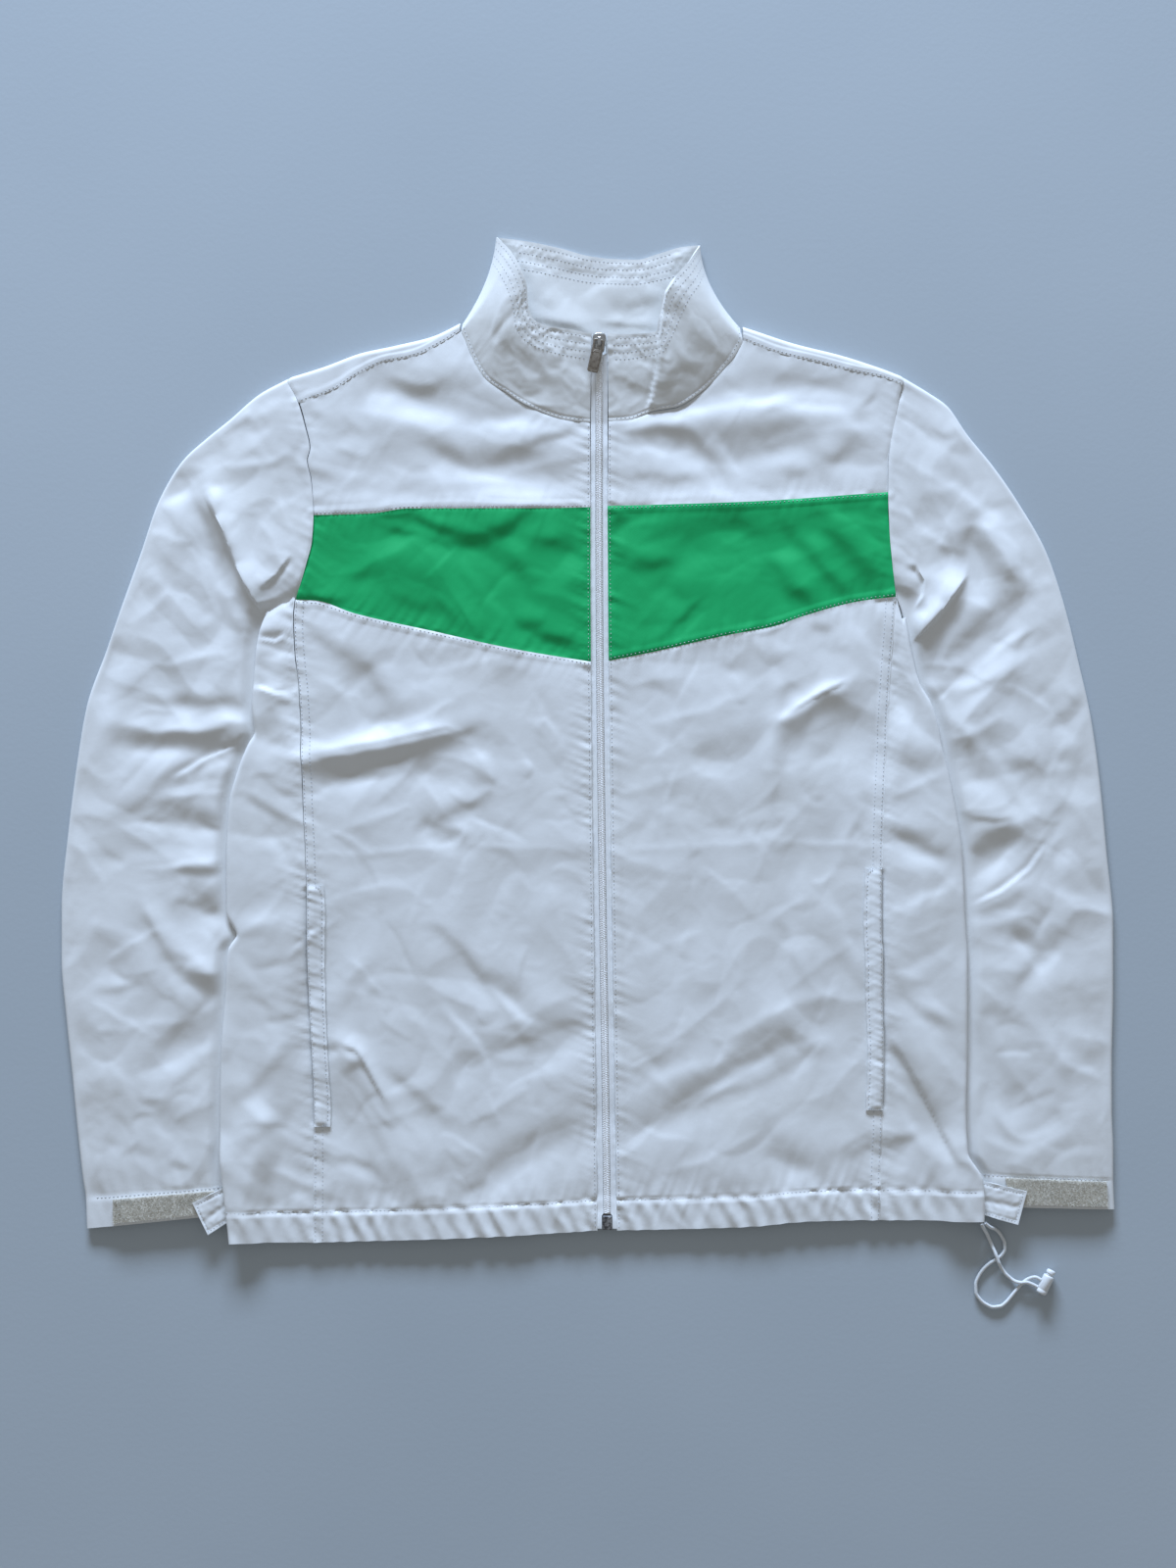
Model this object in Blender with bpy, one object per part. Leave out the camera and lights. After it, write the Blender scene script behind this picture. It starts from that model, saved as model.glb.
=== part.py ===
"""A zip-front track jacket with a stand collar, zipped up and laid flat on its back.

+X is the wearer's left, +Y runs from the hem to the collar and +Z is up, away from the surface
that the jacket lies on. The origin is at the middle of the jacket's outline, on that surface.
Sizes in the tables are in millimetres. "Right" and "left" are the wearer's.

Each cloth piece is a wall: its outer points come from a table of sections or from the seams
around it, and its inner points are the same points moved in by the wall's thickness.
"""

import math

import bmesh
import bpy
import numpy as np
from mathutils import Vector

MM = 0.001

# ---- driving dimensions, in millimetres --------------------------------------------------------
WALL = 1.0  # a single layer of cloth
HEM_WALL = 1.9  # the turned-up hem, with the elastic cord in it
COLLAR_WALL = 1.3  # the collar is doubled
TRIM_WALL = 1.0  # welts, loop strips and cuff tabs
TAB_LIFT = 2.2  # a cuff tab above the sleeve, so that it clears the loop strip under it
SEAM_GAP = 0.3  # between two pieces at a seam
LAID_GAP = 0.5  # under what lies on a panel
LAYER_LIFT = 2.5  # least height of an upper layer's outside above the lower layer's underside
SLEEVE_UNDER = 3.2  # a sleeve's thickness where the body lies on it
EDGE_LOFT = 3.9  # the body's thickness at its side folds
BODY_LOFT = 5.4  # and away from them
LOFT_REACH = 28.0  # how far from a side fold the body reaches its full thickness
CROWN = 1.1  # more height half-way between a side seam and the zip
SLEEVE_LOFT = 6.6  # a sleeve's thickness down its middle
HEM_DEPTH = 23.5  # from the hem's stitch line to its edge
HEM_SWELL = 1.5  # how much thicker the gathered casing stands
FOLD_NOSE = 3.4  # how far a side fold rounds over
SLEEVE_NOSE = 2.6
SHOULDER_NOSE = 3.6
UNDERARM_Y = 110.0

# The zip's centreline and half the width between the two front edges: (y, x, half width)
ZIP_LINE = ((-383, 15.0, 7.7), (196, 8.6, 6.8), (317, 8.8, 6.3))
ZIP_TOP, ZIP_BOTTOM = 317.0, -383.0
ZIP_COLLAR_Y = 248.0  # the collar's seam at the zip
ZIP_TOP_Z = 11.5  # the collar's height at the zip's top
ZIP_BOW = 2.4

# The body below the arms, a row for each height: the side folds and the front side seams.
TORSO_COLUMNS = ("y", "fold_right", "seam_right", "seam_left", "fold_left")
TORSO = (
    (116, -229, -229, 241, 241),
    (97, -253, -231, 240, 248),
    (70, -260, -230, 238, 253),
    (43, -262, -227, 236, 260),
    (27, -263, -226, 235, 269),
    (6, -261, -225, 234, 275),
    (-6, -267, -225, 234, 277),
    (-21, -273, -224, 233, 281),
    (-51, -281, -223, 231.5, 287),
    (-90, -283, -221, 230.4, 293),
    (-135, -283, -220, 230, 295),
    (-153, -275, -220, 230, 296),
    (-166, -282, -220, 231, 297),
    (-201, -284, -219, 231, 297),
    (-240, -287, -217, 232, 297),
    (-290, -288, -215, 231, 296),
    (-323, -288, -215, 230, 297),
    (-346, -286, -215, 229, 309),
    (-363, -284, -215, 229, 310),
    (-400, -280, -215, 229, 309),
)

# Seams and edges, each a list of (x, y) from the wearer's right to the left or from top to bottom.
SHOULDER_SEAM_RIGHT = (
    (-226, 264), (-199, 274), (-180, 286), (-161, 295), (-136, 300), (-119, 308), (-100, 320),
)
SHOULDER_SEAM_LEFT = ((121, 313), (147, 303), (177, 296), (213, 287), (229, 284), (246, 277))
SHOULDER_FOLD_RIGHT = (
    (-237, 283), (-205, 293), (-178, 303), (-150, 309), (-122, 316), (-99, 327),
)
SHOULDER_FOLD_LEFT = ((120, 324), (163, 310), (199, 301), (227, 292), (248, 284))
ARMHOLE_RIGHT = (
    (-237, 283), (-227, 264), (-222, 247), (-218, 228), (-220, 219), (-217, 204), (-215, 176),
    (-216, 157), (-221, 136), (-229, 110),
)
ARMHOLE_LEFT = ((248, 284), (246, 277), (240, 249), (235, 213), (235, 194), (236, 165), (241, 112))
BAND_TOP_RIGHT = ((-215, 176), (-171, 177), (-139, 181), (-71, 181), (1.9, 182))
BAND_TOP_LEFT = ((15.4, 183), (121, 186), (169, 189), (235, 194))
BAND_BOTTOM_RIGHT = ((-229, 110), (-213, 109), (-183, 99), (-121, 85), (-63, 72), (2.8, 61))
BAND_BOTTOM_LEFT = ((17, 62), (52, 69), (105, 81), (146, 89), (169, 97), (215, 109), (241, 112))
HEM_EDGE_RIGHT = ((-280, -393), (-257, -394), (-155, -392), (-96, -390), (-37, -387), (7.3, -384))
HEM_EDGE_LEFT = ((22.7, -384), (72, -383), (127, -381), (174, -377), (229, -376), (309, -377))

# The sleeves, a row for each section across them: the outer fold and the inner fold. Below the
# underarm the inner fold lies under the body.
SLEEVE_COLUMNS = ("outer_x", "outer_y", "inner_x", "inner_y")
SLEEVE_RIGHT = (
    (-237, 283, -229, 110),
    (-259, 271, -236, 106.5),
    (-282, 251, -243, 102.7),
    (-300, 236, -249, 99.5),
    (-318, 219, -255.5, 94),
    (-336, 189, -262, 78),
    (-351, 146, -264.5, 58),
    (-365, 107, -257, 36),
    (-378, 70, -246, 10),
    (-393, 27, -237, -20),
    (-401, -20, -232, -62),
    (-408, -75, -232, -105),
    (-413, -130, -236, -150),
    (-413, -172, -241, -187),
    (-409, -220, -247, -230),
    (-404, -268, -255, -272),
    (-400, -310, -263, -310),
    (-396, -345, -270, -338),
    (-394, -359, -273, -349),
    (-393, -383, -277, -371),
)
SLEEVE_LEFT = (
    (248, 284, 241.2, 112),
    (268, 272, 244.8, 104),
    (282, 262, 248.9, 97.5),
    (298, 239, 253, 89.5),
    (319, 213, 256.6, 78),
    (340, 182, 260, 64),
    (360, 146, 264, 47),
    (376, 97, 263, 26),
    (385, 60, 256, 5),
    (394, 20, 250, -22),
    (401, -28, 245, -62),
    (407, -90, 246, -105),
    (412, -145, 250, -150),
    (412, -200, 257, -200),
    (411, -250, 265, -243),
    (411, -290, 273, -283),
    (412, -320, 281, -313),
    (412, -339, 289, -333),
    (412, -345, 291, -340),
    (413, -368, 297, -365),
)
# Where each sleeve's surface starts to rise beside the body: (y, x) of the body's outline, carried
# on into the body above the underarm.
RISE_RIGHT = ((200, -60), (130, -192), (110, -229), (97, -253))
RISE_LEFT = ((200, 60), (130, 200), (112, 241), (97, 248))
RISE_REACH = 20.0
RISE_START = 7.0  # the strip beside the body where the sleeve still lies low

# How far the body's underside is lifted by the sleeve under it: (y, lift)
SLEEVE_LIFT = ((-330, 6.8), (-300, 3.8), (76, 3.8), (108, 0.0))
LIFT_SPARE = 5.0  # how far beyond the sleeve's inner fold the body is still fully lifted
LIFT_FADE = 24.0

# The collar, a row for each section round it from the right front edge over the back to the left
# one: where its seam and its top edge lie, and how far its middle stands off the line between.
COLLAR_COLUMNS = (
    "seam_x", "seam_y", "seam_z", "top_x", "top_y", "top_z", "mid_x", "mid_y", "mid_z",
)
ON_FRONT = None  # a seam height taken from the front's surface
COLLAR = (
    (1.5, 248, ON_FRONT, 2.6, 317, 11.5, 0, 0, 0.6),
    (-17, 250, ON_FRONT, -15, 320, 12.4, 0, 0, 1.0),
    (-47, 261, ON_FRONT, -32, 322.5, 13.6, 0, 0, 1.2),
    (-65, 272, ON_FRONT, -42, 327, 14.6, 0, 0, 1.6),
    (-79, 281, ON_FRONT, -46.5, 338, 15.0, 0, 0, 2.0),
    (-89, 295, ON_FRONT, -47.5, 352, 14.4, 2, 0, 2.2),
    (-94.4, 308, ON_FRONT, -53, 367, 12.4, 3, 0, 2.0),
    (-99, 320, ON_FRONT, -61.5, 382, 9.0, 4, 0, 1.2),
    (-98.4, 324.4, 4.4, -69.5, 391.5, 6.2, 5, 0, 0.4),
    (-98.0, 326.6, 2.6, -72, 393.9, 3.4, 5, 0, 0),
    (-95, 325.8, 0.4, -70, 393.9, 0.6, 5, 0, 0),
    (-84, 320.2, 0, -60, 393, 0, 3, 0, 0),
    (-60, 315.4, 0, -46, 391, 0, 0, 0, 0),
    (-35, 312.8, 0, -22, 386, 0, 0, 0, 0),
    (-10, 311.0, 0, 0, 380, 0, 0, 0, 0),
    (10, 310.4, 0, 19, 377.6, 0, 0, 0, 0),
    (35, 311.0, 0, 38, 377, 0, 0, 0, 0),
    (65, 312.6, 0, 55, 381.5, 0, 0, 0, 0),
    (95, 316, 0, 74, 387, 0, -4, 0, 0),
    (115, 321.6, 0.4, 85.5, 388, 0.6, -7, 0, 0),
    (119.2, 323, 2.6, 88, 387.4, 3.4, -7, 0, 0),
    (119.6, 319.6, 4.4, 86, 384, 6.6, -6, 0, 0.6),
    (121, 313, ON_FRONT, 78, 371, 11.5, -5, 0, 2.0),
    (116, 302, ON_FRONT, 69, 361, 14.6, -4, 0, 2.8),
    (105, 288, ON_FRONT, 59, 347, 16.4, 0, 0, 3.0),
    (89, 272, ON_FRONT, 55.5, 331, 16.6, 0, 0, 3.2),
    (69, 260, ON_FRONT, 53, 318, 15.0, 0, 0, 3.0),
    (51, 257, ON_FRONT, 42, 316.5, 13.0, 0, 0, 0.4),
    (32, 250, ON_FRONT, 29, 316.2, 12.0, 0, 0, 0.4),
    (16, 249, ON_FRONT, 15.4, 317, 11.5, 0, 0, 0.6),
)

# The largest folds, a row for each: a soft ridge (height over 0) or trough (under 0) along a line.
FOLD_COLUMNS = ("from_x", "from_y", "to_x", "to_y", "half_width", "height")
SLEEVE_FOLDS_RIGHT = (
    (-296, 198, -284, 161, 12, 2.6),
    (-284, 161, -260, 108, 12, 2.6),
    (-314, 196, -276, 112, 13, -2.2),
    (-336, 190, -312, 203, 10, -1.8),
    (-375, 85, -378, 25, 9, -1.6),
    (-371, 12, -268, 16, 10, 2.2),
    (-365, -4, -272, -6, 10, -1.8),
    (-327, -58, -286, -68, 10, -1.9),
    (-318, -114, -288, -138, 10, -2.0),
    (-346, -127, -316, -177, 11, 2.0),
    (-316, -177, -290, -182, 10, 1.6),
    (-352, -262, -300, -226, 13, -1.4),
)
SLEEVE_FOLDS_LEFT = (
    (300, 168, 308, 116, 10, -2.6),
    (308, 170, 336, 126, 10, 2.3),
    (298, 128, 256, 80, 10, 2.2),
    (343, 112, 283, 62, 10, -1.9),
    (338, 88, 274, 27, 10, -1.9),
    (345, 66, 290, 8, 10, 1.7),
    (300, -106, 339, -69, 12, -1.9),
    (302, -133, 343, -112, 10, 1.6),
    (331, -150, 358, -169, 10, -1.6),
    (358, -169, 339, -196, 10, -1.6),
    (305, -224, 339, -304, 13, -1.9),
    (360, -240, 374, -300, 14, 1.2),
)
BODY_FOLDS = (
    (-165, 276, -92, 250, 11, -1.9),
    (-190, 248, -110, 246, 12, 1.4),
    (-112, 219, -10, 205, 13, -1.7),
    (-60, 240, 0, 228, 11, 1.2),
    (70, 248, 208, 254, 11, 1.5),
    (60, 222, 200, 226, 14, -1.6),
    (120, 205, 225, 238, 12, 1.2),
    (-200, 160, -120, 128, 14, 1.0),
    (60, 150, 170, 168, 14, -1.0),
    (-178, 42, -153, 6, 12, -1.9),
    (-222, -14, -92, 13, 11, 2.3),
    (-214, -33, -98, -9, 11, -1.9),
    (-86, -10, -80, -37, 10, 1.3),
    (-124, -68, -100, -82, 10, -1.4),
    (-100, -177, -44, -220, 13, -1.3),
    (-194, -238, -178, -254, 12, 2.0),
    (-178, -254, -127, -352, 13, 2.1),
    (-208, -262, -166, -352, 13, -1.4),
    (0, -224, -92, -259, 13, -1.7),
    (0, -296, -92, -350, 14, -1.9),
    (176, 36, 222, -12, 15, -2.1),
    (150, 14, 202, 47, 10, 2.1),
    (146, 12, 146, -52, 9, 1.3),
    (46, -304, 186, -230, 13, -2.1),
    (60, -268, 170, -205, 13, 1.2),
    (139, -314, 176, -342, 12, -1.6),
    (238, -232, 286, -334, 10, -2.1),
    (242, 42, 262, 4, 9, -1.4),
    (240, -74, 284, -96, 10, -1.4),
    (-240, 60, -252, 20, 9, 1.4),
    (-262, -40, -240, -80, 10, -1.3),
    (-268, -230, -246, -300, 11, -1.4),
)

# The gathers of the hem casing: how many on each side, how far each leans and how high it stands.
GATHER_PITCH = 15.5
GATHER_LEAN = 0.5
GATHER_HEIGHT = 0.9
HEM_SPLIT = 3  # columns of the casing for each column of the panel above it

# The loop strips on the cuffs: where they start and end across the cuff (0 is the outer fold, 1 the
# inner one), and where their edges lie between the cuff's stitch line (0) and its edge (1).
LOOP_RIGHT = (0.17, 0.86, 0.14, 0.90)
LOOP_LEFT = (0.03, 0.72, 0.10, 0.90)
# The cuff tabs' corners.
TAB_RIGHT = ((-309, -362), (-279, -347.6), (-279, -376), (-297, -387))
TAB_LEFT = ((300, -343), (343, -353), (336, -379), (299, -369))

# The zip's own sizes.
CHAIN_WIDTH = 5.3
CHAIN_THICK = 2.2
TAPE_THICK = 0.9
TAPE_SINK = 0.8  # the tape's top lies this far below the front's surface
CHAIN_ROWS = 26
SLIDER_LENGTH = 15.5
SLIDER_WIDE = 10.4  # at its shoulders
SLIDER_NARROW = 8.0  # at its mouth
SLIDER_THICK = 4.0
SLIDER_RISE = 1.9  # the slider's top above the front's surface
BRIDGE_WIDE = 2.6
BRIDGE_HIGH = 3.5
BRIDGE_HOLE = 3.3
PULL_LENGTH = 26.0
PULL_WIDE = 8.6
PULL_THICK = 1.5
PULL_SLOT = (5.4, 6.6)  # width and length of the slot that the bridge stands in
PULL_BAR = 1.5  # the bar across the slot's upper end, on the hinge axis
PULL_SWING = 12.5  # degrees that the hanging tab leans to the wearer's right
PULL_ARCH_Y = 309.5
BOX_SIZE = (7.8, 11.0, 3.6)

# The drawcord: (x, y, z) of its centreline, from the hem to the lock.
CORD_THICK = 2.6
CORD_OVER_ROUTE = (
    (307.2, -377.8, 10.7), (308.4, -380.4, 9.6), (310.4, -383.6, 6.8), (312.6, -387.2, 3.8),
    (314.6, -391.2, 2.4), (316.6, -396, 2.0), (318.6, -400.6, 3.5), (320.2, -404.8, 4.5),
    (321.6, -409, 4.5), (323.8, -413.4, 2.6), (326.8, -417.8, 1.4), (331, -422, 1.4),
    (335.6, -424.9, 2.6), (339.4, -425.4, 4.3), (343, -425.0, 4.7), (347.6, -426.4, 4.4),
    (352.1, -428.6, 4.35),
)
CORD_UNDER_ROUTE = (
    (310.3, -377.6, 8.9), (312.4, -379.7, 7.8), (315.4, -381.8, 5.9), (318.9, -383.4, 3.9),
    (322, -386, 2.4), (325, -390.4, 1.4), (327, -395, 1.4), (327.2, -399.6, 1.4), (325, -404, 1.4),
    (320.6, -407.6, 1.4), (315.4, -410.8, 1.4), (310.4, -415.4, 1.4), (306.6, -421, 1.4),
    (304.4, -427.4, 1.4), (304.6, -433.6, 1.4), (307.6, -439, 1.4), (312.4, -443, 1.4),
    (318, -445.2, 1.4), (323.6, -444.6, 1.4), (328.4, -441.2, 1.4), (332.4, -436.6, 1.4),
    (336.2, -431.8, 1.4), (340.4, -427, 1.4), (345.4, -423.0, 2.2), (350.4, -421.2, 3.9),
    (354.8, -423.1, 4.35),
)
LOCK_BOTTOM = (354.6, -433.8)
LOCK_TOP = (363.4, -415.6)
LOCK_THICK = 8.6
LOCK_Z = 4.35
LOCK_BUTTON = 4.6  # the length of the button at its top
LOCK_BUTTON_THICK = 7.0

WHITE = (0.80, 0.83, 0.88)
GREEN = (0.005, 0.30, 0.075)
CREAM = (0.60, 0.57, 0.45)
METAL = (0.42, 0.38, 0.33)
DARK = (0.05, 0.05, 0.05)


# ---- curves and surfaces -----------------------------------------------------------------------
def through(table, column=1, by=0):
    """A smooth curve through a table's points that never swings past them."""
    rows = sorted(table, key=lambda row: row[by])
    at = np.array([row[by] for row in rows], float)
    value = np.array([row[column] for row in rows], float)
    step = np.diff(at)
    slope = np.diff(value) / step
    tangent = np.concatenate([slope[:1], np.zeros(len(at) - 2), slope[-1:]])
    for i in range(1, len(at) - 1):
        if slope[i - 1] * slope[i] > 0:
            before, after = 2 * step[i] + step[i - 1], step[i] + 2 * step[i - 1]
            tangent[i] = (before + after) / (before / slope[i - 1] + after / slope[i])

    def curve(x):
        x = np.clip(np.asarray(x, float), at[0], at[-1])
        i = np.clip(np.searchsorted(at, x) - 1, 0, len(at) - 2)
        t = (x - at[i]) / step[i]
        rise = value[i + 1] - value[i]
        ease = t * t * (3 - 2 * t)
        lead = step[i] * tangent[i] * t * (1 - t) ** 2
        tail = step[i] * tangent[i + 1] * t * t * (t - 1)
        return value[i] + rise * ease + lead + tail

    return curve


def along(points, count):
    """Points spaced evenly along a smooth line through the given ones, which go up in x."""
    curve = through(points)
    x = np.linspace(points[0][0], points[-1][0], 40 * len(points))
    y = curve(x)
    run = np.concatenate([[0], np.cumsum(np.hypot(np.diff(x), np.diff(y)))])
    at = np.interp(np.linspace(0, run[-1], count), run, x)
    return np.stack([at, curve(at)], 1)


def ease(x):
    """From 0 to 1, softly at both ends."""
    x = np.clip(x, 0, 1)
    return x * x * (3 - 2 * x)


def mix(a, b, t):
    return a + (b - a) * t


fold_right = through(TORSO, TORSO_COLUMNS.index("fold_right"))
fold_left = through(TORSO, TORSO_COLUMNS.index("fold_left"))
seam_right = through(TORSO, TORSO_COLUMNS.index("seam_right"))
seam_left = through(TORSO, TORSO_COLUMNS.index("seam_left"))
zip_x = through(ZIP_LINE, 1)
zip_half = through(ZIP_LINE, 2)
arm_right = through([(y, x) for x, y in ARMHOLE_RIGHT])
arm_left = through([(y, x) for x, y in ARMHOLE_LEFT])
hem_right = through(HEM_EDGE_RIGHT)
hem_left = through(HEM_EDGE_LEFT)
inner_right = through([(row[3], row[2]) for row in SLEEVE_RIGHT])
inner_left = through([(row[3], row[2]) for row in SLEEVE_LEFT])
lift_by_y = through(SLEEVE_LIFT)
outline_right = [(row[0], row[1]) for row in TORSO if row[0] < 97]
outline_left = [(row[0], row[4]) for row in TORSO if row[0] < 97]
rise_right = through(RISE_RIGHT + tuple(outline_right))
rise_left = through(RISE_LEFT + tuple(outline_left))


def hem_y(x):
    """The height of the hem's lower edge."""
    return np.where(x < 15, hem_right(x), hem_left(x))


def folds(x, y, table):
    """The height that the folds of a table add at (x, y)."""
    total = np.zeros(np.broadcast(x, y).shape)
    for row in table:
        fold = dict(zip(FOLD_COLUMNS, row))
        from_x, from_y = fold["from_x"], fold["from_y"]
        run = np.array([fold["to_x"] - from_x, fold["to_y"] - from_y], float)
        t = ((x - from_x) * run[0] + (y - from_y) * run[1]) / (run @ run)
        near = np.clip(t, 0, 1)
        away = np.hypot(x - from_x - near * run[0], y - from_y - near * run[1])
        along_it = 0.55 + 0.45 * ease(4 * near * (1 - near))
        total = total + fold["height"] * np.exp(-((away / fold["half_width"]) ** 2)) * along_it
    return total


def body_lift(x, y):
    """How far the body's underside is off the surface, over the sleeves."""
    over = np.maximum(
        ease((inner_right(y) + LIFT_SPARE + LIFT_FADE - x) / LIFT_FADE),
        ease((x - inner_left(y) + LIFT_SPARE + LIFT_FADE) / LIFT_FADE),
    )
    return over * lift_by_y(y)


def soft_least(value, least):
    """The value, eased so that it never goes below the least one."""
    return least + np.logaddexp(0, (value - least) * 1.6) / 1.6


def front_z(x, y):
    """The height of the outside of the fronts."""
    from_side = np.where(y < UNDERARM_Y, np.minimum(x - fold_right(y), fold_left(y) - x), LOFT_REACH)
    loft = mix(EDGE_LOFT, BODY_LOFT, ease(from_side / LOFT_REACH))
    across = np.where(x < zip_x(y), (x + 225) / (zip_x(y) + 225), (x - 235) / (zip_x(y) - 235))
    loft = loft + CROWN * np.sin(math.pi * np.clip(across, 0, 1)) ** 2
    in_hem = ease((hem_y(x) + HEM_DEPTH + 4 - y) / 8)
    wave = np.sin(2 * math.pi * (x + GATHER_LEAN * y) / GATHER_PITCH + 1.3 * np.sin(x / 31))
    gathers = in_hem * (HEM_SWELL + GATHER_HEIGHT * wave * (0.7 + 0.3 * np.sin(x / 17)))
    height = loft + gathers + (1 - in_hem) * folds(x, y, BODY_FOLDS)
    least = LAYER_LIFT + in_hem * (HEM_WALL - WALL)
    return body_lift(x, y) + soft_least(height, least)


def wall_at(x, y):
    """The thickness of the cloth of the fronts, which is more in the hem."""
    return mix(WALL, HEM_WALL, ease((hem_y(x) + HEM_DEPTH + 4 - y) / 8))


def sleeve_z(x, y, across, width, rise, sign, table):
    """The height of a sleeve's outside: low under the body, rising beside it."""
    from_body = (x - rise(y)) * sign * mix(1, 0.5, ease((y - 85) / 20))
    out = ease((from_body - RISE_START) / RISE_REACH)
    from_fold = np.minimum(across, 1 - across) * width
    loft = mix(SLEEVE_UNDER + 1.2, SLEEVE_LOFT, ease(from_fold / LOFT_REACH))
    body_like = ease((y - 60) / 60) * ease((0.5 - np.abs(x - sign * 225) / 90) * 2)
    loft = mix(loft, np.maximum(loft, BODY_LOFT), body_like)
    height = soft_least(loft + folds(x, y, table), LAYER_LIFT)
    return mix(SLEEVE_UNDER, height, out)


# ---- meshes ------------------------------------------------------------------------------------
def material(name, colour, roughness=0.85, metallic=0.0):
    made = bpy.data.materials.new(name)
    made.use_nodes = True
    shader = made.node_tree.nodes["Principled BSDF"]
    shader.inputs["Base Color"].default_value = (*colour, 1)
    shader.inputs["Roughness"].default_value = roughness
    shader.inputs["Metallic"].default_value = metallic
    made.diffuse_color = (*colour, 1)
    return made


def add_mesh(name, points, faces, look, origin=(0, 0, 0), smooth_angle=40):
    """A mesh object from points in millimetres, with its faces turned outwards."""
    mesh = bpy.data.meshes.new(name)
    local = (np.asarray(points, float) - np.asarray(origin, float)) * MM
    mesh.from_pydata([tuple(p) for p in local], [], [tuple(int(i) for i in f) for f in faces])
    mesh.materials.append(look)
    work = bmesh.new()
    work.from_mesh(mesh)
    bmesh.ops.recalc_face_normals(work, faces=work.faces)
    if work.calc_volume(signed=True) < 0:
        bmesh.ops.reverse_faces(work, faces=work.faces)
    work.to_mesh(mesh)
    work.free()
    mesh.shade_smooth()
    mesh.set_sharp_from_angle(angle=math.radians(smooth_angle))
    made = bpy.data.objects.new(name, mesh)
    made.location = [v * MM for v in origin]
    bpy.context.scene.collection.objects.link(made)
    return made


def stack(rows, closed=False):
    """Rows of points, and the faces between each row and the next.

    A row may have a whole number of times as many spaces as the one before it.
    """
    points, faces, start = [], [], 0
    for k, row in enumerate(rows):
        points += [tuple(p) for p in row]
        if k:
            upper, lower = start - len(rows[k - 1]), start
            spaces = len(rows[k - 1]) - (0 if closed else 1)
            split = (len(row) - 1) // max(spaces, 1) if not closed else 1
            for j in range(spaces):
                a, b = upper + j, upper + (j + 1) % len(rows[k - 1])
                low = [lower + (j * split + i) % len(row) for i in range(split + 1)]
                if split == 1:
                    faces.append((a, b, low[1], low[0]))
                else:
                    half = split // 2
                    faces += [(a, low[i + 1], low[i]) for i in range(half)]
                    faces.append((a, b, low[half]))
                    faces += [(b, low[i + 1], low[i]) for i in range(half, split)]
        start += len(row)
    return np.array(points), faces


def wall(name, outer, inner, faces, look):
    """A cloth wall: an outer skin, an inner one and rims along every open edge."""
    count = len(outer)
    uses = {}
    for face in faces:
        for a, b in zip(face, face[1:] + face[:1]):
            uses[(a, b)] = uses.get((a, b), 0) + 1
    rims = [(b, a, a + count, b + count) for a, b in uses if (b, a) not in uses]
    inside = [tuple(i + count for i in reversed(face)) for face in faces]
    points = np.concatenate([outer, inner])
    used = sorted({i for face in faces for i in face})
    number = {old: new for new, old in enumerate(used + [i + count for i in used])}
    every = [tuple(number[i] for i in face) for face in faces + inside + rims]
    return add_mesh(name, points[used + [i + count for i in used]], every, look)


def patch(top, bottom, left, right):
    """Rows of (x, y) that fill the space between four edges, each a list of points."""
    top, bottom, left, right = (np.asarray(e, float) for e in (top, bottom, left, right))
    across = np.concatenate([[0], np.cumsum(np.linalg.norm(np.diff(top, axis=0), axis=1))])
    u = (across / across[-1])[None, :, None]
    down = np.concatenate([[0], np.cumsum(np.linalg.norm(np.diff(left, axis=0), axis=1))])
    v = (down / down[-1])[:, None, None]
    ruled = mix(left[:, None], right[:, None], u) + mix(top[None], bottom[None], v)
    corners = mix(mix(top[0], top[-1], u), mix(bottom[0], bottom[-1], u), v)
    return ruled - corners


def inset(rows, amount):
    """The rows of a patch with each point on its edge moved in by the amount."""
    moved = rows.copy()
    count, wide = rows.shape[:2]
    loop = [(0, j) for j in range(wide)] + [(i, wide - 1) for i in range(1, count)]
    loop += [(count - 1, j) for j in range(wide - 2, -1, -1)] + [(i, 0) for i in range(count - 2, 0, -1)]
    ring = np.array([rows[k] for k in loop])
    area = np.sum(ring[:, 0] * np.roll(ring[:, 1], -1) - ring[:, 1] * np.roll(ring[:, 0], -1))
    turn = 1 if area > 0 else -1
    for n, k in enumerate(loop):
        before, here, after = ring[n - 1], ring[n], ring[(n + 1) % len(ring)]
        one, two = here - before, after - here
        one, two = one / np.linalg.norm(one), two / np.linalg.norm(two)
        normal_one, normal_two = turn * np.array([-one[1], one[0]]), turn * np.array([-two[1], two[0]])
        both = normal_one + normal_two
        moved[k] = here + amount * both / max(0.5, 0.5 * both @ both)
    return moved


def on_front(rows):
    """The outer and inner points of a front piece over rows of (x, y)."""
    outer = [np.column_stack([r, front_z(r[:, 0], r[:, 1])]) for r in rows]
    inner = [o - np.column_stack([o[:, :2] * 0, wall_at(o[:, 0], o[:, 1])]) for o in outer]
    return outer, inner


def front_piece(name, rows, look):
    outer, inner = on_front(rows)
    points, faces = stack(outer)
    return wall(name, points, stack(inner)[0], faces, look)


def split_row(row, parts):
    """A row with each of its spaces cut into equal parts."""
    at = np.arange(len(row))
    fine = np.linspace(0, len(row) - 1, (len(row) - 1) * parts + 1)
    return np.column_stack([np.interp(fine, at, row[:, k]) for k in range(row.shape[1])])


def nose(centre, direction, reach, half, mid_z, angles):
    """Points round a fold: direction is outwards, from the upper layer down to the lower one."""
    made = []
    for angle in angles:
        out, up = math.cos(math.radians(angle)), math.sin(math.radians(angle))
        made.append((*(centre + direction * reach * out), mid_z + half * up))
    return made


NOSE_ANGLES = (48, 0, -48)


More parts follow.
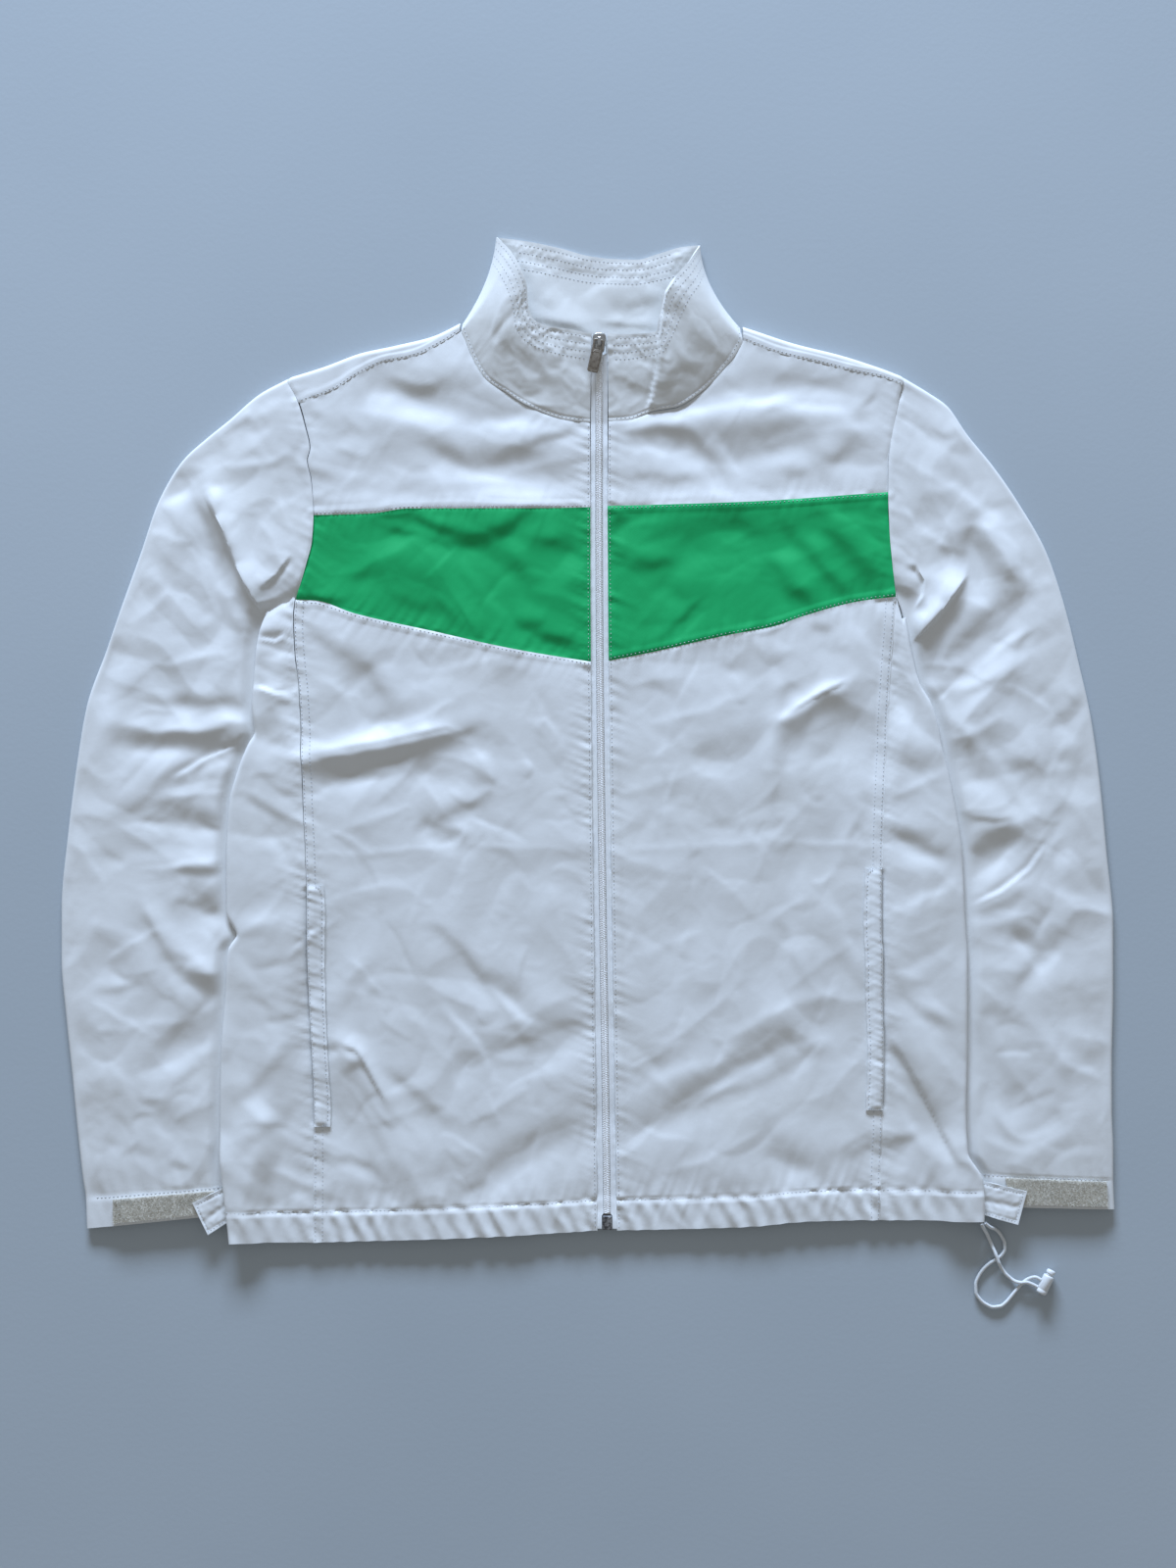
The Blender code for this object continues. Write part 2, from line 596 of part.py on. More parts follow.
def rolled(row, upper, lower, thick, reach, direction):
    """The outer and inner points of a C: along the row on top, round its end and back below."""
    mid, half = (upper[-1] + lower[-1]) / 2, (upper[-1] - lower[-1]) / 2
    outer = [(*p, z) for p, z in zip(row, upper)]
    inner = [(*p, z - t) for p, z, t in zip(row, upper, thick)]
    outer += nose(row[-1], direction, reach, half, mid, NOSE_ANGLES)
    inner += nose(row[-1], direction, reach - thick[-1], half - thick[-1], mid, NOSE_ANGLES)
    outer += [(*p, z) for p, z in zip(row[::-1], lower[::-1])]
    inner += [(*p, z + WALL) for p, z in zip(row[::-1], lower[::-1])]
    return np.array(outer), np.array(inner)


# ---- the seams, sampled once so that neighbours share their points ------------------------------
SHOULDER_CELLS = 7
YOKE_CELLS, BAND_CELLS, HEM_CELLS = 6, 4, 2
SIDE_CELLS = 4
SIDE_TOP_GAP = 1.4  # between the top of a side panel and the sleeve
SIDE_TOP_DROP = {"right": 13.5, "left": 21.0}  # how much lower a side panel ends at its fold
SIDE_TOP_REACH = 90.0
ABOVE_POCKET, ON_POCKET, UNDER_POCKET = 10, 8, 3
FRONT_CELLS = ABOVE_POCKET + ON_POCKET + UNDER_POCKET
BACK_SIDE_ROWS = tuple(range(2, FRONT_CELLS, 2)) + (FRONT_CELLS + HEM_CELLS,)
WELT_WIDTH = 14.0
FRONT_WIDTH = 222.0  # from the side seam to the zip, where the first column is the welt's width
POCKET_Y = {"right": (-114.0, -303.0), "left": (-101.0, -290.0)}


def neck_points(side):
    """The neck seam of one side, from the shoulder to the zip: the collar's sections stand on it."""
    points = [row[:2] for row in COLLAR if row[2] is ON_FRONT and (row[0] < 10) == (side == "right")]
    return np.array(points[::-1] if side == "right" else points, float)


def seams(side):
    """The sampled seams of one side of the front, each from the side fold's end to the zip's."""
    neck = neck_points(side)
    if side == "right":
        shoulder = along(SHOULDER_SEAM_RIGHT, SHOULDER_CELLS + 1)
        arm, seam, sign = arm_right, seam_right, -1
        band_top, band_bottom = through(BAND_TOP_RIGHT), through(BAND_BOTTOM_RIGHT)
        corners = (BAND_TOP_RIGHT[0], BAND_BOTTOM_RIGHT[0])
    else:
        shoulder = along(SHOULDER_SEAM_LEFT, SHOULDER_CELLS + 1)[::-1]
        arm, seam, sign = arm_left, seam_left, 1
        band_top, band_bottom = through(BAND_TOP_LEFT), through(BAND_BOTTOM_LEFT)
        corners = (BAND_TOP_LEFT[-1], BAND_BOTTOM_LEFT[-1])
    shoulder[-1] = neck[0]
    top = np.concatenate([shoulder[:-1], neck])
    share = (top[:, 0] - top[0, 0]) / (top[-1, 0] - top[0, 0])
    share = mix(share, np.linspace(0, 1, len(share)), 0.5)
    share = np.concatenate([[0], mix(WELT_WIDTH / FRONT_WIDTH, 1, (share[1:] - share[1]) / (1 - share[1]))])

    def line(start, curve, end_x):
        x = mix(start[0], end_x, share)
        return np.column_stack([x, curve(x)])

    def zip_edge(y):
        return zip_x(y) + sign * zip_half(y)

    upper = line(corners[0], band_top, zip_edge(182.5))
    lower = line(corners[1], band_bottom, zip_edge(61.5))
    hem_start = float(seam(-390.0 if sign < 0 else -376.0))
    edge = mix(hem_start, zip_edge(-384.0), share)
    hem = np.column_stack([edge, hem_y(edge)])
    stitch = hem + np.array([0, HEM_DEPTH])
    side_rows = np.concatenate([
        np.linspace(corners[1][1], POCKET_Y[side][0], ABOVE_POCKET + 1),
        np.linspace(POCKET_Y[side][0], POCKET_Y[side][1], ON_POCKET + 1)[1:],
        np.linspace(POCKET_Y[side][1], stitch[0, 1], UNDER_POCKET + 1)[1:],
        np.linspace(stitch[0, 1], hem[0, 1], HEM_CELLS + 1)[1:],
    ])
    # the seam is straight between the rows that the back panel has
    corner_y = np.array([side_rows[k] for k in reversed((0,) + BACK_SIDE_ROWS)])
    corner_x = seam(corner_y)

    def straight_seam(y):
        return np.interp(y, corner_y, corner_x)

    return {
        "sign": sign, "top": top, "band_top": upper, "band_bottom": lower, "stitch": stitch,
        "hem": hem, "arm": arm, "seam": straight_seam, "zip_edge": zip_edge, "shoulder": shoulder,
        "arm_rows_yoke": np.linspace(top[0, 1], corners[0][1], YOKE_CELLS + 1),
        "arm_rows_band": np.linspace(corners[0][1], corners[1][1], BAND_CELLS + 1),
        "side_rows": side_rows,
    }


def arm_stations(s):
    """The heights of the points round an armhole: the shoulder strip, the yoke, the band."""
    table = SLEEVE_RIGHT if s["sign"] < 0 else SLEEVE_LEFT
    armhole = dict(zip(SLEEVE_COLUMNS, table[0]))
    shoulder_y, under_y = armhole["outer_y"] - SHOULDER_NOSE, armhole["inner_y"] + SLEEVE_NOSE
    rows = np.concatenate([s["arm_rows_yoke"], s["arm_rows_band"][1:-1]])
    return np.concatenate([[shoulder_y, (shoulder_y + rows[0]) / 2], rows, [under_y]])


def edge_down(curve, rows):
    return np.column_stack([curve(rows), rows])


def zip_side(s, y_from, y_to, count):
    y = np.linspace(y_from, y_to, count)
    return np.column_stack([s["zip_edge"](y), y])


def fronts(side, cloth, green, trim):
    """The yoke, the chest band and the lower front of one side."""
    s = seams(side)
    half = SEAM_GAP / 2
    arm, top, upper, lower = s["arm"], s["top"], s["band_top"], s["band_bottom"]
    left = edge_down(arm, s["arm_rows_yoke"])
    left[0], left[-1] = top[0], upper[0]
    right = zip_side(s, top[-1, 1], upper[-1, 1], YOKE_CELLS + 1)
    right[0], right[-1] = top[-1], upper[-1]
    front_piece(f"yoke_{side}", inset(patch(top, upper, left, right), half), cloth)

    left = edge_down(arm, s["arm_rows_band"])
    left[0], left[-1] = upper[0], lower[0]
    right = zip_side(s, upper[-1, 1], lower[-1, 1], BAND_CELLS + 1)
    right[0], right[-1] = upper[-1], lower[-1]
    front_piece(f"chest_band_{side}", inset(patch(upper, lower, left, right), half), green)

    left = edge_down(s["seam"], s["side_rows"])
    left[0], left[-1] = lower[0], s["hem"][0]
    down = (left[0, 1] - left[:, 1]) / (left[0, 1] - left[FRONT_CELLS, 1])
    y = mix(lower[-1, 1], s["stitch"][-1, 1], down)
    right = np.column_stack([s["zip_edge"](y), y])
    right[0], right[-1] = lower[-1], s["hem"][-1]
    rows = list(inset(patch(lower, s["hem"], left, right), half))
    pocket = rows[ABOVE_POCKET : ABOVE_POCKET + ON_POCKET + 1]
    welt(f"pocket_welt_{side}", [row[:2] for row in pocket], trim)
    rows = rows[:FRONT_CELLS] + [split_row(r, HEM_SPLIT) for r in rows[FRONT_CELLS:]]
    front_piece(f"front_{side}", rows, cloth)
    return s


def welt(name, rows, look):
    """A pocket welt: a strip of the front's own points beside the side seam, moved out."""
    on_panel = [np.column_stack([r, front_z(r[:, 0], r[:, 1])]) for r in rows]
    low = [r + np.array([0, 0, LAID_GAP]) for r in on_panel]
    high = [r + np.array([0, 0, TRIM_WALL]) for r in low]
    points, faces = stack(high)
    wall(name, points, stack(low)[0], faces, look)


def side_panel(side, s, cloth):
    """A side panel: from the front seam round the side fold and back under to the back seam."""
    sign = s["sign"]
    fold = fold_right if sign < 0 else fold_left
    seam_rows = s["side_rows"]
    seam_line = edge_down(s["seam"], seam_rows) + np.array([sign * SEAM_GAP / 2, 0])
    seam_line[0, 1] -= SIDE_TOP_GAP
    drop = SIDE_TOP_DROP[side] * (1 - ease((seam_rows[0] - seam_rows) / SIDE_TOP_REACH))
    fold_y = seam_rows - drop
    fold_y[-1] = float(hem_y(np.array(sign * 270.0)))
    fold_line = np.column_stack([fold(fold_y) - sign * FOLD_NOSE, fold_y])
    tangent = np.gradient(fold_line, axis=0)
    outward = np.column_stack([-tangent[:, 1], tangent[:, 0]]) * sign
    outward /= np.linalg.norm(outward, axis=1)[:, None]
    outer_rows, inner_rows = [], []
    for start, end, direction in zip(seam_line, fold_line, outward):
        row = mix(start[None], end[None], np.linspace(0, 1, SIDE_CELLS + 1)[:, None])
        x, y = row[:, 0], row[:, 1]
        upper, lower, thick = front_z(x, y), body_lift(x, y), wall_at(x, y)
        outer, inner = rolled(row, upper, lower, thick, FOLD_NOSE, direction)
        outer_rows.append(outer)
        inner_rows.append(inner)
    points, faces = stack(outer_rows)
    wall(f"side_panel_{side}", points, stack(inner_rows)[0], faces, cloth)


def sleeve(side, s, cloth):
    """A sleeve: a flattened tube through its sections, open at the armhole and at the cuff."""
    sign = s["sign"]
    table = np.array(SLEEVE_RIGHT if sign < 0 else SLEEVE_LEFT, float)
    fold_table = SLEEVE_FOLDS_RIGHT if sign < 0 else SLEEVE_FOLDS_LEFT
    rise = rise_right if sign < 0 else rise_left
    stations = arm_stations(s)
    share = (table[0, 1] - stations) / (table[0, 1] - table[0, 3])
    chord = mix(table[0, :2][None], table[0, 2:][None], share[:, None])
    armhole = np.column_stack([s["arm"](stations), stations]) + np.array([sign * SEAM_GAP / 2, 0])
    bulge = armhole - chord
    outer_rows, inner_rows = [], []
    for k, (outer_x, outer_y, inner_x, inner_y) in enumerate(table):
        start, end = np.array([outer_x, outer_y]), np.array([inner_x, inner_y])
        width = np.linalg.norm(end - start)
        way = (end - start) / width
        out_reach = mix(SHOULDER_NOSE, SLEEVE_NOSE, ease(k / 3))
        first, last = out_reach / width, 1 - SLEEVE_NOSE / width
        at = mix(first, last, (share - share[0]) / (share[-1] - share[0]))
        row = mix(start[None], end[None], at[:, None]) + bulge * ease(1 - k / 5)
        if k == 0:
            row = armhole
        z = sleeve_z(row[:, 0], row[:, 1], at, width, rise, sign, fold_table)
        if k == 0:
            z = np.maximum(z, front_z(row[:, 0], row[:, 1]) * ease((row[:, 1] - 118) / 30))
        below = row[::2]
        outer = [(*p, h) for p, h in zip(row, z)]
        inner = [(*p, h - WALL) for p, h in zip(row, z)]
        for at_end, reach, order in ((row[-1], SLEEVE_NOSE, 1), (row[0], out_reach, -1)):
            top_z = z[-1] if order > 0 else z[0]
            direction = way * order
            angles = NOSE_ANGLES if order > 0 else NOSE_ANGLES[::-1]
            if order < 0:
                outer += [(*p, 0.0) for p in below[::-1]]
                inner += [(*p, WALL) for p in below[::-1]]
            outer += nose(at_end, direction, reach, top_z / 2, top_z / 2, angles)
            inner += nose(at_end, direction, reach - WALL, top_z / 2 - WALL, top_z / 2, angles)
        outer_rows.append(np.array(outer))
        inner_rows.append(np.array(inner))
    points, faces = stack(outer_rows, closed=True)
    wall(f"sleeve_{side}", points, stack(inner_rows)[0], faces, cloth)
    return [rows[: len(stations)] for rows in outer_rows[-2:]]


def back_edge(s):
    """One side of the back, from the shoulder fold to the hem, level with its neighbours' points."""
    half = s["sign"] * SEAM_GAP / 2
    arm_y = arm_stations(s)[::2]
    side_y = s["side_rows"][list(BACK_SIDE_ROWS)]
    edge = np.concatenate([edge_down(s["arm"], arm_y), edge_down(s["seam"], side_y)])
    return edge - np.array([half, 0])


def back(right, left, cloth):
    """The back panel, flat on the surface, and the shoulder strips that it carries forward."""
    edge_right, edge_left = back_edge(right), back_edge(left)
    fold_y_right, fold_y_left = through(SHOULDER_FOLD_RIGHT), through(SHOULDER_FOLD_LEFT)
    neck = np.array([(row[0], row[1] - SEAM_GAP) for row in COLLAR if row[2] == 0], float)
    x_right = np.linspace(edge_right[0, 0], right["shoulder"][-1, 0] - SEAM_GAP, SHOULDER_CELLS + 1)
    x_left = np.linspace(left["shoulder"][-1, 0] + SEAM_GAP, edge_left[0, 0], SHOULDER_CELLS + 1)
    top = np.concatenate([
        np.column_stack([x_right, fold_y_right(x_right) - SHOULDER_NOSE]),
        neck,
        np.column_stack([x_left, fold_y_left(x_left) - SHOULDER_NOSE]),
    ])
    top[0], top[-1] = edge_right[0], edge_left[0]
    share = (top[:, 0] - top[0, 0]) / (top[-1, 0] - top[0, 0])
    bottom_x = mix(edge_right[-1, 0], edge_left[-1, 0], share)
    bottom = np.column_stack([bottom_x, hem_y(bottom_x) + 1.0])
    edge_right[-1], edge_left[-1] = bottom[0], bottom[-1]
    flat = list(patch(top, bottom, edge_right, edge_left))[::-1]
    outer = [np.column_stack([row, body_lift(row[:, 0], row[:, 1])]) for row in flat]
    inner = [row + np.array([0, 0, WALL]) for row in outer]

    # round the shoulder fold and forward to the shoulder seam, for the columns of the shoulders
    up = np.array([0.0, 1.0])
    start = flat[-1]
    half_z = front_z(start[:, 0], start[:, 1]) / 2
    for angle in NOSE_ANGLES[::-1]:
        outer.append(np.array([
            nose(p, up, SHOULDER_NOSE, h, h, (angle,))[0] for p, h in zip(start, half_z)
        ]))
        inner.append(np.array([
            nose(p, up, SHOULDER_NOSE - WALL, h - WALL, h, (angle,))[0] for p, h in zip(start, half_z)
        ]))
    seam = start.copy()
    gap = np.array([0, SEAM_GAP / 2])
    seam[: SHOULDER_CELLS + 1] = right["shoulder"] + gap
    seam[-SHOULDER_CELLS - 1 :] = left["shoulder"][::-1] + gap
    for t in (0.0, 0.5, 1.0):
        row = mix(start, seam, t)
        row[0, 0] = right["arm"](row[0, 1]) + SEAM_GAP / 2
        row[-1, 0] = left["arm"](row[-1, 1]) - SEAM_GAP / 2
        z = front_z(row[:, 0], row[:, 1])
        outer.append(np.column_stack([row, z]))
        inner.append(np.column_stack([row, z - WALL]))
    points, faces = stack(outer)
    wide, flat_rows = len(top), len(flat)
    kept = []
    for face in faces:
        row, column = min(face) // wide, min(i % wide for i in face)
        if row < flat_rows - 1 or column < SHOULDER_CELLS or column >= wide - 1 - SHOULDER_CELLS:
            kept.append(face)
    wall("back", points, stack(inner)[0], kept, cloth)


def collar_rows():
    """The collar's outer points: a row for each height, from the neck seam to the top edge."""
    table = [list(row) for row in COLLAR]
    for row in table:
        if row[2] is ON_FRONT:
            row[2] = float(front_z(np.array(row[0]), np.array(row[1])))
    table = np.array(table, float)
    top_at, mid_at = COLLAR_COLUMNS.index("top_x"), COLLAR_COLUMNS.index("mid_x")
    seam, top, mid = table[:, :top_at].copy(), table[:, top_at:mid_at], table[:, mid_at:]
    flat_step = np.gradient(seam[:, :2], axis=0)
    flat_step /= np.linalg.norm(flat_step, axis=1)[:, None]
    inward = np.column_stack([flat_step[:, 1], -flat_step[:, 0]])
    on_front_side = np.array([row[2] is ON_FRONT for row in COLLAR])
    seam[:, :2] += np.where(on_front_side[:, None], inward, 0) * SEAM_GAP * 0.6
    rows = []
    for v in (0, 0.25, 0.5, 0.75, 1):
        bow = 4 * v * (1 - v)
        rows.append(mix(seam, top, v) + mid * bow)
    return np.array(rows)


def collar(cloth):
    rows = collar_rows()
    across = np.gradient(rows, axis=1)
    upward = np.gradient(rows, axis=0)
    normal = np.cross(across, upward)
    normal /= np.linalg.norm(normal, axis=2)[:, :, None]
    if normal[2, 1, 2] < 0:
        normal = -normal
    inner = rows - normal * COLLAR_WALL
    points, faces = stack(list(rows))
    wall("collar", points, stack(list(inner))[0], faces, cloth)


def zip_height(y):
    """The height of the cloth beside the zip, up the front and then up the collar."""
    y = np.asarray(y, float)
    on_body = front_z(zip_x(y) - zip_half(y), np.minimum(y, ZIP_COLLAR_Y))
    at_seam = float(front_z(np.array(1.5), np.array(ZIP_COLLAR_Y)))
    share = np.clip((y - ZIP_COLLAR_Y) / (ZIP_TOP - ZIP_COLLAR_Y), 0, 1)
    on_collar = mix(at_seam, ZIP_TOP_Z, share) + ZIP_BOW * share * (1 - share)
    return np.where(y <= ZIP_COLLAR_Y, on_body, on_collar)


def strip(name, y, low_x, high_x, low_z, high_z, look):
    """A bar with a rectangular section that runs along y."""
    rows = [
        np.array([(a, t, lo), (b, t, lo), (b, t, hi), (a, t, hi)])
        for a, b, t, lo, hi in zip(low_x, high_x, y, low_z, high_z)
    ]
    points, faces = stack(rows, closed=True)
    last = len(points) - 4
    faces += [(0, 1, 2, 3), (last + 3, last + 2, last + 1, last)]
    return add_mesh(name, points, faces, look)


def zip_tapes(white, chain_look):
    top = ZIP_TOP - 0.4
    y = np.linspace(ZIP_BOTTOM + BOX_SIZE[1] + 1.5, PULL_ARCH_Y - SLIDER_LENGTH / 2 - 0.4, CHAIN_ROWS)
    z = zip_height(y) - TAPE_SINK
    half = CHAIN_WIDTH / 2
    middle = z - TAPE_THICK / 2
    low, high = middle - CHAIN_THICK / 2, middle + CHAIN_THICK / 2
    strip("zip_chain", y, zip_x(y) - half, zip_x(y) + half, low, high, chain_look)
    # beside the slider and the box the tapes are narrower
    foot, arch = y[0] - 0.3, y[-1] + 0.2
    between = np.linspace(foot + 1.5, arch - 3.0, CHAIN_ROWS - 4)
    y = np.concatenate([[ZIP_BOTTOM + 0.5, foot], between, [arch, top]])
    z = zip_height(y) - TAPE_SINK
    wide = np.full(len(y), half)
    wide[:2], wide[-2:] = BOX_SIZE[0] / 2, SLIDER_WIDE / 2
    wide += SEAM_GAP
    for side, sign in (("right", -1), ("left", 1)):
        near = zip_x(y) + sign * wide
        far = zip_x(y) + sign * (zip_half(y) - SEAM_GAP)
        low_x, high_x = np.minimum(near, far), np.maximum(near, far)
        strip(f"zip_tape_{side}", y, low_x, high_x, z - TAPE_THICK, z, white)


def box(name, centre, size, look, origin=(0, 0, 0), tilt=0.0, turn=0.0, bevel=0.0):
    """A block with bevelled edges, tilted about X and then turned about Z, at its centre."""
    work = bmesh.new()
    bmesh.ops.create_cube(work, size=1)
    bmesh.ops.scale(work, vec=Vector(size), verts=work.verts)
    if bevel:
        bmesh.ops.bevel(work, geom=work.edges[:], offset=bevel, segments=2, profile=0.6, affect="EDGES")
    points = [place(v.co, centre, tilt, turn) for v in work.verts]
    faces = [[v.index for v in f.verts] for f in work.faces]
    work.free()
    return add_mesh(name, points, faces, look, origin)


def place(point, centre, tilt, turn):
    """A local point tilted about X, turned about Z and moved to its centre."""
    x, y, z = point
    y, z = y * math.cos(tilt) - z * math.sin(tilt), y * math.sin(tilt) + z * math.cos(tilt)
    x, y = x * math.cos(turn) - y * math.sin(turn), x * math.sin(turn) + y * math.cos(turn)
    return (x + centre[0], y + centre[1], z + centre[2])


def framed_plate(name, outline, hole, low, high, look, arrange, origin=(0, 0, 0)):
    """A plate with one hole: both loops have the same number of points."""
    count = len(outline)
    points = [arrange(*p, low) for p in outline] + [arrange(*p, low) for p in hole]
    points += [arrange(*p, high) for p in outline] + [arrange(*p, high) for p in hole]
    faces = []
    for i in range(count):
        j = (i + 1) % count
        faces.append((i, j, count + j, count + i))
        faces.append((2 * count + j, 2 * count + i, 3 * count + i, 3 * count + j))
        faces.append((j, i, 2 * count + i, 2 * count + j))
        faces.append((count + i, count + j, 3 * count + j, 3 * count + i))
    return add_mesh(name, points, faces, look, origin)


def rounded(low_x, low_y, high_x, high_y, radius, steps=3):
    """A rectangle with round corners, as a loop that turns left."""
    loop = []
    corners = ((high_x, high_y, 0), (low_x, high_y, 90), (low_x, low_y, 180), (high_x, low_y, 270))
    for x, y, start in corners:
        cx = x - math.copysign(radius, x - (low_x + high_x) / 2)
        cy = y - math.copysign(radius, y - (low_y + high_y) / 2)
        for i in range(steps + 1):
            angle = math.radians(start + 90 * i / steps)
            loop.append((cx + radius * math.cos(angle), cy + radius * math.sin(angle)))
    return loop


def unite(base, other):
    """Joins another object to the base as one body, and removes the other."""
    joint = base.modifiers.new("joined", "BOOLEAN")
    joint.operation, joint.solver, joint.object = "UNION", "EXACT", other
    other.hide_render = True
    other.display_type = "WIRE"


def zip_fittings(metal, dark):
    """The slider with its bridge, the pull tab on the bridge, and the box at the zip's foot."""
    centre_y = PULL_ARCH_Y
    surface = float(zip_height(centre_y))
    slope = float(zip_height(centre_y) - zip_height(centre_y - 24)) / 24
    tilt = math.atan(slope)
    centre_x = float(zip_x(centre_y))
    top = surface + SLIDER_RISE
    half = SLIDER_LENGTH / 2
    outline = (
        (-SLIDER_WIDE / 2, half - 2.0), (-SLIDER_WIDE / 2 + 2.0, half), (SLIDER_WIDE / 2 - 2.0, half),
        (SLIDER_WIDE / 2, half - 2.0), (SLIDER_WIDE / 2, half - 5.5), (SLIDER_NARROW / 2, -half + 1.0),
        (SLIDER_NARROW / 2 - 1.0, -half), (-SLIDER_NARROW / 2 + 1.0, -half),
        (-SLIDER_NARROW / 2, -half + 1.0), (-SLIDER_WIDE / 2, half - 5.5),
    )
    points, count = [], len(outline)
    for low, shrink in ((-SLIDER_THICK, 0.9), (-SLIDER_THICK + 0.7, 1.0), (-0.6, 1.0), (0.0, 0.86)):
        for x, y in outline:
            local = (x * shrink, y * (0.5 + shrink / 2), low)
            points.append(place(local, (centre_x, centre_y, top), tilt, 0))
    faces = [tuple(range(count)), tuple(range(3 * count, 4 * count))[::-1]]
    for ring in range(3):
        for i in range(count):
            a, b = ring * count + i, ring * count + (i + 1) % count
            faces.append((a, b, b + count, a + count))
    slider = add_mesh("zip_slider", points, faces, metal)

    hinge_rise = BRIDGE_HOLE / 2 + 0.1
    hinge_local = (0.0, 1.6, hinge_rise)
    hinge = place(hinge_local, (centre_x, centre_y, top), tilt, 0)

    def on_bridge(along_y, up, across):
        local = (across, along_y, up)
        return place(local, (centre_x, centre_y, top), tilt, 0)

    # the bridge: a loop over the hinge bar, in the plane of the zip's own length
    bar_y = hinge_local[1]
    outer = rounded(bar_y - 4.6, -0.5, bar_y + 2.9, BRIDGE_HIGH + 0.3, 1.2)
    hole = rounded(bar_y - BRIDGE_HOLE / 2, hinge_rise - BRIDGE_HOLE / 2 + 0.15, bar_y + BRIDGE_HOLE / 2,
                   hinge_rise + BRIDGE_HOLE / 2 - 0.4, 0.6)
    bridge = framed_plate("bridge", outer, hole, -BRIDGE_WIDE / 2, BRIDGE_WIDE / 2, metal, on_bridge)
    unite(slider, bridge)

    turn = -math.radians(PULL_SWING)

    def on_pull(x, y, z):
        return place((x, y, z), hinge, tilt, turn)

    slot_wide, slot_long = PULL_SLOT
    bar = PULL_BAR / 2
    shape = rounded(-PULL_WIDE / 2, -PULL_LENGTH + bar, PULL_WIDE / 2, bar, 1.0)
    slot = rounded(-slot_wide / 2, -bar - slot_long, slot_wide / 2, -bar, 0.5)
    framed_plate("zip_pull", shape, slot, -PULL_THICK / 2, PULL_THICK / 2, metal, on_pull, origin=hinge)

    foot_y = ZIP_BOTTOM + BOX_SIZE[1] / 2 - 0.4
    foot_z = float(zip_height(foot_y)) - TAPE_SINK - TAPE_THICK / 2
    box("zip_box", (float(zip_x(foot_y)), foot_y, foot_z), BOX_SIZE, dark, bevel=0.5)
    return hinge


def loop_strip(name, cuff, place_on_cuff, look):
    """A strip of loop tape on a cuff, made from the sleeve's own points between two of its rows."""
    upper, lower = cuff
    start, end, top, bottom = place_on_cuff
    run = np.linalg.norm(upper[:, :2] - upper[0, :2], axis=1)
    share = mix(SLEEVE_NOSE, run[-1] + SLEEVE_NOSE, run / run[-1]) / (run[-1] + 2 * SLEEVE_NOSE)
    columns = np.concatenate([[start], share[(share > start) & (share < end)], [end]])
    rows = []
    for v in np.linspace(top, bottom, 3):
        line = mix(upper, lower, v)
        on_sleeve = np.column_stack([np.interp(columns, share, line[:, k]) for k in range(3)])
        rows.append(on_sleeve + np.array([0, 0, LAID_GAP]))
    points, faces = stack([row + np.array([0, 0, TRIM_WALL]) for row in rows])
    wall(name, points, stack(rows)[0], faces, look)


def cuff_tab(name, cuff, corners, look):
    """A cuff tab: a strap end that lies over the loop strip and runs in under the body."""
    upper, lower = (row[np.argsort(row[:, 0])] for row in cuff)
    a, b, c, d = (np.array(p, float) for p in corners)
    rows = []
    for v in np.linspace(0, 1, 3):
        row = mix(mix(a, d, v)[None], mix(b, c, v)[None], np.linspace(0, 1, 7)[:, None])
        x, y = row[:, 0], row[:, 1]
        top_y, edge_y = np.interp(x, upper[:, 0], upper[:, 1]), np.interp(x, lower[:, 0], lower[:, 1])
        down = np.clip((top_y - y) / (top_y - edge_y), 0, 1)
        z = mix(np.interp(x, upper[:, 0], upper[:, 2]), np.interp(x, lower[:, 0], lower[:, 2]), down)
        rows.append(np.column_stack([x, y, z + TAB_LIFT]))
    points, faces = stack([row + np.array([0, 0, TRIM_WALL]) for row in rows])
    wall(name, points, stack(rows)[0], faces, look)


def cord(name, route, look):
    """A free strand: a tube on points read from a smooth curve through the route."""
    way = np.array(route, float)
    run = np.concatenate([[0], np.cumsum(np.linalg.norm(np.diff(way, axis=0), axis=1))])
    count = int(run[-1] / (2.2 * CORD_THICK)) + 1
    at = np.linspace(0, run[-1], count)
    points = np.column_stack([through(np.column_stack([run, way[:, k]]))(at) for k in range(3)])
    curve = bpy.data.curves.new(name, "CURVE")
    curve.dimensions = "3D"
    curve.bevel_depth = CORD_THICK / 2 * MM
    curve.bevel_resolution = 2
    curve.use_fill_caps = True
    line = curve.splines.new("POLY")
    line.points.add(count - 1)
    for spot, point in zip(line.points, points):
        spot.co = (*(point * MM), 1)
    curve.materials.append(look)
    made = bpy.data.objects.new(name, curve)
    bpy.context.scene.collection.objects.link(made)
    return made


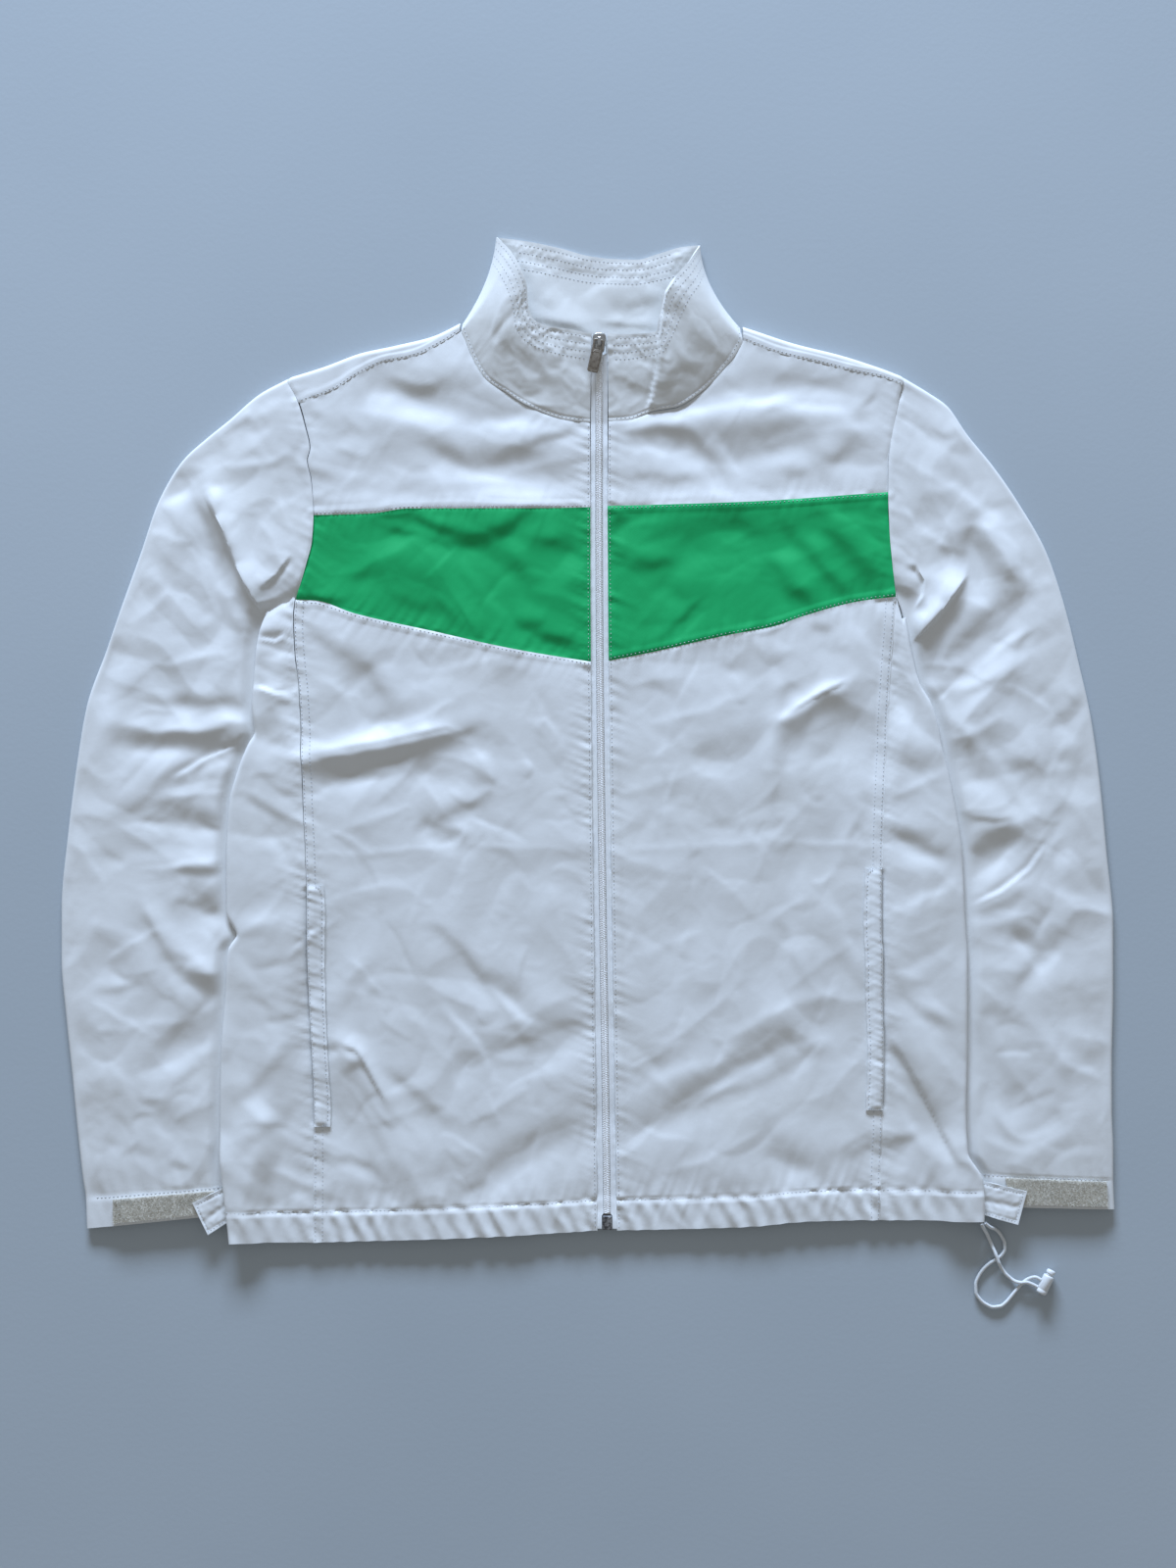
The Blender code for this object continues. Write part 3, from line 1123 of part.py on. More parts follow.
def cord_lock(look):
    """The barrel of the cord lock, lying on the surface, and its button."""
    bottom, top = np.array(LOCK_BOTTOM), np.array(LOCK_TOP)
    length = np.linalg.norm(top - bottom)
    way = (top - bottom) / length
    side = np.array([way[1], -way[0]])
    sides = 16

    def turned(name, profile):
        rows = []
        for run, radius in profile:
            ring = []
            for i in range(sides):
                angle = 2 * math.pi * i / sides
                spot = bottom + way * run + side * radius * math.cos(angle)
                ring.append((*spot, LOCK_Z + radius * math.sin(angle)))
            rows.append(np.array(ring))
        points, faces = stack(rows, closed=True)
        last = len(points) - sides
        faces += [tuple(range(sides)), tuple(range(last, last + sides))[::-1]]
        add_mesh(name, points, faces, look)

    half = LOCK_THICK / 2
    barrel = length - LOCK_BUTTON
    turned("cord_lock_body", (
        (0, half - 0.9), (0.5, half - 0.2), (1.4, half), (barrel - 1.0, half), (barrel, half - 0.8),
    ))
    thin = LOCK_BUTTON_THICK / 2
    start = barrel + SEAM_GAP
    turned("cord_lock_button", (
        (start, thin - 0.9), (start + 1.4, thin - 0.9), (start + 1.7, thin), (length - 0.6, thin),
        (length, thin - 0.6),
    ))


def main():
    for old in list(bpy.data.objects):
        bpy.data.objects.remove(old)
    white = material("white_cloth", WHITE)
    green = material("green_cloth", GREEN)
    collar_look = material("collar_cloth", WHITE)
    trim = material("trim_cloth", WHITE, 0.9)
    loop_look = material("loop_tape", CREAM, 0.95)
    tape_look = material("zip_tape", WHITE, 0.9)
    chain_look = material("zip_coil", WHITE, 0.45)
    metal = material("worn_metal", METAL, 0.4, 0.9)
    dark = material("dark_metal", DARK, 0.5, 0.6)
    cord_look = material("elastic_cord", WHITE, 0.8)
    plastic = material("white_plastic", WHITE, 0.35)

    sides = {}
    for side, loop, tab in (("right", LOOP_RIGHT, TAB_RIGHT), ("left", LOOP_LEFT, TAB_LEFT)):
        sides[side] = fronts(side, white, green, trim)
        side_panel(side, sides[side], white)
        cuff = sleeve(side, sides[side], white)
        loop_strip(f"loop_strip_{side}", cuff, loop, loop_look)
        cuff_tab(f"cuff_tab_{side}", cuff, tab, trim)
    back(sides["right"], sides["left"], white)
    collar(collar_look)
    zip_tapes(tape_look, chain_look)
    zip_fittings(metal, dark)
    cord("drawcord_over", CORD_OVER_ROUTE, cord_look)
    cord("drawcord_under", CORD_UNDER_ROUTE, cord_look)
    cord_lock(plastic)


main()
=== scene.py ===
"""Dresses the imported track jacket: cloth, sewing, zip, cords, floor, light and camera.

Lengths in the tables are in millimetres. +X is the wearer's left, +Y runs to the collar, +Z is up.
"""

import math

import bmesh
import bpy
import numpy as np
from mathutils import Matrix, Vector
from mathutils.kdtree import KDTree


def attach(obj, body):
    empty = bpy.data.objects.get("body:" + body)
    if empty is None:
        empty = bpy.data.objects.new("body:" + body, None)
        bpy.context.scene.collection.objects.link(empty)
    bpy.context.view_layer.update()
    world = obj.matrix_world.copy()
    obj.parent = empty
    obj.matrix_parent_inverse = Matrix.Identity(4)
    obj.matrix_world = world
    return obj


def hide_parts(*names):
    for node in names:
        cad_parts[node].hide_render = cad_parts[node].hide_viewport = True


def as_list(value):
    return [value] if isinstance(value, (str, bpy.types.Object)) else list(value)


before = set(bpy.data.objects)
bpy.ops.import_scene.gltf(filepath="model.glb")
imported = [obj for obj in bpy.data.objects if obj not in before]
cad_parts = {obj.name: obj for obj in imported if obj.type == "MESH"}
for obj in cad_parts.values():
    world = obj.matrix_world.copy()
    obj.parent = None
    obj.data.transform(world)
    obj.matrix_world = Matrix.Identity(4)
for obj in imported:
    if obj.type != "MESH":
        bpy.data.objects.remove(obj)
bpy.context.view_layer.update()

MM = 0.001
PIXEL = 0.77  # millimetres of the jacket for one pixel of the photograph
PHOTO_CENTRE = (600, 755)  # the pixel at the frame's origin


def photo(x, y):
    """A place in the photograph, in millimetres of the frame."""
    return ((x - PHOTO_CENTRE[0]) * PIXEL, (PHOTO_CENTRE[1] - y) * PIXEL)


# ---- driving dimensions, in millimetres --------------------------------------------------------
WALL = 1.0  # a single layer of cloth
HEM_WALL = 1.9  # the turned-up hem, with the elastic cord in it
COLLAR_WALL = 1.3  # the collar is doubled
TRIM_WALL = 1.0  # welts, loop strips and cuff tabs
TAB_LIFT = 2.2  # a cuff tab above the sleeve, so that it clears the loop strip under it
SEAM_GAP = 0.3  # between two pieces at a seam
LAID_GAP = 0.5  # under what lies on a panel
LAYER_LIFT = 2.5  # least height of an upper layer's outside above the lower layer's underside
SLEEVE_UNDER = 3.2  # a sleeve's thickness where the body lies on it
EDGE_LOFT = 3.9  # the body's thickness at its side folds
BODY_LOFT = 5.4  # and away from them
LOFT_REACH = 28.0  # how far from a side fold the body reaches its full thickness
CROWN = 1.1  # more height half-way between a side seam and the zip
SLEEVE_LOFT = 6.6  # a sleeve's thickness down its middle
HEM_DEPTH = 23.5  # from the hem's stitch line to its edge
HEM_SWELL = 1.5  # how much thicker the gathered casing stands
FOLD_NOSE = 3.4  # how far a side fold rounds over
SLEEVE_NOSE = 2.6
SHOULDER_NOSE = 3.6
UNDERARM_Y = 110.0

# The zip's centreline and half the width between the two front edges: (y, x, half width)
ZIP_LINE = ((-383, 15.0, 7.7), (196, 8.6, 6.8), (317, 8.8, 6.3))
ZIP_TOP, ZIP_BOTTOM = 317.0, -383.0
ZIP_HEM_Y = -384.0  # the hem's edge beside the zip
HEM_CORNER_Y = {"right": -390.0, "left": -376.0}  # the foot of each front side seam
BAND_TOP_Y, BAND_LOW_Y = 182.5, 61.5  # the chest band's edges at the zip

# The body below the arms, a row for each height: the side folds and the front side seams.
TORSO_COLUMNS = ("y", "fold_right", "seam_right", "seam_left", "fold_left")
TORSO = (
    (116, -229, -229, 241, 241),
    (97, -253, -231, 240, 248),
    (70, -260, -230, 238, 253),
    (43, -262, -227, 236, 260),
    (27, -263, -226, 235, 269),
    (6, -261, -225, 234, 275),
    (-6, -267, -225, 234, 277),
    (-21, -273, -224, 233, 281),
    (-51, -281, -223, 231.5, 287),
    (-90, -283, -221, 230.4, 293),
    (-135, -283, -220, 230, 295),
    (-153, -275, -220, 230, 296),
    (-166, -282, -220, 231, 297),
    (-201, -284, -219, 231, 297),
    (-240, -287, -217, 232, 297),
    (-290, -288, -215, 231, 296),
    (-323, -288, -215, 230, 297),
    (-346, -286, -215, 229, 309),
    (-363, -284, -215, 229, 310),
    (-400, -280, -215, 229, 309),
)

# Seams and edges, each a list of (x, y) from the wearer's right to the left or from top to bottom.
SHOULDER_SEAM_RIGHT = (
    (-226, 264), (-199, 274), (-180, 286), (-161, 295), (-136, 300), (-119, 308), (-100, 320),
)
SHOULDER_SEAM_LEFT = ((121, 313), (147, 303), (177, 296), (213, 287), (229, 284), (246, 277))
SHOULDER_FOLD_RIGHT = (
    (-237, 283), (-205, 293), (-178, 303), (-150, 309), (-122, 316), (-99, 327),
)
SHOULDER_FOLD_LEFT = ((120, 324), (163, 310), (199, 301), (227, 292), (248, 284))
ARMHOLE_RIGHT = (
    (-237, 283), (-227, 264), (-222, 247), (-218, 228), (-220, 219), (-217, 204), (-215, 176),
    (-216, 157), (-221, 136), (-229, 110),
)
ARMHOLE_LEFT = ((248, 284), (246, 277), (240, 249), (235, 213), (235, 194), (236, 165), (241, 112))
BAND_TOP_RIGHT = ((-215, 176), (-171, 177), (-139, 181), (-71, 181), (1.9, 182))
BAND_TOP_LEFT = ((15.4, 183), (121, 186), (169, 189), (235, 194))
BAND_BOTTOM_RIGHT = ((-229, 110), (-213, 109), (-183, 99), (-121, 85), (-63, 72), (2.8, 61))
BAND_BOTTOM_LEFT = ((17, 62), (52, 69), (105, 81), (146, 89), (169, 97), (215, 109), (241, 112))
HEM_EDGE_RIGHT = ((-280, -393), (-257, -394), (-155, -392), (-96, -390), (-37, -387), (7.3, -384))
HEM_EDGE_LEFT = ((22.7, -384), (72, -383), (127, -381), (174, -377), (229, -376), (309, -377))

# The sleeves, a row for each section across them: the outer fold and the inner fold. Below the
# underarm the inner fold lies under the body.
# Columns: outer_x, outer_y, inner_x, inner_y.
SLEEVE_RIGHT = (
    (-237, 283, -229, 110),
    (-259, 271, -236, 106.5),
    (-282, 251, -243, 102.7),
    (-300, 236, -249, 99.5),
    (-318, 219, -255.5, 94),
    (-336, 189, -262, 78),
    (-351, 146, -264.5, 58),
    (-365, 107, -257, 36),
    (-378, 70, -246, 10),
    (-393, 27, -237, -20),
    (-401, -20, -232, -62),
    (-408, -75, -232, -105),
    (-413, -130, -236, -150),
    (-413, -172, -241, -187),
    (-409, -220, -247, -230),
    (-404, -268, -255, -272),
    (-400, -310, -263, -310),
    (-396, -345, -270, -338),
    (-394, -359, -273, -349),
    (-393, -383, -277, -371),
)
SLEEVE_LEFT = (
    (248, 284, 241.2, 112),
    (268, 272, 244.8, 104),
    (282, 262, 248.9, 97.5),
    (298, 239, 253, 89.5),
    (319, 213, 256.6, 78),
    (340, 182, 260, 64),
    (360, 146, 264, 47),
    (376, 97, 263, 26),
    (385, 60, 256, 5),
    (394, 20, 250, -22),
    (401, -28, 245, -62),
    (407, -90, 246, -105),
    (412, -145, 250, -150),
    (412, -200, 257, -200),
    (411, -250, 265, -243),
    (411, -290, 273, -283),
    (412, -320, 281, -313),
    (412, -339, 289, -333),
    (412, -345, 291, -340),
    (413, -368, 297, -365),
)
# Where each sleeve's surface starts to rise beside the body: (y, x) of the body's outline, carried
# on into the body above the underarm.
RISE_RIGHT = ((200, -60), (130, -192), (110, -229), (97, -253))
RISE_LEFT = ((200, 60), (130, 200), (112, 241), (97, 248))
RISE_REACH = 10.0
RISE_START = 1.0  # the strip beside the body where the sleeve still lies low

# How far the body's underside is lifted by the sleeve under it: (y, lift)
SLEEVE_LIFT = ((-330, 6.8), (-300, 3.8), (76, 3.8), (108, 0.0))
LIFT_SPARE = 5.0  # how far beyond the sleeve's inner fold the body is still fully lifted
LIFT_FADE = 24.0

# The collar, a row for each section round it from the right front edge over the back to the left
# one: where its seam and its top edge lie, and how far its middle stands off the line between.
# Columns: seam_x, seam_y, seam_z, top_x, top_y, top_z, mid_x, mid_y, mid_z.
ON_FRONT = None  # a seam height taken from the front's surface
COLLAR = (
    (1.5, 248, ON_FRONT, 2.6, 317, 11.5, 0, 0, 0.6),
    (-17, 250, ON_FRONT, -15, 320, 12.4, 0, 0, 1.0),
    (-47, 261, ON_FRONT, -32, 322.5, 13.6, 0, 0, 1.2),
    (-65, 272, ON_FRONT, -42, 327, 14.6, 0, 0, 1.6),
    (-79, 281, ON_FRONT, -46.5, 338, 15.0, 0, 0, 2.0),
    (-89, 295, ON_FRONT, -47.5, 352, 14.4, 2, 0, 2.2),
    (-94.4, 308, ON_FRONT, -53, 367, 12.4, 3, 0, 2.0),
    (-99, 320, ON_FRONT, -61.5, 382, 9.0, 4, 0, 1.2),
    (-98.4, 324.4, 4.4, -69.5, 391.5, 6.2, 5, 0, 0.4),
    (-98.0, 326.6, 2.6, -72, 393.9, 3.4, 5, 0, 0),
    (-95, 325.8, 0.4, -70, 393.9, 0.6, 5, 0, 0),
    (-84, 320.2, 0, -60, 393, 0, 3, 0, 0),
    (-60, 315.4, 0, -46, 391, 0, 0, 0, 0),
    (-35, 312.8, 0, -22, 386, 0, 0, 0, 0),
    (-10, 311.0, 0, 0, 380, 0, 0, 0, 0),
    (10, 310.4, 0, 19, 377.6, 0, 0, 0, 0),
    (35, 311.0, 0, 38, 377, 0, 0, 0, 0),
    (65, 312.6, 0, 55, 381.5, 0, 0, 0, 0),
    (95, 316, 0, 74, 387, 0, -4, 0, 0),
    (115, 321.6, 0.4, 85.5, 388, 0.6, -7, 0, 0),
    (119.2, 323, 2.6, 88, 387.4, 3.4, -7, 0, 0),
    (119.6, 319.6, 4.4, 86, 384, 6.6, -6, 0, 0.6),
    (121, 313, ON_FRONT, 78, 371, 11.5, -5, 0, 2.0),
    (116, 302, ON_FRONT, 69, 361, 14.6, -4, 0, 2.8),
    (105, 288, ON_FRONT, 59, 347, 16.4, 0, 0, 3.0),
    (89, 272, ON_FRONT, 55.5, 331, 16.6, 0, 0, 3.2),
    (69, 260, ON_FRONT, 53, 318, 15.0, 0, 0, 3.0),
    (51, 257, ON_FRONT, 42, 316.5, 13.0, 0, 0, 0.4),
    (32, 250, ON_FRONT, 29, 316.2, 12.0, 0, 0, 0.4),
    (16, 249, ON_FRONT, 15.4, 317, 11.5, 0, 0, 0.6),
)

# The largest folds, a row for each: a soft ridge (height over 0) or trough (under 0) along a line.
# Columns: from_x, from_y, to_x, to_y, half_width, height.
SLEEVE_FOLDS_RIGHT = (
    (-296, 198, -284, 161, 12, 2.6),
    (-284, 161, -260, 108, 12, 2.6),
    (-314, 196, -276, 112, 13, -2.2),
    (-336, 190, -312, 203, 10, -1.8),
    (-375, 85, -378, 25, 9, -1.6),
    (-371, 12, -268, 16, 10, 2.2),
    (-365, -4, -272, -6, 10, -1.8),
    (-327, -58, -286, -68, 10, -1.9),
    (-318, -114, -288, -138, 10, -2.0),
    (-346, -127, -316, -177, 11, 2.0),
    (-316, -177, -290, -182, 10, 1.6),
    (-352, -262, -300, -226, 13, -1.4),
)
SLEEVE_FOLDS_LEFT = (
    (300, 168, 308, 116, 10, -2.6),
    (308, 170, 336, 126, 10, 2.3),
    (298, 128, 256, 80, 10, 2.2),
    (343, 112, 283, 62, 10, -1.9),
    (338, 88, 274, 27, 10, -1.9),
    (345, 66, 290, 8, 10, 1.7),
    (300, -106, 339, -69, 12, -1.9),
    (302, -133, 343, -112, 10, 1.6),
    (331, -150, 358, -169, 10, -1.6),
    (358, -169, 339, -196, 10, -1.6),
    (305, -224, 339, -304, 13, -1.9),
    (360, -240, 374, -300, 14, 1.2),
)
BODY_FOLDS = (
    (-165, 276, -92, 250, 11, -1.9),
    (-190, 248, -110, 246, 12, 1.4),
    (-112, 219, -10, 205, 13, -1.7),
    (-60, 240, 0, 228, 11, 1.2),
    (70, 248, 208, 254, 11, 1.5),
    (60, 222, 200, 226, 14, -1.6),
    (120, 205, 225, 238, 12, 1.2),
    (-200, 160, -120, 128, 14, 1.0),
    (60, 150, 170, 168, 14, -1.0),
    (-178, 42, -153, 6, 12, -1.9),
    (-222, -14, -92, 13, 11, 2.3),
    (-214, -33, -98, -9, 11, -1.9),
    (-86, -10, -80, -37, 10, 1.3),
    (-124, -68, -100, -82, 10, -1.4),
    (-100, -177, -44, -220, 13, -1.3),
    (-194, -238, -178, -254, 12, 2.0),
    (-178, -254, -127, -352, 13, 2.1),
    (-208, -262, -166, -352, 13, -1.4),
    (0, -224, -92, -259, 13, -1.7),
    (0, -296, -92, -350, 14, -1.9),
    (176, 36, 222, -12, 15, -2.1),
    (150, 14, 202, 47, 10, 2.1),
    (146, 12, 146, -52, 9, 1.3),
    (46, -304, 186, -230, 13, -2.1),
    (60, -268, 170, -205, 13, 1.2),
    (139, -314, 176, -342, 12, -1.6),
    (238, -232, 286, -334, 10, -2.1),
    (242, 42, 262, 4, 9, -1.4),
    (240, -74, 284, -96, 10, -1.4),
    (-240, 60, -252, 20, 9, 1.4),
    (-262, -40, -240, -80, 10, -1.3),
    (-268, -230, -246, -300, 11, -1.4),
)

# The gathers of the hem casing: how far apart they are, how far each leans and how high it stands.
GATHER_PITCH = 15.5
GATHER_LEAN = 0.5
GATHER_HEIGHT = 0.9

# The loop strips on the cuffs: where they start and end across the cuff (0 is the outer fold, 1 the
# inner one), and where their edges lie between the cuff's stitch line (0) and its edge (1).
LOOP_RIGHT = (0.17, 0.86, 0.14, 0.90)
LOOP_LEFT = (0.03, 0.72, 0.10, 0.90)
# The cuff tabs' corners.
TAB_RIGHT = ((-309, -362), (-279, -347.6), (-279, -376), (-297, -387))
TAB_LEFT = ((300, -343), (343, -353), (336, -379), (299, -369))

# The zip's own sizes.
CHAIN_WIDTH = 5.3
TAPE_THICK = 0.9
TAPE_SINK = 0.8  # the tape's top lies this far below the front's surface
SLIDER_LENGTH = 15.5
SLIDER_WIDE = 10.4  # at its shoulders
SLIDER_NARROW = 8.0  # at its mouth
SLIDER_RISE = 1.9  # the slider's top above the front's surface
BRIDGE_WIDE = 2.6
BRIDGE_HIGH = 3.5
BRIDGE_HOLE = 3.3
PULL_LENGTH = 26.0
PULL_WIDE = 8.6
PULL_THICK = 1.5
PULL_SLOT = (5.4, 6.6)  # width and length of the slot that the bridge stands in
PULL_BAR = 1.5  # the bar across the slot's upper end, on the hinge axis
PULL_SWING = 12.5  # degrees that the hanging tab leans to the wearer's right
PULL_ARCH_Y = 309.5
BOX_SIZE = (7.8, 11.0, 3.6)

# The drawcord: (x, y, z) of its centreline, from the hem to the lock.
CORD_THICK = 2.6
CORD_OVER_ROUTE = (
    (307.2, -377.8, 10.7), (308.4, -380.4, 9.6), (310.4, -383.6, 6.8), (312.6, -387.2, 3.8),
    (314.6, -391.2, 2.4), (316.6, -396, 2.0), (318.6, -400.6, 3.5), (320.2, -404.8, 4.5),
    (321.6, -409, 4.5), (323.8, -413.4, 2.6), (326.8, -417.8, 1.4), (331, -422, 1.4),
    (335.6, -424.9, 2.6), (339.4, -425.4, 4.3), (343, -425.0, 4.7), (347.6, -426.4, 4.4),
    (352.1, -428.6, 4.35),
)
CORD_UNDER_ROUTE = (
    (310.3, -377.6, 8.9), (312.4, -379.7, 7.8), (315.4, -381.8, 5.9), (318.9, -383.4, 3.9),
    (322, -386, 2.4), (325, -390.4, 1.4), (327, -395, 1.4), (327.2, -399.6, 1.4), (325, -404, 1.4),
    (320.6, -407.6, 1.4), (315.4, -410.8, 1.4), (310.4, -415.4, 1.4), (306.6, -421, 1.4),
    (304.4, -427.4, 1.4), (304.6, -433.6, 1.4), (307.6, -439, 1.4), (312.4, -443, 1.4),
    (318, -445.2, 1.4), (323.6, -444.6, 1.4), (328.4, -441.2, 1.4), (332.4, -436.6, 1.4),
    (336.2, -431.8, 1.4), (340.4, -427, 1.4), (345.4, -423.0, 2.2), (350.4, -421.2, 3.9),
    (354.8, -423.1, 4.35),
)
LOCK_BOTTOM = (354.6, -433.8)
LOCK_TOP = (363.4, -415.6)
LOCK_THICK = 8.6
LOCK_Z = 4.35
LOCK_BUTTON = 4.6  # the length of the button at its top
LOCK_BUTTON_THICK = 7.0


# ---- curves and surfaces -----------------------------------------------------------------------
def through(table, column=1, by=0):
    """A smooth curve through a table's points that never swings past them."""
    rows = sorted(table, key=lambda row: row[by])
    at = np.array([row[by] for row in rows], float)
    value = np.array([row[column] for row in rows], float)
    step = np.diff(at)
    slope = np.diff(value) / step
    tangent = np.concatenate([slope[:1], np.zeros(len(at) - 2), slope[-1:]])
    for i in range(1, len(at) - 1):
        if slope[i - 1] * slope[i] > 0:
            before, after = 2 * step[i] + step[i - 1], step[i] + 2 * step[i - 1]
            tangent[i] = (before + after) / (before / slope[i - 1] + after / slope[i])

    def curve(x):
        x = np.clip(np.asarray(x, float), at[0], at[-1])
        i = np.clip(np.searchsorted(at, x) - 1, 0, len(at) - 2)
        t = (x - at[i]) / step[i]
        rise = value[i + 1] - value[i]
        ease = t * t * (3 - 2 * t)
        lead = step[i] * tangent[i] * t * (1 - t) ** 2
        tail = step[i] * tangent[i + 1] * t * t * (t - 1)
        return value[i] + rise * ease + lead + tail

    return curve


def along(points, count):
    """Points spaced evenly along a smooth line through the given ones, which go up in x."""
    curve = through(points)
    x = np.linspace(points[0][0], points[-1][0], 40 * len(points))
    y = curve(x)
    run = np.concatenate([[0], np.cumsum(np.hypot(np.diff(x), np.diff(y)))])
    at = np.interp(np.linspace(0, run[-1], count), run, x)
    return np.stack([at, curve(at)], 1)


def ease(x):
    """From 0 to 1, softly at both ends."""
    x = np.clip(x, 0, 1)
    return x * x * (3 - 2 * x)


def mix(a, b, t):
    return a + (b - a) * t


fold_right = through(TORSO, TORSO_COLUMNS.index("fold_right"))
fold_left = through(TORSO, TORSO_COLUMNS.index("fold_left"))
seam_right = through(TORSO, TORSO_COLUMNS.index("seam_right"))
seam_left = through(TORSO, TORSO_COLUMNS.index("seam_left"))
zip_x = through(ZIP_LINE, 1)
zip_half = through(ZIP_LINE, 2)
arm_right = through([(y, x) for x, y in ARMHOLE_RIGHT])
arm_left = through([(y, x) for x, y in ARMHOLE_LEFT])
hem_right = through(HEM_EDGE_RIGHT)
hem_left = through(HEM_EDGE_LEFT)
inner_right = through([(row[3], row[2]) for row in SLEEVE_RIGHT])
inner_left = through([(row[3], row[2]) for row in SLEEVE_LEFT])
lift_by_y = through(SLEEVE_LIFT)
outline_right = [(row[0], row[1]) for row in TORSO if row[0] < 97]
outline_left = [(row[0], row[4]) for row in TORSO if row[0] < 97]
rise_right = through(RISE_RIGHT + tuple(outline_right))
rise_left = through(RISE_LEFT + tuple(outline_left))


def hem_y(x):
    """The height of the hem's lower edge."""
    return np.where(x < 15, hem_right(x), hem_left(x))


def folds(x, y, table):
    """The height that the folds of a table add at (x, y)."""
    total = np.zeros(np.broadcast(x, y).shape)
    for from_x, from_y, to_x, to_y, half_width, height in table:
        run = np.array([to_x - from_x, to_y - from_y], float)
        t = ((x - from_x) * run[0] + (y - from_y) * run[1]) / (run @ run)
        near = np.clip(t, 0, 1)
        away = np.hypot(x - from_x - near * run[0], y - from_y - near * run[1])
        taper = 0.55 + 0.45 * ease(4 * near * (1 - near))
        total = total + height * np.exp(-((away / half_width) ** 2)) * taper
    return total


def body_lift(x, y):
    """How far the body's underside is off the surface, over the sleeves."""
    over = np.maximum(
        ease((inner_right(y) + LIFT_SPARE + LIFT_FADE - x) / LIFT_FADE),
        ease((x - inner_left(y) + LIFT_SPARE + LIFT_FADE) / LIFT_FADE),
    )
    return over * lift_by_y(y)


def soft_least(value, least):
    """The value, eased so that it never goes below the least one."""
    return least + np.logaddexp(0, (value - least) * 1.6) / 1.6


def front_z(x, y):
    """The height of the outside of the fronts."""
    from_side = np.where(y < UNDERARM_Y, np.minimum(x - fold_right(y), fold_left(y) - x), LOFT_REACH)
    loft = mix(EDGE_LOFT, BODY_LOFT, ease(from_side / LOFT_REACH))
    across = np.where(x < zip_x(y), (x + 225) / (zip_x(y) + 225), (x - 235) / (zip_x(y) - 235))
    loft = loft + CROWN * np.sin(math.pi * np.clip(across, 0, 1)) ** 2
    in_hem = ease((hem_y(x) + HEM_DEPTH + 4 - y) / 8)
    wave = np.sin(2 * math.pi * (x + GATHER_LEAN * y) / GATHER_PITCH + 1.3 * np.sin(x / 31))
    gathers = in_hem * (HEM_SWELL + GATHER_HEIGHT * wave * (0.7 + 0.3 * np.sin(x / 17)))
    height = loft + gathers + (1 - in_hem) * folds(x, y, BODY_FOLDS)
    least = LAYER_LIFT + in_hem * (HEM_WALL - WALL)
    return body_lift(x, y) + soft_least(height, least)


def wall_at(x, y):
    """The thickness of the cloth of the fronts, which is more in the hem."""
    return mix(WALL, HEM_WALL, ease((hem_y(x) + HEM_DEPTH + 4 - y) / 8))


def sleeve_z(x, y, across, width, rise, sign, table):
    """The height of a sleeve's outside: low under the body, rising beside it."""
    from_body = (x - rise(y)) * sign * mix(1, 0.5, ease((y - 85) / 20))
    out = ease((from_body - RISE_START) / RISE_REACH)
    from_fold = np.minimum(across, 1 - across) * width
    loft = mix(SLEEVE_UNDER + 1.2, SLEEVE_LOFT, ease(from_fold / LOFT_REACH))
    body_like = ease((y - 60) / 60) * ease((0.5 - np.abs(x - sign * 225) / 90) * 2)
    loft = mix(loft, np.maximum(loft, BODY_LOFT), body_like)
    height = soft_least(loft + folds(x, y, table), LAYER_LIFT)
    return mix(SLEEVE_UNDER, height, out)


def patch(top, bottom, left, right):
    """Rows of (x, y) that fill the space between four edges, each a list of points."""
    top, bottom, left, right = (np.asarray(e, float) for e in (top, bottom, left, right))
    across = np.concatenate([[0], np.cumsum(np.linalg.norm(np.diff(top, axis=0), axis=1))])
    u = (across / across[-1])[None, :, None]
    down = np.concatenate([[0], np.cumsum(np.linalg.norm(np.diff(left, axis=0), axis=1))])
    v = (down / down[-1])[:, None, None]
    ruled = mix(left[:, None], right[:, None], u) + mix(top[None], bottom[None], v)
    corners = mix(mix(top[0], top[-1], u), mix(bottom[0], bottom[-1], u), v)
    return ruled - corners


def neck_points(side):
    """The neck seam of one side, from the shoulder to the zip: the collar's sections stand on it."""
    points = [row[:2] for row in COLLAR if row[2] is ON_FRONT and (row[0] < 10) == (side == "right")]
    return np.array(points[::-1] if side == "right" else points, float)


# ---- noise and lines ---------------------------------------------------------------------------
def noise(x, y, seed=0):
    """Smooth noise from about -1 to 1."""
    x, y = np.broadcast_arrays(np.asarray(x, float), np.asarray(y, float))
    cell_x, cell_y = np.floor(x).astype(np.int64), np.floor(y).astype(np.int64)
    part_x, part_y = x - cell_x, y - cell_y
    blend_x = part_x**3 * (part_x * (part_x * 6 - 15) + 10)
    blend_y = part_y**3 * (part_y * (part_y * 6 - 15) + 10)

    def corner(i, j):
        mixed = (cell_x + i) * 374761393 + (cell_y + j) * 668265263 + seed * 974711
        mixed = ((mixed ^ (mixed >> 13)) * 1274126177) & 0xFFFFFFFF
        angle = ((mixed ^ (mixed >> 16)) & 0xFFFF) * (2 * math.pi / 65536)
        return np.cos(angle) * (part_x - i) + np.sin(angle) * (part_y - j)

    low = mix(corner(0, 0), corner(1, 0), blend_x)
    high = mix(corner(0, 1), corner(1, 1), blend_x)
    return 1.5 * mix(low, high, blend_y)


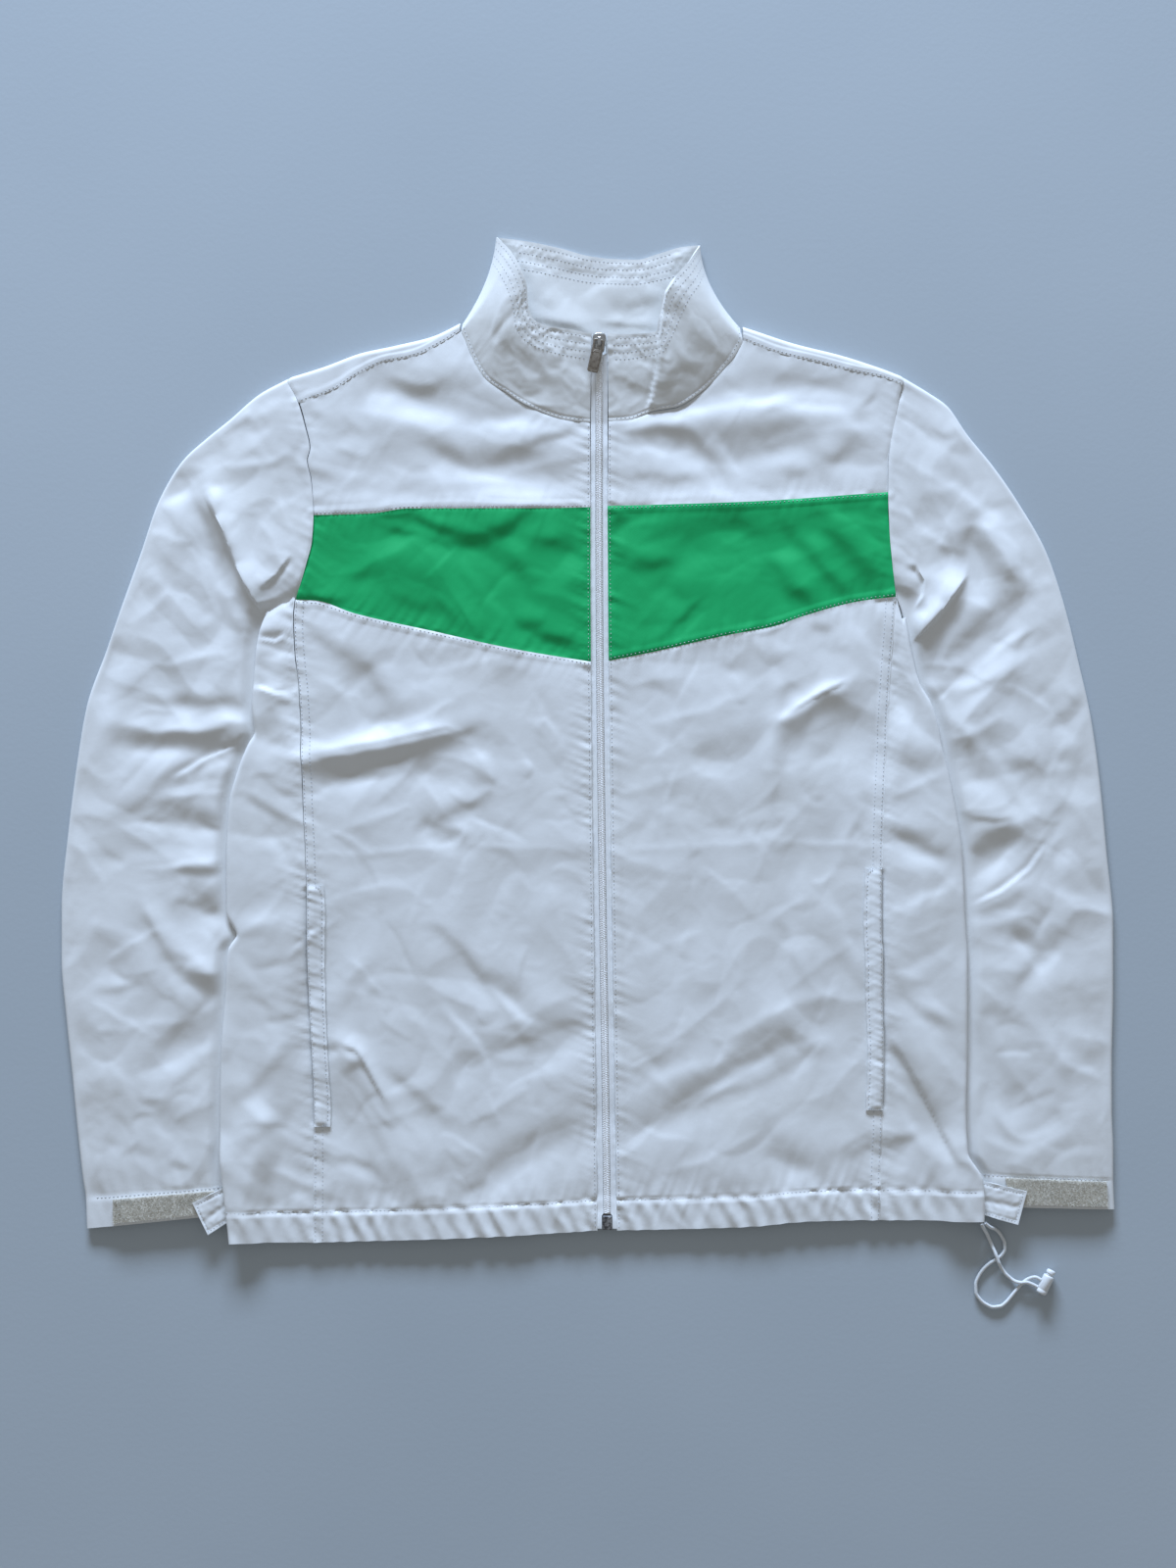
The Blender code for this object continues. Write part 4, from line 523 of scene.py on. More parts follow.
def crumple(x, y, size, seed):
    """Flat facets with crisp crests and valleys between them, about -1 to 1."""
    warp_x = x + 0.45 * size * noise(x / size / 1.3, y / size / 1.3, seed + 51)
    warp_y = y + 0.45 * size * noise(x / size / 1.3, y / size / 1.3, seed + 52)
    crest = np.abs(noise(warp_x / size, warp_y / size, seed))
    valley = np.abs(noise(warp_x / size + 9.3, warp_y / size + 4.1, seed + 1))
    return 1.7 * (valley - crest)


def wander(run, pitch, seed):
    """Uneven waves along a line, about -1 to 1."""
    return noise(run / pitch, 0.37 + 1.7 * seed, seed) + 0.5 * noise(run / pitch * 2.3, 0.21, seed + 7)


def beside(x, y, line):
    """How far each (x, y) lies from a line, how far along it, and on which side (1 is its right)."""
    line = np.asarray(line, float)
    best, along_line, side = np.full(x.shape, 1e9), np.zeros(x.shape), np.ones(x.shape)
    start = 0.0
    for (ax, ay), (bx, by) in zip(line[:-1], line[1:]):
        dx, dy = bx - ax, by - ay
        length = math.hypot(dx, dy)
        t = np.clip(((x - ax) * dx + (y - ay) * dy) / length**2, 0, 1)
        away = np.hypot(x - ax - t * dx, y - ay - t * dy)
        closer = away < best
        best = np.where(closer, away, best)
        along_line = np.where(closer, start + t * length, along_line)
        side = np.where(closer, np.sign((x - ax) * dy - (y - ay) * dx), side)
        start += length
    return best, along_line, side


def creases(x, y, table):
    """The height that the listed creases add: crisp along their line, fading to each side."""
    total = np.zeros(x.shape)
    for from_x, from_y, to_x, to_y, bend, height, left, right in table:
        dx, dy = to_x - from_x, to_y - from_y
        length = math.hypot(dx, dy)
        t = ((x - from_x) * dx + (y - from_y) * dy) / length**2
        across = ((x - from_x) * dy - (y - from_y) * dx) / length - bend * 4 * t * (1 - t)
        near = (t > 0) & (t < 1) & (np.abs(across) < 3.2 * max(left, right))
        t, across = t[near], across[near]
        fullness = np.sin(math.pi * t)
        away = (np.hypot(across, 0.7) - 0.7) / np.where(across > 0, right, left)
        total[near] += height * np.exp(-((away / (0.4 + 0.6 * fullness)) ** 1.35)) * fullness**0.8
    return total


# ---- the jacket's own lines --------------------------------------------------------------------
def sampled(curve, start, end, count, by_y=False):
    at = np.linspace(start, end, count)
    return np.column_stack([curve(at), at] if by_y else [at, curve(at)])


NECK = {side: through([tuple(p) for p in neck_points(side)]) for side in ("right", "left")}
BAND = {
    "right": (through(BAND_TOP_RIGHT), through(BAND_BOTTOM_RIGHT)),
    "left": (through(BAND_TOP_LEFT), through(BAND_BOTTOM_LEFT)),
}
ARM = {"right": arm_right, "left": arm_left}
SEAM = {"right": seam_right, "left": seam_left}
FOLD = {"right": fold_right, "left": fold_left}
SIGN = {"right": -1, "left": 1}
CORNERS = {
    "right": (BAND_TOP_RIGHT[0], BAND_BOTTOM_RIGHT[0]),
    "left": (BAND_TOP_LEFT[-1], BAND_BOTTOM_LEFT[-1]),
}
SHOULDER = {
    "right": along(SHOULDER_SEAM_RIGHT, 30),
    "left": along(SHOULDER_SEAM_LEFT, 30)[::-1],
}


def zip_edge(side, y):
    return zip_x(y) + SIGN[side] * zip_half(y)


LINES = {}
for side in ("right", "left"):
    sign = SIGN[side]
    corner_top, corner_low = CORNERS[side]
    LINES[f"side_{side}"] = sampled(SEAM[side], corner_low[1], -394 if sign < 0 else -377, 30, True)
    LINES[f"zip_{side}"] = np.column_stack(
        [zip_edge(side, np.linspace(248, -384, 14)), np.linspace(248, -384, 14)]
    )
    LINES[f"band_top_{side}"] = sampled(BAND[side][0], corner_top[0], zip_edge(side, 182.0), 14)
    LINES[f"band_low_{side}"] = sampled(BAND[side][1], corner_low[0], zip_edge(side, 61.0), 14)
    LINES[f"arm_{side}"] = sampled(ARM[side], 283, corner_low[1], 20, True)
    LINES[f"shoulder_{side}"] = SHOULDER[side]
    neck_from = neck_points(side)
    LINES[f"neck_{side}"] = sampled(NECK[side], neck_from[0, 0], neck_from[-1, 0], 30)
    hem_x = np.linspace(zip_edge(side, ZIP_HEM_Y), -284 if sign < 0 else 306, 30)
    LINES[f"hem_{side}"] = np.column_stack([hem_x, hem_y(hem_x) + HEM_DEPTH])

# The relief of the sewing at each line: how deep the seam lies, how high and how long its puckers
# stand and how far they reach, and the side whose edge is doubled (1 is the right of the line).
# Columns: line, depth, pucker, pitch, reach, doubled_side, doubled_width.
SEWN = (
    ("side_right", 0.15, 1.3, 4.6, 8.0, -1, 8.0),
    ("side_left", 0.15, 1.3, 4.6, 8.0, 1, 8.0),
    ("zip_right", 0.0, 1.4, 4.8, 8.0, 1, 8.0),
    ("zip_left", 0.0, 1.4, 4.8, 8.0, -1, 8.0),
    ("band_top_right", 0.3, 0.8, 6.0, 8.0, -1, 6.0),
    ("band_top_left", 0.3, 0.8, 6.0, 8.0, -1, 6.0),
    ("band_low_right", 0.3, 1.2, 4.8, 10.0, 1, 6.0),
    ("band_low_left", 0.3, 1.2, 4.8, 10.0, 1, 6.0),
    ("arm_right", 0.6, 0.9, 7.0, 10.0, 1, 0.0),
    ("arm_left", 0.6, 0.9, 7.0, 10.0, -1, 0.0),
    ("shoulder_right", 0.2, 0.4, 6.0, 6.0, -1, 6.0),
    ("shoulder_left", 0.2, 0.4, 6.0, 6.0, 1, 6.0),
    ("neck_right", 0.3, 0.5, 6.0, 9.0, 1, 0.0),
    ("neck_left", 0.3, 0.5, 6.0, 9.0, 1, 0.0),
    ("hem_right", 1.0, 1.2, 6.5, 12.0, 1, 0.0),
    ("hem_left", 1.0, 1.2, 6.5, 12.0, -1, 0.0),
)


def sewing(x, y):
    total = np.zeros(x.shape)
    for number, (name, depth, pucker, pitch, reach, doubled_side, doubled_width) in enumerate(SEWN):
        line = LINES[name]
        low, high = line.min(0) - 3 * reach, line.max(0) + 3 * reach
        near = (x > low[0]) & (x < high[0]) & (y > low[1]) & (y < high[1])
        if not near.any():
            continue
        away, run, where = beside(x[near], y[near], line)
        relief = -depth * np.exp(-((away / 1.3) ** 2))
        wave = wander(run + 0.4 * away * where, pitch, number)
        strength = 0.55 + 0.45 * noise(run / 60, 0.5, number + 31)
        relief += pucker * strength * wave * np.exp(-away / reach) * ease(away / 2)
        if doubled_width:
            relief += 0.45 * ease((doubled_width - away) / 1.6) * (where == doubled_side)
        total[near] += relief
    return total


def hem_gathers(x, y):
    """Uneven slanting gathers in the hem casing, and the pulls that run up from its stitching."""
    below = hem_y(x) + HEM_DEPTH - y
    lean = x + 0.52 * (y - hem_y(x))
    inside = ease((below + 1.5) / 3)
    lean = lean + 5.0 * noise(x / 26.0, below / 30.0, 75)
    ridge = 1 - 2.1 * np.abs(noise(lean / 15.5, 3.3, 71)) + 0.6 * noise(lean / 6.0, below / 14.0, 72)
    pull = noise((x + 0.35 * y) / 12.0, y / 60.0, 73)
    above = np.exp(-np.maximum(-below, 0) / 16) * (1 - inside)
    strength = 0.75 + 0.5 * noise(x / 48.0, 0.4, 74)
    return inside * ridge * 0.85 * strength + above * pull * 1.3


# ---- creases that the photograph shows: (from x, y, to x, y), how far the middle bends to the
# right of that way, the height, and how far it fades to the left and to the right. Pixels of the
# photograph, and for height and fading millimetres.
# Columns: from_x, from_y, to_x, to_y, bend, height, left, right.
BODY_CREASES = (
    # right yoke (the photograph's left)
    (368, 402, 500, 392, 3, -1.4, 12, 7), (350, 420, 470, 452, -4, 1.1, 5, 12),
    (396, 384, 450, 398, 0, 1.0, 4, 8), (446, 470, 596, 492, 6, -1.5, 14, 9),
    (470, 436, 560, 462, 4, 1.0, 5, 10), (330, 470, 420, 490, 3, -0.9, 9, 6),
    (420, 505, 520, 496, -3, 0.8, 6, 6), (520, 478, 600, 468, 2, 0.9, 6, 8),
    # left yoke
    (690, 425, 872, 428, -6, 1.3, 6, 14), (716, 412, 800, 396, 2, 1.0, 5, 9),
    (640, 450, 760, 478, 4, -1.3, 10, 12), (760, 462, 905, 440, -5, 1.0, 6, 12),
    (690, 494, 830, 486, -3, -1.1, 9, 9), (800, 380, 884, 408, 3, -0.9, 7, 7),
    (836, 470, 904, 476, 2, -0.9, 8, 6), (632, 442, 700, 432, -2, 0.9, 4, 7),
    # bands
    (340, 590, 430, 548, 4, 0.9, 5, 10), (470, 545, 560, 640, -5, -1.1, 10, 10),
    (540, 600, 600, 620, 0, 0.8, 5, 8), (560, 528, 598, 580, 2, -0.9, 7, 7),
    (380, 560, 410, 620, 0, 0.5, 4, 6), (640, 560, 700, 540, 2, -0.8, 8, 8),
    (735, 560, 800, 528, 0, 0.6, 5, 7), (800, 610, 905, 560, -4, 0.9, 5, 11),
    (850, 540, 905, 530, 0, -0.8, 7, 7), (640, 650, 690, 600, 0, 0.7, 5, 8),
    # right front
    (352, 700, 404, 752, 5, -1.9, 9, 13), (318, 688, 372, 716, 2, 1.0, 4, 8),
    (306, 778, 488, 738, 4, 2.1, 12, 6), (392, 752, 470, 716, 0, 1.0, 4, 9),
    (480, 766, 502, 804, -3, 1.5, 4, 7), (502, 804, 476, 822, 0, 1.0, 4, 6),
    (428, 836, 474, 850, 3, -1.4, 6, 7), (474, 850, 440, 866, 0, -1.0, 6, 6),
    (420, 690, 520, 668, 3, 0.8, 5, 9), (540, 700, 590, 780, 3, 0.9, 5, 8),
    (346, 850, 420, 822, 0, 0.9, 5, 8), (358, 905, 452, 880, 2, -0.9, 8, 7),
    (470, 985, 545, 1045, -4, -1.0, 9, 8), (360, 960, 380, 1060, 4, 0.8, 4, 8),
    (344, 1064, 372, 1086, 2, 1.9, 6, 7), (372, 1086, 404, 1150, 5, 2.0, 9, 6),
    (404, 1150, 440, 1222, 3, 1.5, 9, 6), (350, 1092, 396, 1180, 4, -1.6, 12, 8),
    (604, 1044, 476, 1092, 5, -1.5, 14, 9), (596, 1010, 500, 1050, 0, 0.9, 6, 9),
    (604, 1138, 478, 1216, 6, -1.7, 15, 9), (540, 1110, 470, 1150, 0, 1.0, 6, 8),
    (560, 900, 590, 990, 3, 0.8, 5, 9), (500, 870, 520, 960, -3, 0.6, 6, 8),
    (430, 900, 440, 1010, 3, 0.6, 6, 8), (400, 1010, 470, 1090, 3, 0.9, 5, 10),
    (330, 1180, 396, 1212, 2, 1.0, 5, 7), (540, 640, 500, 700, 0, 0.7, 4, 8),
    # left front
    (812, 700, 798, 736, 2, -1.3, 10, 7), (794, 738, 862, 692, -2, 1.7, 5, 10),
    (820, 790, 894, 700, 5, -1.5, 12, 9), (790, 738, 788, 826, 2, 1.2, 5, 7),
    (640, 700, 700, 690, 0, 0.8, 5, 8), (660, 740, 770, 704, 4, 0.9, 5, 11),
    (630, 812, 700, 790, 0, 0.7, 5, 8), (708, 840, 780, 850, 2, -0.8, 7, 7),
    (842, 1052, 656, 1152, 7, -1.8, 9, 15), (860, 1010, 740, 1062, 4, 1.1, 10, 6),
    (790, 1080, 700, 1140, 3, 1.2, 9, 5), (780, 1176, 828, 1196, 2, -1.3, 8, 9),
    (680, 1196, 780, 1150, 3, 1.0, 5, 9), (640, 980, 720, 950, 0, 0.7, 6, 8),
    (700, 900, 706, 1000, 3, 0.6, 6, 8), (760, 900, 752, 1010, -3, 0.7, 6, 8),
    (820, 880, 830, 980, 3, 0.7, 6, 8), (880, 820, 850, 900, 2, 0.9, 5, 8),
    (640, 1080, 700, 1060, 0, 0.8, 5, 8), (870, 960, 800, 1010, 0, 0.8, 5, 9),
    # right side panel
    (262, 652, 292, 664, 2, -1.6, 5, 5), (258, 676, 296, 690, 2, -1.6, 5, 6),
    (250, 704, 300, 700, 2, 1.3, 4, 6), (246, 740, 304, 770, 3, -1.3, 8, 7),
    (240, 800, 300, 830, 2, 1.1, 5, 8), (236, 846, 306, 852, 3, -1.2, 8, 6),
    (246, 952, 300, 900, 4, 1.5, 6, 9), (238, 960, 280, 1010, 2, -1.3, 8, 8),
    (262, 1010, 312, 1040, 2, 1.0, 5, 8), (236, 1060, 290, 1140, 4, -1.4, 10, 8),
    (246, 1120, 310, 1170, 3, 1.4, 6, 9), (232, 1168, 280, 1216, 2, -1.3, 8, 8),
    (270, 1184, 314, 1214, 0, 1.0, 4, 7),
    # left side panel
    (906, 690, 956, 762, 4, -1.6, 10, 8), (916, 664, 940, 720, 2, 1.0, 4, 7),
    (906, 812, 966, 786, 2, 1.2, 5, 8), (908, 848, 968, 884, 3, -1.6, 9, 8),
    (908, 930, 976, 900, 3, 1.3, 5, 9), (904, 990, 972, 960, 2, -1.1, 8, 7),
    (902, 1052, 982, 1190, 8, -2.2, 12, 10), (906, 1100, 948, 1180, 4, 1.4, 5, 8),
    (936, 1040, 980, 1110, 3, 1.5, 6, 8), (960, 1150, 1000, 1196, 2, 1.2, 5, 7),
    (910, 1160, 940, 1204, 0, -1.0, 6, 6),
    # the crease it was packed along
    (312, 872, 470, 862, 2, 0.55, 3, 5), (470, 862, 600, 868, 0, 0.5, 3, 5),
    (632, 866, 780, 858, 2, 0.5, 3, 5), (780, 858, 896, 864, 0, 0.5, 3, 5),
)
SLEEVE_CREASES_RIGHT = (
    (208, 494, 224, 528, -3, 1.6, 6, 5), (224, 528, 244, 578, 3, 2.2, 12, 4),
    (244, 578, 274, 634, 3, 2.4, 14, 4), (204, 520, 236, 610, 5, -1.7, 14, 8),
    (160, 512, 196, 494, 2, -1.6, 9, 6), (150, 540, 200, 556, 3, 1.2, 5, 8),
    (236, 478, 300, 462, 3, 1.2, 5, 9), (250, 440, 296, 404, 0, 1.0, 5, 8),
    (284, 470, 310, 560, 4, -1.3, 10, 6), (262, 520, 300, 590, 3, 1.2, 5, 8),
    (300, 430, 312, 500, 2, 1.0, 4, 6), (190, 600, 250, 650, 3, -1.1, 9, 8),
    (128, 640, 180, 600, 3, 1.3, 5, 9), (116, 650, 110, 722, 3, -1.5, 9, 7),
    (150, 680, 230, 664, 3, 1.2, 5, 9), (118, 742, 262, 734, 6, 2.0, 7, 10),
    (130, 764, 260, 758, 5, -1.9, 9, 12), (196, 790, 246, 776, 2, 1.3, 5, 7),
    (174, 836, 238, 846, 4, -1.7, 9, 8), (150, 812, 236, 806, 3, 1.3, 5, 8),
    (180, 884, 240, 870, 2, 1.2, 6, 6), (180, 918, 236, 930, 4, -1.8, 9, 9),
    (96, 856, 130, 884, 2, -1.2, 7, 6), (148, 918, 188, 986, 5, 1.8, 6, 9),
    (188, 986, 228, 992, 2, 1.4, 5, 7), (164, 960, 214, 1020, 4, -1.3, 9, 8),
    (116, 984, 146, 1008, 2, -1.2, 6, 6), (96, 940, 140, 960, 2, 0.9, 5, 8),
    (100, 1050, 200, 1036, 3, 1.0, 5, 10), (140, 1096, 226, 1052, 4, -1.4, 12, 8),
    (110, 1110, 190, 1120, 3, 0.9, 5, 9), (180, 1140, 232, 1110, 2, 1.1, 5, 8),
    (96, 1160, 160, 1180, 2, -0.9, 7, 7), (84, 780, 120, 800, 2, 0.9, 5, 7),
    (240, 410, 270, 440, 0, 0.9, 5, 7), (196, 560, 214, 610, 0, 0.9, 4, 7),
)
SLEEVE_CREASES_LEFT = (
    (988, 536, 1002, 606, 4, -2.2, 12, 9), (1000, 532, 1038, 594, 3, 2.0, 5, 10),
    (988, 588, 966, 620, 3, 2.2, 5, 12), (966, 620, 926, 658, 3, 2.1, 5, 12),
    (920, 470, 976, 500, 3, 1.4, 5, 9), (930, 430, 990, 470, 3, -1.3, 9, 7),
    (916, 520, 966, 560, 3, 1.4, 5, 9), (924, 586, 974, 560, 3, -1.4, 9, 7),
    (1048, 606, 962, 678, 4, -1.7, 11, 9), (1062, 640, 990, 690, 3, 1.4, 6, 9),
    (1042, 640, 948, 724, 5, -1.8, 12, 9), (1050, 666, 976, 748, 4, 1.7, 6, 11),
    (1080, 600, 1096, 660, 3, 1.1, 5, 8), (1060, 700, 1100, 760, 3, -1.1, 9, 8),
    (960, 760, 1020, 730, 3, 1.3, 6, 9), (970, 800, 1060, 780, 3, -1.2, 9, 9),
    (984, 850, 1060, 830, 3, 1.2, 6, 9), (986, 894, 1042, 846, 4, -1.8, 11, 8),
    (986, 930, 1048, 898, 4, 1.5, 6, 10), (1028, 948, 1066, 976, 3, -1.5, 8, 8),
    (1066, 976, 1038, 1012, 3, -1.4, 8, 8), (1060, 900, 1110, 930, 3, 1.1, 5, 9),
    (990, 1000, 1030, 1030, 2, 1.1, 5, 8), (992, 1042, 1040, 1152, 6, -1.8, 12, 9),
    (1010, 1040, 1062, 1130, 5, 1.4, 6, 10), (1068, 1066, 1086, 1146, 4, 1.2, 6, 10),
    (1000, 1160, 1060, 1180, 2, 1.0, 5, 8), (1090, 1000, 1120, 1070, 3, -0.9, 8, 8),
    (1088, 800, 1118, 860, 3, 0.9, 5, 9), (1020, 470, 1050, 520, 2, 1.0, 5, 8),
    (960, 440, 1010, 430, 0, 0.9, 5, 8), (1040, 560, 1070, 610, 2, -1.0, 8, 7),
)

# Rounded folds that the photograph shows, a row for each: the middle in pixels of the photograph,
# half the length and half the width in pixels, the way the length turns down from the picture's
# right in degrees, and how far in millimetres the cloth falls across it towards the picture's
# bottom. What falls turns away from the window and is dark, and what rises (under 0) is bright.
# Columns: middle_x, middle_y, half_length, half_width, turn, fall.
BODY_SHADES = (
    # right yoke
    (460, 404, 55, 20, 12, 2.6), (520, 424, 25, 8, 5, 1.2), (497, 370, 30, 14, -60, 1.4),
    (537, 378, 22, 12, 45, -1.4), (571, 402, 30, 7, 44, -1.4), (521, 434, 32, 8, -6, -1.8),
    (465, 466, 22, 8, 29, 2.0), (520, 463, 40, 9, -20, 2.2), (572, 443, 18, 6, -20, 1.4),
    (320, 484, 22, 12, 20, 2.0), (318, 424, 11, 6, 10, 1.4), (400, 508, 90, 8, 0, -1.2),
    (520, 505, 60, 7, 0, -1.2), (380, 446, 40, 14, -12, -1.6), (424, 484, 26, 8, 10, -1.2),
    # left yoke
    (790, 386, 42, 15, -5, 1.8), (700, 423, 55, 10, -9, -2.2), (800, 409, 50, 9, -7, -2.0),
    (673, 441, 32, 7, 6, 1.6), (714, 455, 18, 7, 45, 1.8), (735, 480, 20, 7, 59, 1.8),
    (675, 462, 30, 7, 6, -1.4), (678, 488, 30, 7, 3, 1.6), (768, 460, 34, 16, -10, 2.6),
    (810, 485, 12, 8, 0, 1.4), (860, 462, 22, 13, -40, 2.0), (742, 467, 21, 5, 58, -1.2),
    (864, 428, 15, 8, 57, -1.6), (760, 506, 100, 7, 0, -1.2), (890, 400, 14, 20, 0, 1.4),
    # right band
    (410, 545, 14, 6, 15, 1.8), (445, 538, 25, 7, 20, 2.6), (487, 550, 34, 9, -8, 3.4),
    (525, 535, 22, 9, -35, 2.8), (568, 558, 32, 10, 10, 2.8), (525, 575, 22, 9, 60, 2.0),
    (540, 638, 18, 7, 0, 2.4), (570, 655, 24, 7, 15, 2.4), (460, 630, 26, 8, 50, 2.2),
    (425, 618, 25, 9, 20, 1.5), (332, 612, 20, 5, 5, 1.8), (372, 585, 12, 8, -30, 1.5),
    (335, 575, 30, 14, 80, -1.0), (500, 610, 50, 8, 55, -1.3), (590, 600, 12, 9, 10, 1.6),
    # left band
    (665, 575, 26, 11, 0, 3.2), (690, 600, 14, 12, 60, 2.6), (760, 535, 34, 18, 30, 2.4),
    (805, 540, 26, 10, 55, 3.0), (832, 575, 30, 8, 50, 2.8), (850, 545, 30, 12, 50, 3.8),
    (880, 582, 30, 14, 55, 4.0), (800, 592, 22, 9, 60, 3.0), (822, 615, 18, 7, 50, 2.4),
    (858, 603, 16, 9, 60, 2.6), (872, 530, 20, 9, 15, -1.8), (893, 570, 32, 6, 75, -1.2),
    (695, 632, 30, 5, -45, 1.3), (632, 532, 10, 7, 5, 1.8), (632, 567, 10, 7, 0, 1.8),
    # right front
    (331, 654, 26, 10, 32, 2.0), (362, 675, 24, 15, 36, 3.0), (386, 698, 20, 9, 55, 2.0),
    (345, 760, 56, 9, -8, -2.6), (428, 746, 32, 9, -12, -2.4), (470, 750, 16, 8, 34, -1.6),
    (375, 788, 28, 9, 5, 2.4), (438, 785, 28, 10, 0, 2.4), (444, 847, 12, 7, 60, 1.6),
    (472, 825, 23, 9, -15, 2.2), (463, 843, 14, 6, 15, -1.6), (455, 955, 20, 7, 39, 1.4),
    (484, 987, 25, 7, 56, 1.6), (510, 1023, 21, 7, 52, 1.6), (530, 1052, 15, 7, 59, 1.4),
    (523, 1027, 26, 6, 40, -1.4), (465, 1035, 20, 5, 51, -1.3), (487, 1063, 17, 5, 53, -1.3),
    (500, 1088, 13, 5, 75, -1.1), (552, 1070, 55, 13, -25, 2.6), (368, 1117, 22, 9, 55, -2.0),
    (392, 1152, 24, 9, 58, -2.2), (415, 1187, 22, 9, 54, -2.0), (432, 1213, 12, 8, 63, -1.4),
    (350, 1067, 12, 5, 19, 1.6), (369, 1085, 18, 5, 60, 1.8), (387, 1115, 19, 5, 56, 1.8),
    (415, 1104, 22, 8, 42, 1.8), (442, 1132, 20, 8, 53, 1.8), (335, 1178, 17, 7, 18, 1.6),
    (365, 1185, 17, 7, 8, 1.6), (389, 1202, 18, 7, 60, 1.6), (497, 1200, 32, 11, -26, 2.4),
    (557, 1168, 40, 11, -29, 2.4), (430, 700, 34, 12, -20, -1.4), (560, 720, 40, 12, 60, 1.2),
    # left front
    (813, 722, 20, 6, -31, -2.2), (847, 702, 23, 7, -27, -2.2), (862, 742, 42, 26, -35, 4.0),
    (794, 676, 20, 8, 69, 1.8), (797, 767, 24, 7, -85, 1.8), (838, 640, 11, 6, 20, 1.3),
    (852, 660, 10, 8, 45, 1.4), (885, 661, 32, 9, 60, -1.8), (744, 678, 14, 7, 5, 1.3),
    (805, 965, 27, 6, 72, 1.6), (859, 945, 44, 9, 64, -1.8), (682, 1137, 33, 11, -19, 2.4),
    (738, 1117, 33, 12, -19, 2.6), (790, 1094, 30, 12, -30, 2.6), (833, 1073, 24, 11, -18, 2.2),
    (802, 1180, 30, 15, 30, 2.4), (700, 1090, 60, 10, -22, -1.6), (730, 760, 46, 16, -18, 1.2),
    # right side panel
    (280, 648, 15, 7, 10, 2.0), (279, 692, 16, 9, 15, 2.2), (289, 718, 11, 5, 10, 1.5),
    (272, 936, 36, 12, -8, -2.4), (262, 820, 30, 8, 66, 1.6), (285, 870, 35, 8, 66, -1.6),
    (268, 1099, 45, 9, -44, 1.8), (268, 1155, 40, 9, -38, 1.8), (262, 1010, 30, 10, 20, 1.4),
    # left side panel
    (924, 774, 26, 14, 20, 2.4), (905, 812, 30, 14, -15, 2.2), (932, 860, 36, 8, 25, 2.0),
    (915, 998, 25, 8, 60, 2.0), (944, 1034, 22, 8, 39, 1.8), (918, 1077, 29, 10, 57, 2.8),
    (943, 1120, 24, 10, 63, 2.8), (967, 1167, 30, 10, 63, 2.6), (925, 1127, 25, 8, 42, 2.0),
    (879, 1170, 23, 9, -18, 2.0), (916, 1161, 18, 8, -5, 1.8), (940, 920, 30, 10, -15, -1.6),
)
SLEEVE_SHADES_RIGHT = (
    (222, 455, 25, 12, -40, 1.6), (272, 430, 36, 12, -17, 1.5), (255, 515, 50, 22, 27, -2.2),
    (184, 540, 30, 10, 53, 2.0), (227, 612, 55, 10, 62, 2.0), (217, 531, 24, 8, 56, 2.2),
    (236, 570, 24, 8, 72, 2.8), (254, 608, 26, 8, 61, 2.6), (274, 600, 18, 7, -35, 1.6),
    (170, 598, 34, 10, 50, -1.6), (222, 665, 34, 16, 0, -1.8), (172, 665, 20, 20, 20, 1.4),
    (207, 717, 50, 9, 0, 2.4), (190, 740, 66, 9, -7, -2.6), (225, 768, 35, 10, -22, 2.4),
    (160, 805, 46, 9, -38, 2.0), (204, 838, 34, 11, 12, 3.0), (178, 873, 54, 11, 3, -2.2),
    (201, 887, 30, 6, 5, 1.6), (108, 872, 14, 8, 30, 1.4), (207, 925, 26, 11, 12, 2.8),
    (160, 950, 21, 8, 56, 2.0), (187, 977, 18, 8, 32, 2.0), (216, 1001, 22, 8, 45, 1.8),
    (130, 962, 38, 15, 70, 1.4), (122, 1009, 22, 6, -10, 1.6), (150, 1130, 55, 8, 51, -1.4),
    (130, 1150, 40, 8, 51, 1.2), (196, 1092, 34, 9, -36, 1.6), (110, 1060, 30, 12, 10, 1.0),
    (186, 1188, 12, 6, 20, 1.2), (120, 740, 12, 20, 10, 1.0),
)
SLEEVE_SHADES_LEFT = (
    (990, 462, 44, 40, -10, 2.4), (962, 498, 18, 7, 0, -1.6), (997, 515, 28, 8, 40, -2.0),
    (1030, 560, 30, 8, 67, -1.6), (1008, 572, 30, 16, 60, 2.6), (967, 553, 30, 15, 40, 1.4),
    (936, 545, 12, 9, 20, -1.4), (930, 600, 14, 10, -40, 1.8), (982, 598, 20, 8, -71, 2.0),
    (956, 632, 27, 8, -40, 2.0), (1008, 642, 42, 8, -39, 2.4), (1002, 700, 30, 8, -29, 2.2),
    (1038, 665, 22, 7, -66, 1.8), (959, 697, 30, 9, 0, -2.0), (976, 748, 23, 8, 40, 1.4),
    (1015, 777, 62, 8, 52, -1.8), (1012, 812, 60, 14, 31, -2.6), (1008, 862, 38, 13, -20, 2.8),
    (1008, 913, 30, 9, -29, 2.2), (1053, 874, 30, 9, -53, 2.2), (1080, 832, 20, 8, -64, 1.6),
    (1012, 936, 32, 9, -6, -2.6), (1056, 953, 26, 8, 54, -2.0), (1068, 968, 44, 10, -53, 1.8),
    (1003, 1090, 60, 9, 75, 3.0), (1030, 1157, 18, 8, 45, 1.6), (1064, 1162, 42, 8, -35, -1.4),
    (1082, 783, 10, 8, 0, -1.6), (1070, 1080, 40, 10, 60, 1.4), (1096, 900, 24, 12, 40, 1.2),
)
